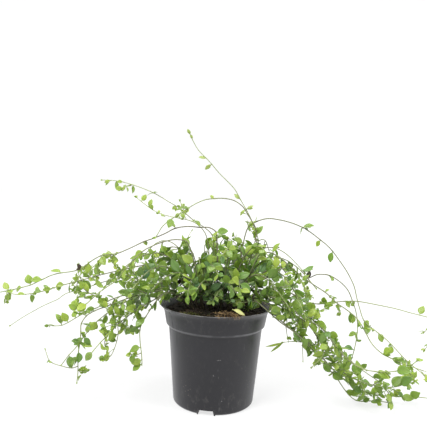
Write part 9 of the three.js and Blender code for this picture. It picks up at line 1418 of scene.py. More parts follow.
        (3, 1, -151.2, 164.7, 103.9, -54, 5.6), (3, 1, -154.8, 163.2, 83.3, 5, 9.4),
        (3, 2, -142.6, 179.7, 95.1, -59, 6.8), (3, 2, -149.5, 171.7, 82.3, -135, 5.3),
    ]),
    ('runner_back_d', [
        [(33.1, 30, 137), (38, 33, 148.3), (42.7, 35.8, 159.6), (50.1, 40.3, 176.9), (57.9, 45.6, 191.2),
         (68.9, 54, 202.9), (76.2, 60, 206.6), (83.9, 66.5, 207.8), (95.5, 76.6, 204.1), (106.7, 86.5, 195.2),
         (116.3, 94.7, 185), (126.6, 103.5, 171.3), (131.7, 107.8, 163.6), (136.7, 111.8, 155.7),
         (143.8, 117, 143.9), (147.3, 119.5, 137.7), (153.1, 123.3, 127), (159.8, 127.5, 113.8),
         (168.3, 132.6, 96.9), (174.7, 136.5, 84.5)],
        [(147.3, 119.5, 137.7), (147.8, 122.9, 128), (146.3, 126.6, 115.1), (144, 128.9, 105.8),
         (140.1, 131.1, 95.1), (135.5, 132.7, 85.3)],
        [(159.8, 127.5, 113.8), (163.9, 134.9, 107.4), (167.3, 143.4, 100.9), (170.2, 153.1, 94.2),
         (172.6, 165.4, 86.6)],
        [(42.7, 35.8, 159.6), (54.6, 38.8, 163.3), (67.2, 41.1, 160.7), (76.3, 42.3, 155.3), (82.6, 43, 150.3)],
    ], [
        (0, 19, 180.8, 136.8, 74.7, -28, 7), (0, 19, 175.6, 146.7, 77.8, 12, 6.2),
        (0, 2, 51.8, 26.3, 167.7, -75, 8.7), (0, 2, 43.1, 47.9, 166.7, 38, 7.4), (0, 3, 49, 28.6, 188.7, -10, 9.9),
        (0, 3, 64.3, 49.3, 175.4, 45, 9.1), (0, 4, 68.9, 41.4, 204, -56, 10.4), (0, 4, 52.5, 63, 194.7, 43, 10.1),
        (0, 5, 71, 72.3, 202.2, -16, 10.5), (0, 5, 85.9, 56.8, 202.8, -50, 8.8),
        (0, 7, 93.1, 67.8, 220.2, 45, 8.2), (0, 7, 93.5, 68.5, 197.8, -12, 7.9), (0, 8, 110.7, 76.9, 202, -1, 8.9),
        (0, 8, 89.2, 79.2, 191.7, 167, 7.6), (0, 9, 124.6, 85.6, 190.4, -66, 9.8),
        (0, 9, 102.1, 94.7, 184.8, 36, 7.2), (0, 10, 126.7, 105.8, 185, 8, 7.9),
        (0, 10, 127.4, 82.9, 182.4, -11, 10), (0, 11, 141.1, 100.8, 165.3, 9, 8.3),
        (0, 11, 135.7, 109.8, 178.5, 153, 7.3), (0, 13, 132.2, 111, 145.4, -142, 7.1),
        (0, 13, 124.9, 115, 142.5, 20, 9.2), (0, 14, 157.5, 110.7, 134.3, -22, 11.3),
        (0, 14, 140.3, 123.4, 131.2, -4, 7.7), (0, 16, 166, 129.7, 132, 47, 8.7),
        (0, 16, 152.6, 109.7, 114.2, -57, 10.1), (0, 17, 159.9, 115.7, 106.7, 103, 8.6),
        (0, 17, 171.5, 127.4, 110.5, 6, 6.4), (0, 18, 179, 135.9, 98.7, -34, 6.6),
        (0, 18, 164.1, 130.2, 85.3, 0, 6.6), (1, 5, 127.4, 135.4, 82.1, 82, 5.7),
        (1, 5, 136.2, 131.3, 77.2, -48, 4.7), (1, 1, 146.4, 137.5, 120, -10, 8.8),
        (1, 1, 142.1, 112.5, 115.7, 60, 10.3), (1, 2, 145.4, 135.7, 109.2, 60, 6.9),
        (1, 2, 133.5, 128, 112.1, 62, 7.7), (1, 3, 132.6, 131.3, 100.2, 129, 7.6),
        (1, 3, 157.9, 126.5, 99.8, 27, 7.8), (1, 4, 139.8, 127.2, 86.7, -92, 5.9),
        (1, 4, 137.1, 120.9, 91.9, -18, 5.8), (2, 4, 177.2, 171.8, 82.7, 2, 4.5),
        (2, 4, 168.6, 172.6, 85.8, 50, 4.3), (2, 1, 173.5, 136.1, 100.7, -37, 7.2),
        (2, 1, 157.9, 144.4, 107.7, 26, 6), (2, 2, 176.1, 153.1, 108.6, 64, 8.4),
        (2, 2, 160.1, 140.9, 89, 150, 7.6), (2, 3, 178, 156.8, 90.6, -5, 6), (2, 3, 160.6, 159.9, 94.5, 4, 6.5),
        (3, 4, 93.1, 45.2, 150.7, -21, 6.5), (3, 4, 88.7, 42.3, 143.5, -56, 5.4),
        (3, 1, 62.6, 40.6, 171.8, 149, 6.8), (3, 1, 67.6, 42.8, 156.1, -14, 7.8),
        (3, 2, 71.6, 34.1, 165.2, -36, 6), (3, 2, 67.1, 49.9, 159.4, 51, 5.5), (3, 3, 86, 45.1, 162.3, -147, 6.3),
        (3, 3, 80.5, 42.9, 145.3, -21, 6.2), (3, 2, 64.4, 33.6, 161.5, -45, 4.6),
    ]),
    ('runner_front_a', [
        [(-18.4, -6.8, 137), (-20.9, -11.5, 149.8), (-23.4, -16.5, 162.5), (-26.4, -24, 174), (-30, -34.4, 181.7),
         (-33.8, -44.6, 183.8), (-39, -56.7, 182.2), (-44.5, -66.9, 178.6), (-52.2, -77.5, 172.3)],
        [(-23.4, -16.5, 162.5), (-13.3, -22.5, 167.9), (1.3, -26.6, 164.5)],
    ], [
        (0, 8, -60.7, -82.3, 172.6, 31, 5.8), (0, 8, -55.2, -85.2, 170.5, 44, 4.8),
        (0, 2, -27.2, -26.9, 161.9, 10, 6.7), (0, 2, -24.1, -29, 167.9, -7, 7.5),
        (0, 3, -39.2, -30.3, 181.6, -72, 8.3), (0, 3, -15.2, -29, 180.5, 54, 8.6),
        (0, 4, -25, -34.7, 196.5, -16, 9), (0, 4, -26.9, -45.3, 172.7, 48, 8.7),
        (0, 5, -49.3, -45.3, 183.8, -52, 8), (0, 5, -24.8, -55.2, 187, 75, 8),
        (0, 6, -43.5, -65.9, 188.3, 59, 6.3), (0, 6, -40.7, -63.2, 168.4, 36, 8.8),
        (0, 7, -56.9, -67.1, 182.9, -73, 7.7), (0, 7, -38.5, -77.8, 175.6, 66, 7.3),
        (1, 2, 6.4, -25, 160.5, 59, 4.2), (1, 2, 9, -27.2, 160.8, 46, 4.7), (1, 1, -11.3, -29.1, 164.2, 41, 4.6),
        (1, 1, -5.4, -24.1, 159.1, 17, 7.3),
    ]),
]

SEED = 20261125
UP = np.array([0.0, 0.0, 1.0])


def unit(v):
    n = np.linalg.norm(v, axis=-1, keepdims=True)
    return v / np.maximum(n, 1e-9)


# ------------------------------------------------------------------ node helper
class Tree:
    """A short way to write a material's nodes."""

    def __init__(self, name):
        self.mat = bpy.data.materials.new(name)
        self.mat.use_nodes = True
        self.t = self.mat.node_tree
        self.t.nodes.clear()
        self.out = self.n("ShaderNodeOutputMaterial")

    def n(self, kind, **settings):
        node = self.t.nodes.new(kind)
        for key, value in settings.items():
            if key.startswith("i_"):
                node.inputs[key[2:].replace("_", " ")].default_value = value
            else:
                setattr(node, key, value)
        return node

    def put(self, value, socket):
        if isinstance(value, bpy.types.NodeSocket):
            self.t.links.new(value, socket)
        elif value is not None:
            socket.default_value = value

    def math(self, op, a, b=None, c=None, clamp=False):
        m = self.n("ShaderNodeMath", operation=op, use_clamp=clamp)
        self.put(a, m.inputs[0])
        self.put(b, m.inputs[1])
        self.put(c, m.inputs[2])
        return m.outputs[0]

    def mix(self, fac, a, b, blend="MIX"):
        m = self.n("ShaderNodeMix", data_type="RGBA", blend_type=blend)
        self.put(fac, m.inputs[0])
        self.put(a if isinstance(a, bpy.types.NodeSocket) else (*a, 1.0)[:4], m.inputs[6])
        self.put(b if isinstance(b, bpy.types.NodeSocket) else (*b, 1.0)[:4], m.inputs[7])
        return m.outputs[2]

    def ramp(self, value, low, high, to_low=0.0, to_high=1.0):
        m = self.n("ShaderNodeMapRange", interpolation_type="SMOOTHSTEP")
        self.put(value, m.inputs[0])
        for i, v in enumerate((low, high, to_low, to_high), 1):
            m.inputs[i].default_value = v
        return m.outputs[0]

    def noise(self, vector, scale, detail=3.0, rough=0.55, distortion=0.0):
        m = self.n("ShaderNodeTexNoise")
        self.put(vector, m.inputs["Vector"])
        m.inputs["Scale"].default_value = scale
        m.inputs["Detail"].default_value = detail
        m.inputs["Roughness"].default_value = rough
        m.inputs["Distortion"].default_value = distortion
        return m.outputs[0]

    def stretched(self, vector, scale):
        m = self.n("ShaderNodeMapping")
        self.put(vector, m.inputs["Vector"])
        m.inputs["Scale"].default_value = scale
        return m.outputs[0]

    def bump(self, height, strength, distance, normal=None):
        m = self.n("ShaderNodeBump")
        m.inputs["Strength"].default_value = strength
        m.inputs["Distance"].default_value = distance
        self.put(height, m.inputs["Height"])
        self.put(normal, m.inputs["Normal"])
        return m.outputs[0]

    def shader(self, **inputs):
        p = self.n("ShaderNodeBsdfPrincipled")
        for key, value in inputs.items():
            self.put(value, p.inputs[key.replace("_", " ")])
        return p

    def finish(self, shader):
        self.t.links.new(shader.outputs[0] if hasattr(shader, "outputs") else shader, self.out.inputs[0])
        return self.mat


def place_of(t):
    return t.n("ShaderNodeTexCoord").outputs["Object"]


# ------------------------------------------------------------------- materials
def pot_material():
    t = Tree("pot_plastic_satin")
    where = place_of(t)
    xyz = t.n("ShaderNodeSeparateXYZ")
    t.put(where, xyz.inputs[0])
    z = xyz.outputs[2]
    cloud = t.noise(where, 22.0, 4.0, 0.6)
    fine = t.noise(where, 420.0, 3.0, 0.6)
    base = t.mix(cloud, (0.0040, 0.0040, 0.0062), (0.0105, 0.0100, 0.0130))
    # soil dust: thick at the foot, thin streaks above, some under the lip
    low = t.ramp(z, 0.046, 0.0, 0.0, 1.0)
    high = t.math("MULTIPLY", t.ramp(z, 0.118, 0.146, 0.0, 1.0), 0.55)
    dust_noise = t.noise(t.stretched(where, (1.0, 1.0, 0.55)), 130.0, 6.0, 0.7)
    dust = t.ramp(dust_noise, 0.50, 0.78, 0.0, 1.0)
    dust = t.math("MULTIPLY", dust, t.math("ADD", t.math("ADD", low, high), 0.16), clamp=True)
    base = t.mix(t.math("MULTIPLY", dust, 0.62), base, (0.125, 0.118, 0.108))
    # specks of dried soil
    v = t.n("ShaderNodeTexVoronoi", feature="F1")
    t.put(where, v.inputs["Vector"])
    v.inputs["Scale"].default_value = 260.0
    speck = t.ramp(v.outputs["Distance"], 0.22, 0.10, 0.0, 1.0)
    speck = t.math("MULTIPLY", speck, t.ramp(t.noise(where, 34.0, 2.0), 0.56, 0.68, 0.0, 1.0))
    speck = t.math("MULTIPLY", speck, t.ramp(z, 0.10, 0.0, 0.25, 1.0))
    base = t.mix(t.math("MULTIPLY", speck, 0.75), base, (0.16, 0.135, 0.105))
    # fine upright scratches, paler than the plastic
    scratch = t.noise(t.stretched(where, (1.0, 1.0, 0.06)), 620.0, 2.0, 0.5)
    scratch = t.ramp(scratch, 0.66, 0.74, 0.0, 1.0)
    scratch = t.math("MULTIPLY", scratch, t.ramp(t.noise(where, 46.0, 2.0), 0.52, 0.66, 0.0, 1.0))
    base = t.mix(t.math("MULTIPLY", scratch, 0.5), base, (0.14, 0.14, 0.145))
    # a patch of scratches on the collar and some scuffs
    for at, size, much, thin in (((0.0355, -0.0772, 0.1255), (0.0055, 0.010, 0.0070), 0.85, True),
                                 ((0.0430, -0.0730, 0.1290), (0.0040, 0.010, 0.0050), 0.55, True),
                                 ((-0.0170, -0.0830, 0.1365), (0.0040, 0.010, 0.0013), 0.55, False),
                                 ((0.0055, -0.0700, 0.0830), (0.0042, 0.010, 0.0010), 0.60, False),
                                 ((-0.0010, -0.0690, 0.0600), (0.0035, 0.010, 0.0020), 0.30, False),
                                 ((-0.0450, -0.0700, 0.1430), (0.0030, 0.010, 0.0012), 0.60, False),
                                 ((0.0120, -0.0600, 0.0230), (0.0016, 0.010, 0.0018), 0.65, False),
                                 ((-0.0640, -0.0480, 0.1130), (0.0020, 0.010, 0.0110), 0.45, True)):
        off = t.n("ShaderNodeVectorMath", operation="SUBTRACT")
        t.put(where, off.inputs[0])
        off.inputs[1].default_value = at
        far = t.n("ShaderNodeVectorMath", operation="LENGTH")
        t.put(t.stretched(off.outputs[0], tuple(1 / c for c in size)), far.inputs[0])
        mark = t.math("MULTIPLY", t.ramp(far.outputs["Value"], 1.0, 0.45, 0.0, 1.0), much)
        grain = t.noise(t.stretched(where, (1.0, 1.0, 0.03 if thin else 0.6)), 900.0 if thin else 500.0, 2.0, 0.5)
        mark = t.math("MULTIPLY", mark, t.ramp(grain, 0.52, 0.62, 0.0, 1.0))
        base = t.mix(mark, base, (0.30, 0.295, 0.29))
    # dark upright smears near the left side
    smear = t.ramp(t.noise(t.stretched(where, (1.0, 1.0, 0.05)), 210.0, 2.0, 0.5), 0.55, 0.66, 0.0, 1.0)
    smear = t.math("MULTIPLY", smear, t.ramp(xyz.outputs[0], -0.050, -0.062, 0.0, 0.8))
    smear = t.math("MULTIPLY", smear, t.ramp(z, 0.070, 0.095, 0.0, 1.0))
    # the step under the collar and the lip's edge are paler: rubbed wear together with a painted highlight along these
    # edges
    step = t.math("MULTIPLY", t.ramp(z, 0.1152, 0.1164, 0.0, 1.0), t.ramp(z, 0.1202, 0.1188, 0.0, 1.0))
    lip = t.ramp(z, 0.1468, 0.1476, 0.0, 1.0)
    rub_and_highlight = t.math("MULTIPLY", t.math("MAXIMUM", step, lip), t.ramp(t.noise(where, 60.0, 3.0), 0.36, 0.60, 0.30, 1.0))
    base = t.mix(t.math("MULTIPLY", rub_and_highlight, 0.60), base, t.mix(lip, (0.10, 0.10, 0.105), (0.26, 0.25, 0.24)))
    base = t.mix(smear, base, (0.004, 0.004, 0.005))
    rough = t.math("ADD", t.math("MULTIPLY", cloud, 0.16), t.math("MULTIPLY", fine, 0.10))
    rough = t.math("ADD", rough, 0.25)
    rough = t.math("ADD", rough, t.math("MULTIPLY", dust, 0.25), clamp=True)
    rough = t.math("ADD", rough, t.math("MULTIPLY", smear, 0.35), clamp=True)
    height = t.math("ADD", t.math("MULTIPLY", fine, 0.25), t.math("MULTIPLY", scratch, -0.6))
    height = t.math("ADD", height, t.math("MULTIPLY", speck, 1.2))
    normal = t.bump(height, 0.35, 0.0002)
    normal = t.bump(t.noise(t.stretched(where, (1.0, 1.0, 0.35)), 34.0, 2.0), 0.25, 0.0012, normal)
    p = t.shader(Base_Color=base, Roughness=rough, Normal=normal)
    p.inputs["Specular IOR Level"].default_value = 0.46
    p.inputs["Sheen Weight"].default_value = 0.22
    p.inputs["Sheen Roughness"].default_value = 0.42
    p.inputs["Sheen Tint"].default_value = (0.86, 0.86, 0.92, 1.0)
    return t.finish(p)


def soil_material():
    t = Tree("potting_soil_peat")
    where = place_of(t)
    big = t.noise(where, 60.0, 5.0, 0.65)
    fine = t.noise(where, 900.0, 4.0, 0.7)
    base = t.mix(big, (0.0085, 0.0062, 0.0045), (0.034, 0.023, 0.015))
    # pale fibres and dry crumbs
    v = t.n("ShaderNodeTexVoronoi", feature="F1")
    t.put(where, v.inputs["Vector"])
    v.inputs["Scale"].default_value = 520.0
    crumb = t.ramp(v.outputs["Distance"], 0.42, 0.10, 0.0, 1.0)
    pale = t.math("MULTIPLY", crumb, t.ramp(t.noise(where, 150.0, 2.0), 0.57, 0.66, 0.0, 1.0))
    base = t.mix(t.math("MULTIPLY", pale, 0.6), base, (0.085, 0.055, 0.032))
    # a green film at the front left
    g = t.n("ShaderNodeVectorMath", operation="DISTANCE")
    t.put(t.stretched(where, (1.0, 1.0, 0.0)), g.inputs[0])
    g.inputs[1].default_value = (-0.034, -0.052, 0.0)
    film = t.math("MULTIPLY", t.ramp(g.outputs["Value"], 0.042, 0.012, 0.0, 1.0),
                  t.ramp(t.noise(where, 210.0, 4.0), 0.42, 0.62, 0.0, 1.0))
    base = t.mix(t.math("MULTIPLY", film, 0.75), base, (0.052, 0.066, 0.014))
    normal = t.bump(t.math("ADD", fine, t.math("MULTIPLY", crumb, 0.7)), 0.9, 0.0011)
    p = t.shader(Base_Color=base, Roughness=0.92, Normal=normal)
    p.inputs["Specular IOR Level"].default_value = 0.25
    return t.finish(p)


def fibre_material(name, dark, light, scale=300.0, rough=0.85):
    """Colour runs from dark to light by the piece's own number for each strand."""
    t = Tree(name)
    where = place_of(t)
    a = t.n("ShaderNodeAttribute", attribute_name="strand")
    s = t.n("ShaderNodeSeparateColor")
    t.put(a.outputs["Color"], s.inputs[0])
    n = t.noise(where, scale, 3.0, 0.6)
    base = t.mix(s.outputs[0], dark, light)
    base = t.mix(t.ramp(n, 0.35, 0.75, 0.0, 0.6), base, tuple(0.45 * c for c in dark))
    p = t.shader(Base_Color=base, Roughness=rough, Normal=t.bump(n, 0.6, 0.0004))
    p.inputs["Specular IOR Level"].default_value = 0.3
    return t.finish(p)


def stem_material():
    t = Tree("stem_green_brown")
    where = place_of(t)
    a = t.n("ShaderNodeAttribute", attribute_name="stem")
    s = t.n("ShaderNodeSeparateColor")
    t.put(a.outputs["Color"], s.inputs[0])
    age, rnd = s.outputs[0], s.outputs[1]  # age: 0 woody foot, 1 growing tip
    n = t.noise(where, 260.0, 3.0, 0.6)
    old = t.mix(rnd, (0.075, 0.056, 0.036), (0.105, 0.094, 0.052))
    mid = t.mix(rnd, (0.165, 0.155, 0.095), (0.180, 0.210, 0.095))
    young = t.mix(rnd, (0.240, 0.310, 0.105), (0.33, 0.38, 0.155))
    base = t.mix(t.ramp(age, 0.02, 0.28), old, mid)
    base = t.mix(t.ramp(age, 0.45, 0.95), base, young)
    base = t.mix(t.ramp(n, 0.45, 0.8, 0.0, 0.35), base, (0.10, 0.085, 0.04))
    p = t.shader(Base_Color=base, Roughness=0.5, Normal=t.bump(n, 0.35, 0.0003))
    p.inputs["Specular IOR Level"].default_value = 0.4
    return t.finish(p)


def leaf_material(name, pale_colour):
    t = Tree(name)
    where = place_of(t)
    a = t.n("ShaderNodeAttribute", attribute_name="leaf")
    s = t.n("ShaderNodeSeparateColor")
    t.put(a.outputs["Color"], s.inputs[0])
    along, across, rnd = s.outputs[0], s.outputs[1], s.outputs[2]
    youth_and_shade = a.outputs["Alpha"]
    b = t.n("ShaderNodeAttribute", attribute_name="face")
    s2 = t.n("ShaderNodeSeparateColor")
    t.put(b.outputs["Color"], s2.inputs[0])
    upper, warm, pale = s2.outputs[0], s2.outputs[1], s2.outputs[2]
    v = t.math("ABSOLUTE", t.math("SUBTRACT", t.math("MULTIPLY", across, 2.0), 1.0))
    # the tone runs from dark to bright with the leaf's youth and its painted shade: leaves given painted shade deep in
    # the mound come out dark
    dark = t.mix(warm, (0.017, 0.058, 0.020), (0.036, 0.084, 0.010))
    mid = t.mix(warm, (0.152, 0.306, 0.070), (0.275, 0.410, 0.060))
    bright = t.mix(warm, (0.370, 0.510, 0.105), (0.500, 0.600, 0.110))
    base = t.mix(t.ramp(youth_and_shade, 0.0, 0.5), dark, mid)
    base = t.mix(t.ramp(youth_and_shade, 0.45, 1.0), base, bright)
    # each blade: blotches, a paler foot, the pale midrib and side veins
    blotch = t.noise(where, 150.0, 3.0, 0.6)
    base = t.mix(t.ramp(blotch, 0.35, 0.75, 0.0, 0.30), base, t.mix(0.5, base, (0.42, 0.50, 0.10)))
    side = t.math("SUBTRACT", along, t.math("MULTIPLY", v, 0.20))
    wave = t.math("SINE", t.math("MULTIPLY", side, 47.0))
    vein = t.math("MULTIPLY", t.ramp(wave, 0.80, 1.0), t.ramp(v, 0.98, 0.55, 0.0, 1.0))
    rib = t.ramp(v, 0.13, 0.03, 0.0, 1.0)
    rib = t.math("MULTIPLY", rib, t.ramp(along, 1.0, 0.75, 0.25, 1.0))
    veins = t.math("MAXIMUM", rib, t.math("MULTIPLY", vein, 0.28))
    base = t.mix(t.math("MULTIPLY", veins, 0.52), base, (0.36, 0.46, 0.16))
    base = t.mix(t.ramp(along, 0.20, 0.10, 0.0, 0.7), base, (0.26, 0.36, 0.10))
    # some blades get a painted cool sheen in their colour, and the odd one is dead and brown
    base = t.mix(t.ramp(rnd, 0.74, 0.92, 0.0, 0.55), base, (0.120, 0.250, 0.125))
    # the underside is duller and paler
    under = t.mix(0.55, base, (0.185, 0.275, 0.080))
    base = t.mix(upper, under, base)
    base = t.mix(t.math("MULTIPLY", pale, 0.9), base, pale_colour)
    base = t.mix(b.outputs["Alpha"], t.mix(blotch, (0.018, 0.012, 0.008), (0.070, 0.045, 0.028)), base)
    rough = t.math("ADD", t.math("MULTIPLY", blotch, 0.14), 0.27)
    rough = t.mix(upper, (0.60, 0.60, 0.60), rough)
    height = t.math("ADD", t.math("MULTIPLY", veins, -1.0), t.math("MULTIPLY", t.noise(where, 700.0, 2.0), 0.25))
    normal = t.bump(height, 0.5, 0.00022)
    p = t.shader(Base_Color=base, Normal=normal)
    t.t.links.new(rough, p.inputs["Roughness"])
    p.inputs["Specular IOR Level"].default_value = 0.5
    thin = t.n("ShaderNodeBsdfTranslucent")
    t.put(t.mix(0.6, base, (0.60, 0.78, 0.13)), thin.inputs["Color"])
    t.put(normal, thin.inputs["Normal"])
    m = t.n("ShaderNodeMixShader")
    t.put(t.math("MULTIPLY", b.outputs["Alpha"], t.ramp(youth_and_shade, 0.05, 0.60, 0.16, 0.48)), m.inputs[0])
    t.t.links.new(p.outputs[0], m.inputs[1])
    t.t.links.new(thin.outputs[0], m.inputs[2])
    return t.finish(m)


# ---------------------------------------------------------------- mesh builders
def mesh_piece(name, verts, faces, materials, index=None, colours=None, smooth=True):
    """verts in millimetres. colours: {attribute: rows of four} for each vertex."""
    me = bpy.data.meshes.new(name)
    me.from_pydata((np.asarray(verts) * MM).tolist(), [], faces)
    for m in materials:
        me.materials.append(m)
    if index is not None:
        me.polygons.foreach_set("material_index", np.asarray(index, dtype=np.int32))
    me.polygons.foreach_set("use_smooth", [smooth] * len(me.polygons))
    for key, rows in (colours or {}).items():
        a = me.color_attributes.new(key, "FLOAT_COLOR", "POINT")
        a.data.foreach_set("color", np.asarray(rows, dtype=np.float32).ravel())
    me.validate()
    me.update()
    ob = bpy.data.objects.new(name, me)
    scene.collection.objects.link(ob)
    return ob


def catmull(points, per):
    """A centripetal curve through every point, with per steps in each span; also each step's span number."""
    p = np.asarray(points, float)
    q = np.vstack([2 * p[0] - p[1], p, 2 * p[-1] - p[-2]])
    out, at = [], []
    for i in range(1, len(q) - 2):
        p0, p1, p2, p3 = q[i - 1], q[i], q[i + 1], q[i + 2]
        t0 = 0.0
        t1 = t0 + max(np.linalg.norm(p1 - p0), 1e-3) ** 0.5
        t2 = t1 + max(np.linalg.norm(p2 - p1), 1e-3) ** 0.5
        t3 = t2 + max(np.linalg.norm(p3 - p2), 1e-3) ** 0.5
        for k in range(per):
            t = t1 + (t2 - t1) * k / per
            a1 = (t1 - t) / (t1 - t0) * p0 + (t - t0) / (t1 - t0) * p1
            a2 = (t2 - t) / (t2 - t1) * p1 + (t - t1) / (t2 - t1) * p2
            a3 = (t3 - t) / (t3 - t2) * p2 + (t - t2) / (t3 - t2) * p3
            b1 = (t2 - t) / (t2 - t0) * a1 + (t - t0) / (t2 - t0) * a2
            b2 = (t3 - t) / (t3 - t1) * a2 + (t - t1) / (t3 - t1) * a3
            out.append((t2 - t) / (t2 - t1) * b1 + (t - t1) / (t2 - t1) * b2)
            at.append(i - 1 + k / per)
    out.append(p[-1])
    at.append(len(p) - 1.0)
    return np.array(out), np.array(at)


def tube(path, radii, sides):
    """A closed tube along path: vertices, faces, and each vertex's ring number."""
    path = np.asarray(path, float)
    n = len(path)
    tang = unit(np.gradient(path, axis=0))
    u = np.cross(tang[0], UP if abs(tang[0][2]) < 0.9 else np.array([1.0, 0, 0]))
    u = unit(u)
    rings = []
    for i in range(n):
        u = unit(u - np.dot(u, tang[i]) * tang[i])
        w = np.cross(tang[i], u)
        a = np.arange(sides) * 2 * math.pi / sides
        rings.append(path[i] + radii[i] * (np.cos(a)[:, None] * u + np.sin(a)[:, None] * w))
    verts = np.vstack(rings + [path[:1], path[-1:]])
    faces = []
    for i in range(n - 1):
        for j in range(sides):
            k = (j + 1) % sides
            faces.append((i * sides + j, i * sides + k, (i + 1) * sides + k, (i + 1) * sides + j))
    first, last = n * sides, n * sides + 1
    for j in range(sides):
        k = (j + 1) % sides
        faces.append((first, k, j))
        faces.append((last, (n - 1) * sides + j, (n - 1) * sides + k))
    ring = np.concatenate([np.repeat(np.arange(n), sides), [0, n - 1]])
    return verts, faces, ring


# ------------------------------------------------------------------------- pot
def arc(profile, i, radius, steps=5):
    """Corner i of the profile rounded off."""
    a, b, c = (np.array(profile[k], float) for k in (i - 1, i, i + 1))
    d1, d2 = (a - b), (c - b)
    l = min(radius, 0.45 * np.linalg.norm(d1), 0.45 * np.linalg.norm(d2))
    s, e = b + d1 / np.linalg.norm(d1) * l, b + d2 / np.linalg.norm(d2) * l
    return [tuple((1 - t) ** 2 * s + 2 * t * (1 - t) * b + t * t * e) for t in np.linspace(0, 1, steps)]


def turned(profile, facets):
    """A closed solid from a profile that starts and ends on the axis."""
    verts, faces, rows = [], [], []
    for r, z in profile:
        if r < 1e-6:
            rows.append([len(verts)])
            verts.append((0.0, 0.0, z))
        else:
            rows.append(list(range(len(verts), len(verts) + facets)))
            verts += [(r * math.cos(2 * math.pi * k / facets), r * math.sin(2 * math.pi * k / facets), z)
                      for k in range(facets)]
    for a, b in zip(rows[:-1], rows[1:]):
        for k in range(facets):
            j = (k + 1) % facets
            if len(a) == 1:
                faces.append((a[0], b[j], b[k]))
            elif len(b) == 1:
                faces.append((a[k], a[j], b[0]))
            else:
                faces.append((a[k], a[j], b[j], b[k]))
    return verts, faces


def pocket_block(grow, inner, outer, turn):
    half, top = POCKET_W / 2 + grow, POCKET_TOP_W / 2 + grow
    low = 0.05 if grow > 0 else -2.0
    ring = [(-half, low), (half, low), (top, POCKET_H + grow), (-top, POCKET_H + grow)]
    c, s = math.cos(turn), math.sin(turn)
    verts = []
    for r in (inner, outer):
        for y, z in ring:
            verts.append((r * c - y * s, r * s + y * c, z))
    faces = [(3, 2, 1, 0), (4, 5, 6, 7)] + [(k, (k + 1) % 4, (k + 1) % 4 + 4, k + 4) for k in range(4)]
    return verts, faces


def cut(target, other, how):
    m = target.modifiers.new("cut", "BOOLEAN")
    m.operation, m.solver, m.object = how, "EXACT", other
    bpy.context.view_layer.objects.active = target
    dg = bpy.context.evaluated_depsgraph_get()
    new = bpy.data.meshes.new_from_object(target.evaluated_get(dg))
    target.modifiers.clear()
    target.data = new
    bpy.data.objects.remove(other, do_unlink=True)


def plain(name, verts, faces):
    me = bpy.data.meshes.new(name)
    me.from_pydata([tuple(c * MM for c in v) for v in verts], [], faces)
    me.update()
    bm = bmesh.new()
    bm.from_mesh(me)
    bmesh.ops.recalc_face_normals(bm, faces=bm.faces)
    bm.to_mesh(me)
    bm.free()
    ob = bpy.data.objects.new(name, me)
    scene.collection.objects.link(ob)
    return ob


def make_pot(material):
    foot = POT_H - COLLAR_H
    corners = [
        (0, 0), (BASE_R - BASE_ROUND, 0), (BASE_R, BASE_ROUND), (BODY_TOP_R, foot - 4), (COLLAR_FOOT_R, foot),
        (COLLAR_TOP_R, POT_H - 10), (COLLAR_TOP_R + 2.2, POT_H - 5), (RIM_R, POT_H - 0.9), (RIM_R, POT_H),
        (RIM_R - WALL, POT_H), (COLLAR_TOP_R + 2.2 - WALL, POT_H - 4.4), (COLLAR_TOP_R - WALL, POT_H - 9.6),
        (COLLAR_FOOT_R - WALL, foot + 0.4), (BODY_TOP_R - WALL, foot - 3.6), (BASE_R - WALL, BASE_ROUND + WALL),
        (BASE_R - BASE_ROUND - 0.4, WALL), (0, WALL)]
    soften = {1: 1.6, 2: 2.6, 3: 1.0, 4: 0.9, 5: 5.0, 6: 4.0, 7: 0.5, 8: 0.35, 9: 0.35, 10: 4.0, 11: 5.0, 12: 0.9,
              13: 1.0, 14: 2.0, 15: 1.6}
    profile = []
    for i, c in enumerate(corners):
        profile += arc(corners, i, soften[i], 4) if i in soften else [c]
    # more rows up the wall, so that it can be slightly uneven
    fuller = [profile[0]]
    for a, b in zip(profile[:-1], profile[1:]):
        n = max(1, int(math.dist(a, b) / 9.0)) if a[0] > 50 and b[0] > 50 else 1
        for k in range(1, n + 1):
            fuller.append((a[0] + (b[0] - a[0]) * k / n, a[1] + (b[1] - a[1]) * k / n))
    verts, faces = turned(fuller, 168)
    moved = []
    for x, y, z in verts:
        r = math.hypot(x, y)
        if r > 40 and z > 6:
            a = math.atan2(y, x)
            # thin plastic never stays quite round
            d = 0.35 * math.sin(2 * a + 0.6) * (z / POT_H) + 0.16 * math.sin(5 * a + 1.1 + z / 60)
            d *= min(1.0, (z - 6) / 30)
            x, y = x * (1 + d / r), y * (1 + d / r)
        moved.append((x, y, z))
    pot = plain("pot_shell", moved, faces)
    for i in range(POCKETS):
        turn = math.radians(POCKET_AZ + 360 / POCKETS * i)
        inner = BASE_R - POCKET_D
        cut(pot, plain("b", *pocket_block(WALL, inner - WALL, BASE_R - 1.6, turn)), "UNION")
    for i in range(POCKETS):
        turn = math.radians(POCKET_AZ + 360 / POCKETS * i)
        inner = BASE_R - POCKET_D
        cut(pot, plain("b", *pocket_block(0, inner, BASE_R + 6, turn)), "DIFFERENCE")
        v, f = turned([(0, 2.0), (DRAIN_R, 2.0), (DRAIN_R, 13.0), (0, 13.0)], 24)
        r = inner + POCKET_D / 2
        v = [(x + r * math.cos(turn), y + r * math.sin(turn), z) for x, y, z in v]
        cut(pot, plain("b", v, f), "DIFFERENCE")
    me = pot.data
    me.materials.clear()
    me.materials.append(material)
    me.polygons.foreach_set("use_smooth", [True] * len(me.polygons))
    me.set_sharp_from_angle(angle=math.radians(38))
    pot.name = "pot_shell"
    return pot


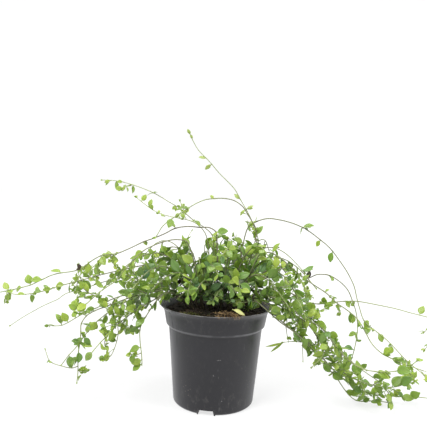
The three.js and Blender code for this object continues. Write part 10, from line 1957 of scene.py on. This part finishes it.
# ------------------------------------------------------------------------ soil
def soil_height(x, y):
    r = math.hypot(x, y)
    h = 139.6 - 3.4 * max(0.0, (r - 40) / 36) ** 2
    v = Vector((x / 26, y / 26, 3.1))
    h += 2.4 * noise.fractal(v, 0.9, 2.1, 5)
    h += 1.0 * noise.noise(Vector((x / 4.2, y / 4.2, 9.0)))
    # heaped towards the rim at the front, right of the middle
    d = math.hypot((x - 18) / 24, (y + 66) / 13)
    h += 4.2 * math.exp(-d * d)
    d = math.hypot((x + 40) / 26, (y + 52) / 18)
    h += 2.2 * math.exp(-d * d)
    return min(h, 146.2)


def inner_radius(z):
    foot = POT_H - COLLAR_H
    zs = [BASE_ROUND + WALL, foot - 3.6, foot + 0.4, POT_H - 9.6, POT_H - 4.4, POT_H]
    rs = [BASE_R - WALL, BODY_TOP_R - WALL, COLLAR_FOOT_R - WALL, COLLAR_TOP_R - WALL, COLLAR_TOP_R + 2.2 - WALL,
          RIM_R - WALL]
    return float(np.interp(z, zs, rs))


def make_soil(material):
    rings, around = 74, 168
    verts, faces = [(0, 0, soil_height(0, 0))], []
    for i in range(1, rings + 1):
        r0 = 76.5 * (i / rings) ** 0.9
        for k in range(around):
            a = 2 * math.pi * k / around
            jit = noise.noise(Vector((math.cos(a) * 9, math.sin(a) * 9, i * 0.37))) * 0.35
            r = r0 + (jit if i < rings else 0)
            z = soil_height(r * math.cos(a), r * math.sin(a))
            r = min(r, inner_radius(z) - 0.45)
            verts.append((r * math.cos(a), r * math.sin(a), z))
    for k in range(around):
        faces.append((0, 1 + k, 1 + (k + 1) % around))
    for i in range(rings - 1):
        o, p = 1 + i * around, 1 + (i + 1) * around
        for k in range(around):
            j = (k + 1) % around
            faces.append((o + k, p + k, p + j, o + j))
    # the body inside the pot, down to its floor
    last = 1 + (rings - 1) * around
    for r, z in ((COLLAR_FOOT_R - WALL - 0.6, 119.4), (BODY_TOP_R - WALL - 0.4, 115.2), (BASE_R - WALL - 1.6, 10.0)):
        o = len(verts)
        verts += [(r * math.cos(2 * math.pi * k / around), r * math.sin(2 * math.pi * k / around), z)
                  for k in range(around)]
        for k in range(around):
            j = (k + 1) % around
            faces.append((last + k, o + k, o + j, last + j))
        last = o
    faces.append(tuple(last + k for k in reversed(range(around))))
    return mesh_piece("soil_body", verts, faces, [material])


def make_crumbs(material, rng):
    """Loose crumbs of soil on the surface."""
    bm = bmesh.new()
    bmesh.ops.create_icosphere(bm, subdivisions=1, radius=1.0)
    ico = np.array([v.co[:] for v in bm.verts])
    tri = [tuple(v.index for v in f.verts) for f in bm.faces]
    bm.free()
    verts, faces, col = [], [], []
    for _ in range(760):
        a = rng.uniform(0, 2 * math.pi)
        r = 74.5 * math.sqrt(rng.random())
        if rng.random() < 0.45:  # more at the front, where they show
            a = rng.uniform(-2.7, -0.45)
            r = rng.uniform(48, 75)
        x, y = r * math.cos(a), r * math.sin(a)
        size = min(2.6, 0.45 + rng.expovariate(1.4))
        z = soil_height(x, y) + size * 0.25
        if math.hypot(x, y) + size > inner_radius(z) - 0.3:
            continue
        f = np.array([rng.uniform(0.7, 1.3) for _ in range(3)]) * size
        rot = np.array(Matrix.Rotation(rng.uniform(0, 6.28), 3, Vector((rng.random(), rng.random(), rng.random() + 0.1)).normalized()))
        bump = np.array([[1 + rng.uniform(-0.22, 0.22)] for _ in range(len(ico))])
        o = len(verts)
        verts += ((ico * bump * f) @ rot.T + [x, y, z]).tolist()
        faces += [tuple(i + o for i in t) for t in tri]
        g = rng.random() ** 2
        col += [(g, rng.random(), 0, 1)] * len(ico)
    return mesh_piece("soil_crumbs", verts, faces, [material], colours={"strand": col}, smooth=False)


def make_fibres(name, material, rng, count, centre, spread, length, radius, lift, spill=0):
    verts, faces, col = [], [], []
    for _ in range(count):
        x = centre[0] + rng.gauss(0, spread[0])
        y = centre[1] + rng.gauss(0, spread[1])
        r = math.hypot(x, y)
        top = inner_radius(144) - 1.5
        if r > top:
            x, y = x * top / r, y * top / r
        z = max(soil_height(x, y), centre[2] - 4) + rng.uniform(0.2, lift)
        a = rng.uniform(0, 2 * math.pi)
        d = np.array([math.cos(a), math.sin(a), rng.uniform(-0.25, 0.35)])
        bend = np.array([rng.gauss(0, 1), rng.gauss(0, 1), rng.gauss(0, 0.6)])
        l = length * rng.uniform(0.5, 1.3)
        path = []
        for k in range(9):
            s = k / 8 - 0.5
            q = np.array([x, y, z]) + d * l * s + bend * l * 0.28 * (s * s - 0.08) + 0.25 * np.array(
                [rng.gauss(0, 1) for _ in range(3)])
            rr = math.hypot(q[0], q[1])
            lim = inner_radius(min(q[2], 147.5)) - 0.6
            if q[2] < 148.6 and rr > lim:
                q[:2] *= lim / rr
            q[2] = max(q[2], soil_height(q[0], q[1]) - 0.4)
            q[2] = min(q[2], 151.0)
            path.append(q)
        rad = radius * rng.uniform(0.6, 1.5) * np.array([0.5, 0.8, 1, 1, 1, 1, 0.9, 0.7, 0.35])
        v, f, _ = tube(path, rad, 5)
        o = len(verts)
        verts += v.tolist()
        faces += [tuple(i + o for i in t) for t in f]
        g = rng.random() ** 2.2
        col += [(g, rng.random(), 0, 1)] * len(v)
    for _ in range(spill):
        # over the lip and a few millimetres down its outside
        a0 = math.radians(rng.gauss(-75.0, 6.0))
        a1 = a0 + rng.gauss(0, 0.05)
        drop, high = rng.uniform(0.3, 3.6), rng.uniform(0.5, 3.4)
        side = [(74 + rng.uniform(-6, 3), 146.0), (79.5, 147.5 + high * 0.6), (83.5, 148.5 + high),
                (86.3 + rng.uniform(0, 1.2), 148.3 + high * 0.4), (87.0 + rng.uniform(0, 1.4), 148.0 - drop * 0.5),
                (86.4 + rng.uniform(0, 1.6), 147.6 - drop)]
        side = side[:rng.choice((3, 4, 5, 6, 6))]
        path = []
        for k, (r, z) in enumerate(side):
            a = a0 + (a1 - a0) * k / 5 + rng.gauss(0, 0.008)
            path.append((r * math.cos(a), r * math.sin(a), z))
        path, _at = catmull(path, 3)
        v, f, _ring = tube(path, radius * rng.uniform(0.7, 1.5) * np.linspace(1.0, 0.5, len(path)), 5)
        o = len(verts)
        verts += v.tolist()
        faces += [tuple(i + o for i in t) for t in f]
        g = rng.random() ** 1.7
        col += [(g, rng.random(), 0, 1)] * len(v)
    return mesh_piece(name, verts, faces, [material], colours={"strand": col})


def make_moss(material, rng):
    """Tiny upright shoots over a patch of the soil."""
    verts, faces, col = [], [], []
    cx, cy = -38.0, -50.0
    for _ in range(2300):
        u, v = rng.gauss(0, 0.42), rng.gauss(0, 0.42)
        if u * u + v * v > 1:
            continue
        a = math.radians(-34)
        x = cx + (u * 26) * math.cos(a) - (v * 13) * math.sin(a)
        y = cy + (u * 26) * math.sin(a) + (v * 13) * math.cos(a)
        if noise.noise(Vector((x / 5, y / 5, 1.0))) < -0.15 or math.hypot(x, y) > 74.6:
            continue
        z = soil_height(x, y) - 0.2
        h = rng.uniform(1.2, 4.2) * (1.1 - 0.6 * (u * u + v * v))
        w = rng.uniform(0.22, 0.45)
        lean = (rng.gauss(0, 0.35) * h, rng.gauss(0, 0.35) * h)
        b = rng.uniform(0, 6.28)
        o = len(verts)
        for k in range(3):
            verts.append((x + w * math.cos(b + 2.094 * k), y + w * math.sin(b + 2.094 * k), z))
        verts.append((x + lean[0], y + lean[1], z + h))
        faces += [(o, o + 1, o + 3), (o + 1, o + 2, o + 3), (o + 2, o, o + 3), (o, o + 2, o + 1)]
        g = rng.random()
        col += [(g * 0.5, g, 0, 1)] * 3 + [(g * 0.4 + 0.6, g, 0, 1)]
    return mesh_piece("moss_shoots", verts, faces, [material], colours={"strand": col}, smooth=False)


def make_chip(name, node, material, rng):
    low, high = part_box(node)
    c = [(a + b) / 2 / MM for a, b in zip(low, high)]
    turn = {"bark_chip_a": 35, "bark_chip_b": -15}[node]
    half = {"bark_chip_a": (6.6, 3.0, 1.3), "bark_chip_b": (5.2, 2.4, 1.2)}[node]
    bm = bmesh.new()
    bmesh.ops.create_cube(bm, size=2.0)
    bmesh.ops.subdivide_edges(bm, edges=bm.edges, cuts=7, use_grid_fill=True)
    a = math.radians(turn)
    c[2] = soil_height(c[0], c[1]) + half[2] * 0.7
    for v in bm.verts:
        p = v.co.copy()
        # rounded outline, split and stepped along the grain
        k = 1 - 0.16 * (p.x * p.x * p.y * p.y)
        x = p.x * half[0] * k * (1 + 0.10 * noise.noise(Vector((p.y * 3, c[0], 1))))
        y = p.y * half[1] * k * (1 + 0.20 * noise.noise(Vector((p.x * 2.2, c[1], 2))))
        z = p.z * half[2] * (1 + 0.35 * noise.noise(Vector((p.y * 4.5, p.x * 0.8, 3))))
        z += 0.8 * math.sin(p.x * 1.3) + 0.2 * noise.noise(Vector((x, y, z)))
        v.co = Vector((c[0] + x * math.cos(a) - y * math.sin(a), c[1] + x * math.sin(a) + y * math.cos(a), c[2] + z))
    verts = [tuple(v.co) for v in bm.verts]
    bm.verts.index_update()
    faces = [tuple(v.index for v in f.verts) for f in bm.faces]
    bm.free()
    g = rng.random()
    return mesh_piece(name, verts, faces, [material], colours={"strand": [(g, g, 0, 1)] * len(verts)})


# ---------------------------------------------------------------------- leaves
NU, NV = 11, 6  # steps along and across a blade


def leaf_grid():
    """u along the whole leaf from the foot of its stalk, v across, and the half width at u as a share of the width."""
    stalk = 0.12
    blade = np.linspace(0, 1, NU - 1)
    blade = 0.5 - 0.5 * np.cos(blade * math.pi * 0.985 + 0.0)
    blade = blade / blade[-1]
    u = np.concatenate([[0.0, stalk * 0.55], stalk + (1 - stalk) * blade])
    shape = (np.maximum(blade, 0) ** 0.74) * (np.maximum(1 - blade, 0) ** 0.98)
    shape = shape / shape.max()
    half = np.concatenate([[0.050, 0.046], np.maximum(0.5 * shape, [0.045] + [0.0] * (len(blade) - 2) + [0.016])])
    return u, np.linspace(-1, 1, NV + 1), half


LEAF_U, LEAF_V, LEAF_HALF = leaf_grid()
_rows, _cols = len(LEAF_U), NV + 1


def leaf_faces():
    faces = []
    n = _rows * _cols
    for i in range(_rows - 1):
        for j in range(_cols - 1):
            a, b, c, d = i * _cols + j, i * _cols + j + 1, (i + 1) * _cols + j + 1, (i + 1) * _cols + j
            faces.append((a, d, c, b))
            faces.append((n + a, n + b, n + c, n + d))
    rim = [(0, j) for j in range(_cols)] + [(i, _cols - 1) for i in range(1, _rows)] + \
          [(_rows - 1, j) for j in range(_cols - 2, -1, -1)] + [(i, 0) for i in range(_rows - 2, 0, -1)]
    ids = [i * _cols + j for i, j in rim]
    for a, b in zip(ids, ids[1:] + ids[:1]):
        faces.append((a, b, n + b, n + a))
    return faces


LEAF_FACES = leaf_faces()


def leaf_mesh(foot, tip, roll, width, rng, curl=1.0):
    """One thin closed leaf: vertices (mm) and the numbers that colour it."""
    foot, tip = np.asarray(foot, float), np.asarray(tip, float)
    length = np.linalg.norm(tip - foot)
    along = (tip - foot) / length
    ref = UP if abs(along[2]) < 0.97 else np.array([1.0, 0, 0])
    flat = unit(ref - np.dot(ref, along) * along)
    side = np.cross(along, flat)
    a = math.radians(roll)
    normal = math.cos(a) * flat + math.sin(a) * side
    across = np.cross(normal, along)
    fold = rng.uniform(0.16, 0.50) * curl
    dome = rng.uniform(0.10, 0.30)
    arch = rng.uniform(0.015, 0.085) * curl
    hook = rng.uniform(-0.02, 0.07) * curl
    twist = rng.gauss(0, 0.20)
    wave = rng.uniform(0.0, 0.09)
    phase = rng.uniform(0, 6.28)
    skew = rng.gauss(0, 0.03)
    u = LEAF_U[:, None]
    v = LEAF_V[None, :]
    half = LEAF_HALF[:, None] * width * 1.14
    # the stalk has the same thickness on small and large leaves
    stalk = (LEAF_U < 0.121)[:, None]
    half = np.where(stalk, 0.42, np.maximum(half, 0.12))
    s = half * v
    lift = np.where(stalk, 0.0, half * (fold * np.abs(v) ** 1.25 - dome * v * v)) \
        + np.where(stalk, 0.0, half * wave * np.sin(phase + 9.0 * u) * v * v)
    rise = length * (arch * 4 * u * (1 - u) - hook * np.maximum(u - 0.7, 0) ** 2 * 9 * 0.3)
    bend = length * skew * np.sin(math.pi * u)
    ang = twist * u
    cs, sn = np.cos(ang), np.sin(ang)
    y = s * cs - lift * sn + bend
    z = s * sn + lift * cs + rise
    x = length * u + 0 * v
    centre = (foot + x[..., None] * along + y[..., None] * across + z[..., None] * normal).reshape(-1, 3)
    du = np.gradient(centre.reshape(_rows, _cols, 3), axis=0)
    dv = np.gradient(centre.reshape(_rows, _cols, 3), axis=1)
    nrm = unit(np.cross(du, dv)).reshape(-1, 3)
    edge = (1 - 0.62 * np.abs(v) ** 2) + 0 * u
    thick = np.where(stalk + 0 * v > 0, 0.40, 0.17 * edge).reshape(-1, 1)
    verts = np.vstack([centre + nrm * thick, centre - nrm * thick])
    uu = (u + 0 * v).ravel()
    vv = ((v + 1) / 2 + 0 * u).ravel()
    return verts, np.concatenate([uu, uu]), np.concatenate([vv, vv]), \
        np.concatenate([np.ones(len(uu)), np.zeros(len(uu))])


# How young each runner's growth looks (0 dark, 1 bright), set higher on the trailing runners than on the mound's
# shoots as painted light where they stand bright against the white, and how pale its thin tip.
LOOK = {
    "runner_tall": (0.92, 1.00), "runner_arch_left": (0.66, 0.15), "runner_top_left": (0.73, 0.22),
    "runner_mid_left": (0.73, 0.25), "runner_long_left": (0.71, 0.12), "runner_low_left": (0.73, 0.15),
    "runner_back_left": (0.73, 0.40), "runner_front_left": (0.73, 0.00), "runner_left_drop_a": (0.67, 0.05),
    "runner_left_drop_b": (0.63, 0.05), "runner_left_drop_c": (0.77, 0.00), "runner_left_drop_d": (0.63, 0.00),
    "runner_left_drop_e": (0.63, 0.00), "runner_right_arch": (0.72, 0.05), "runner_right_a": (0.70, 0.00),
    "runner_right_b": (0.70, 0.00), "runner_right_c": (0.88, 0.35), "runner_floor_a": (0.74, 0.00),
    "runner_floor_b": (0.68, 0.00), "runner_floor_c": (0.64, 0.00), "runner_floor_d": (0.74, 0.00),
    "runner_floor_e": (0.62, 0.00),
}


# Where small leaves have died back: x and z in millimetres.
DEAD_SPOTS = [(-206, 199), (-194, 206), (-49, 174), (146, 188)]


def make_runner(name, stems, leaves, leaf_mat, stem_mat):
    rng = random.Random(f"{SEED}-{name}")
    young, pale = LOOK.get(name, (0.50, 0.0))
    verts, faces, index, stem_col, leaf_col, face_col = [], [], [], [], [], []

    def add(v, f, mat, sc, lc, fc):
        o = len(verts)
        verts.extend(np.asarray(v).tolist())
        faces.extend(tuple(i + o for i in t) for t in f)
        index.extend([mat] * len(f))
        stem_col.extend(sc)
        leaf_col.extend(lc)
        face_col.extend(fc)

    tips, place = [], []
    for si, pts in enumerate(stems):
        path, at = catmull(pts, 4)
        seg = np.concatenate([[0], np.cumsum(np.linalg.norm(np.diff(path, axis=0), axis=1))])
        total = seg[-1]
        t = seg / total
        thick = 0.96 if si == 0 else 0.74
        slim = {"runner_tall": 0.80, "runner_top_left": 0.86, "runner_mid_left": 0.86, "runner_back_left": 0.86}.get(name, 1.0)
        radii = thick * slim * (1 - 0.32 * t ** 1.4)
        if total < 130:
            radii = 0.9 * radii
        # a little swollen where leaves grow
        nodes = sorted({l[1] for l in leaves if l[0] == si})
        for k in nodes:
            d = np.abs(at - k)
            radii = radii * (1 + 0.30 * np.exp(-(d / 0.12) ** 2))
        v, f, ring = tube(path, radii, 7)
        g = rng.random()
        span = max(total, 160.0)
        age = np.clip((seg[ring] - 10) / (span * 0.95), 0, 1) if si == 0 else np.clip(0.45 + 0.5 * t[ring], 0, 1)
        age = np.clip(age + 0.35 * pale, 0, 1)
        add(v, f, 0, [(a, g, 0, 1) for a in age], [(0, 0, 0, 0)] * len(v), [(0, 0, 0, 0)] * len(v))
        place.append((total, dict(zip(range(len(pts)), [float(seg[min(4 * k, len(seg) - 1)]) for k in range(len(pts))]))))
        tips.append((path[-1], unit(path[-1] - path[-3])))
    for si, k, x, y, z, roll, width in leaves:
        foot = stems[si][k]
        total, where = place[si]
        end = 1 - min(1.0, (total - where[k]) / 70.0)  # 1 at the growing tip
        narrow = 0.72 if name == "runner_tall" else 0.86 if z > 255 else 0.90 if name.startswith("shoot") else 1.0
        v, u, w, up = leaf_mesh(foot, (x, y, z), roll, width * narrow, rng)
        depth = math.hypot(foot[0], foot[1])
        # painted shade: leaves deep inside the mound get a darker tone, and lower leaves come out a little darker than
        # higher ones
        inner = math.exp(-((x + 5) / 92) ** 2 - ((y - 12) / 68) ** 2 - ((z - 158) / 50) ** 2)
        shade = 0.98 * inner - 0.06
        y_ = young + 0.06 + rng.gauss(0, 0.21) + (0.14 if name.startswith("shoot") else 0.26) * end ** 2 - shade + 0.0009 * (z - 190)
        y_ = min(max(y_, 0.02), 1.0)
        r_, warm = rng.random(), min(max(rng.gauss(0.45, 0.28), 0), 1)
        pl = min(1.0, pale * (0.35 + 0.65 * min(1.0, where[k] / total)) * rng.uniform(0.7, 1.2))
        if rng.random() < 0.012:
            pl = max(pl, rng.uniform(0.4, 0.9))
        n = len(v)
        green = 1.0
        if min(math.dist((foot[0], foot[2]), s_) for s_ in DEAD_SPOTS) < 4.5:
            green = 0.0
        add(v, LEAF_FACES, 1, [(0, 0, 0, 1)] * n, np.stack([u, w, np.full(n, r_), np.full(n, y_)], 1).tolist(),
            np.stack([up, np.full(n, warm), np.full(n, pl), np.full(n, green)], 1).tolist())
    # each tip ends in a bud: two small folded leaves pressed together
    for p, d in tips:
        a = np.cross(d, UP)
        a = unit(a) if np.linalg.norm(a) > 0.1 else np.array([1.0, 0, 0])
        turn = rng.uniform(0, math.pi)
        b = math.cos(turn) * a + math.sin(turn) * np.cross(d, a)
        l = rng.uniform(3.6, 5.6)
        for sg in (1, -1):
            tip = p + d * l + b * sg * 0.8
            v, u, w, up = leaf_mesh(p - d * 0.4, tip, math.degrees(turn) * sg, l * 0.34, rng, 0.6)
            n = len(v)
            add(v, LEAF_FACES, 1, [(0, 0, 0, 1)] * n, np.stack([u, w, np.full(n, .5), np.full(n, 0.95)], 1).tolist(),
                np.stack([up, np.full(n, 0.6), np.full(n, 0.25 + 0.5 * pale), np.ones(n)], 1).tolist())
    verts_a = np.array(verts)
    # nothing goes below the ground that the plant trails on
    verts_a[:, 2] = np.maximum(verts_a[:, 2], 0.25)
    ob = mesh_piece(name + "_plant", verts_a, faces, [stem_mat, leaf_mat], index,
                    {"stem": stem_col, "leaf": leaf_col, "face": face_col})
    return ob


# ------------------------------------------------------------------- the object
rng = random.Random(SEED)
pot_mat = pot_material()
soil_mat = soil_material()
leaf_mat = leaf_material("leaf_glossy_green", (0.50, 0.56, 0.24))
yellow_mat = leaf_material("leaf_faded_cream", (0.86, 0.80, 0.42))
stem_mat = stem_material()
crumb_mat = fibre_material("soil_crumb_dark", (0.010, 0.007, 0.005), (0.075, 0.048, 0.028), 500.0)
coir_mat = fibre_material("coir_fibre_brown", (0.030, 0.015, 0.008), (0.50, 0.33, 0.15), 400.0, 0.75)
moss_mat = fibre_material("moss_olive", (0.030, 0.036, 0.008), (0.190, 0.200, 0.045), 300.0)
bark_mat = fibre_material("bark_brown", (0.055, 0.028, 0.014), (0.15, 0.085, 0.045), 260.0)


def add_piece(ob, nodes):
    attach(ob, "root")
    if nodes:
        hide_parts(*nodes)
    return ob


add_piece(make_pot(pot_mat), ["nursery_pot"])
add_piece(make_soil(soil_mat), ["potting_soil"])
add_piece(make_crumbs(crumb_mat, rng), [])
add_piece(make_fibres("coir_strands", coir_mat, rng, 170, (17, -67, 148.0), (7.5, 4.8), 10.0, 0.26, 6.5, 34),
          ["coir_tuft"])
add_piece(make_fibres("loose_fibres", coir_mat, rng, 70, (0, -30, 139), (38, 30), 9.0, 0.16, 1.2), [])
add_piece(make_moss(moss_mat, rng), ["moss_patch"])
add_piece(make_chip("bark_piece_a", "bark_chip_a", bark_mat, rng), ["bark_chip_a"])
add_piece(make_chip("bark_piece_b", "bark_chip_b", bark_mat, rng), ["bark_chip_b"])

for name, stems, leaves in RUNNERS:
    add_piece(make_runner(name, stems, leaves, leaf_mat, stem_mat), [name])

# the dropped yellow leaf on the tuft at the rim
fallen_rng = random.Random(SEED + 5)
fv, fu, fw, fup = leaf_mesh((21.5, -73, 157.0), (39.5, -72.5, 149.2), 24, 8, fallen_rng)
n = len(fv)
fallen = mesh_piece("fallen_leaf_yellow", fv, LEAF_FACES, [yellow_mat], None, {
    "leaf": np.stack([fu, fw, np.full(n, 0.5), np.full(n, 1.0)], 1),
    "face": np.stack([fup, np.full(n, 1.0), np.where(fw > 0.8, 0.55, 1.0), np.ones(n)], 1)})
add_piece(fallen, ["fallen_leaf"])

# ------------------------------------------------------------------ floor, light
floor_mat = Tree("floor_white")
fp = floor_mat.shader(Roughness=0.9)
fp.inputs["Base Color"].default_value = (0.20, 0.20, 0.202, 1)
fp.inputs["Specular IOR Level"].default_value = 0.1
fp.inputs["Emission Color"].default_value = (1.0, 1.0, 1.0, 1)
# the floor turns into the white sweep behind it
away = floor_mat.n("ShaderNodeVectorMath", operation="LENGTH")
floor_mat.put(place_of(floor_mat), away.inputs[0])
floor_mat.put(floor_mat.ramp(away.outputs["Value"], 0.45, 2.4, 0.735, 0.93), fp.inputs["Emission Strength"])
floor_mat.finish(fp)
me = bpy.data.meshes.new("floor")
me.from_pydata([(-9, -6, 0), (9, -6, 0), (9, 14, 0), (-9, 14, 0)], [], [(0, 1, 2, 3)])
me.materials.append(floor_mat.mat)
floor = bpy.data.objects.new("floor", me)
scene.collection.objects.link(floor)

world = bpy.data.worlds.new("studio")
world.use_nodes = True
wt = world.node_tree
bg = wt.nodes["Background"]
bg.inputs[0].default_value = (1.0, 1.0, 1.0, 1)
# white sweep behind and beside, a dimmer room towards -Y
way = wt.nodes.new("ShaderNodeTexCoord")
parts = wt.nodes.new("ShaderNodeSeparateXYZ")
wt.links.new(way.outputs["Generated"], parts.inputs[0])
fade = wt.nodes.new("ShaderNodeMapRange")
fade.interpolation_type = "SMOOTHSTEP"
wt.links.new(parts.outputs[1], fade.inputs[0])
for i, v in enumerate((-0.95, 0.02, 0.24, 1.01), 1):
    fade.inputs[i].default_value = v
# the backdrop itself is the same white all round
seen = wt.nodes.new("ShaderNodeLightPath")
level = wt.nodes.new("ShaderNodeMix")
wt.links.new(seen.outputs["Is Camera Ray"], level.inputs[0])
wt.links.new(fade.outputs[0], level.inputs[2])
level.inputs[3].default_value = 1.01
wt.links.new(level.outputs[0], bg.inputs[1])
scene.world = world


def softbox(name, at, aim, size, power, colour=(1, 1, 1)):
    light = bpy.data.lights.new(name, "AREA")
    light.shape = "RECTANGLE"
    light.size, light.size_y = size
    light.energy = power
    light.color = colour
    ob = bpy.data.objects.new(name, light)
    ob.location = at
    ob.rotation_euler = (Vector(aim) - Vector(at)).to_track_quat("-Z", "Y").to_euler()
    scene.collection.objects.link(ob)


softbox("key_left", (-0.9, -1.2, 2.0), (0, 0, 0.15), (0.9, 0.9), 58)
softbox("fill_right", (1.5, -0.5, 1.3), (0, 0, 0.15), (1.0, 1.4), 24)
softbox("back", (0.3, 1.5, 1.8), (0, 0, 0.2), (1.6, 1.0), 20)

scene.view_settings.view_transform = "Standard"
scene.view_settings.look = "None"
scene.view_settings.exposure = 0.0
scene.view_settings.gamma = 1.0

# ---------------------------------------------------------------------- camera
cam = bpy.data.cameras.new("camera")
cam.sensor_width = 36.0
cam.lens = 36.0 * 506.7 / 427.0
cam.clip_start, cam.clip_end = 0.01, 60.0
cam_ob = bpy.data.objects.new("camera", cam)
pitch, roll = math.radians(2.8), math.radians(2.07)
right0, up0 = Vector((1, 0, 0)), Vector((0, math.sin(pitch), math.cos(pitch)))
right = right0 * math.cos(roll) + up0 * math.sin(roll)
up = up0 * math.cos(roll) - right0 * math.sin(roll)
back = right.cross(up)
m = Matrix((right, up, back)).transposed().to_4x4()
m.translation = Vector((-0.00918, -0.765, 0.32225))
cam_ob.matrix_world = m
scene.collection.objects.link(cam_ob)
scene.camera = cam_ob
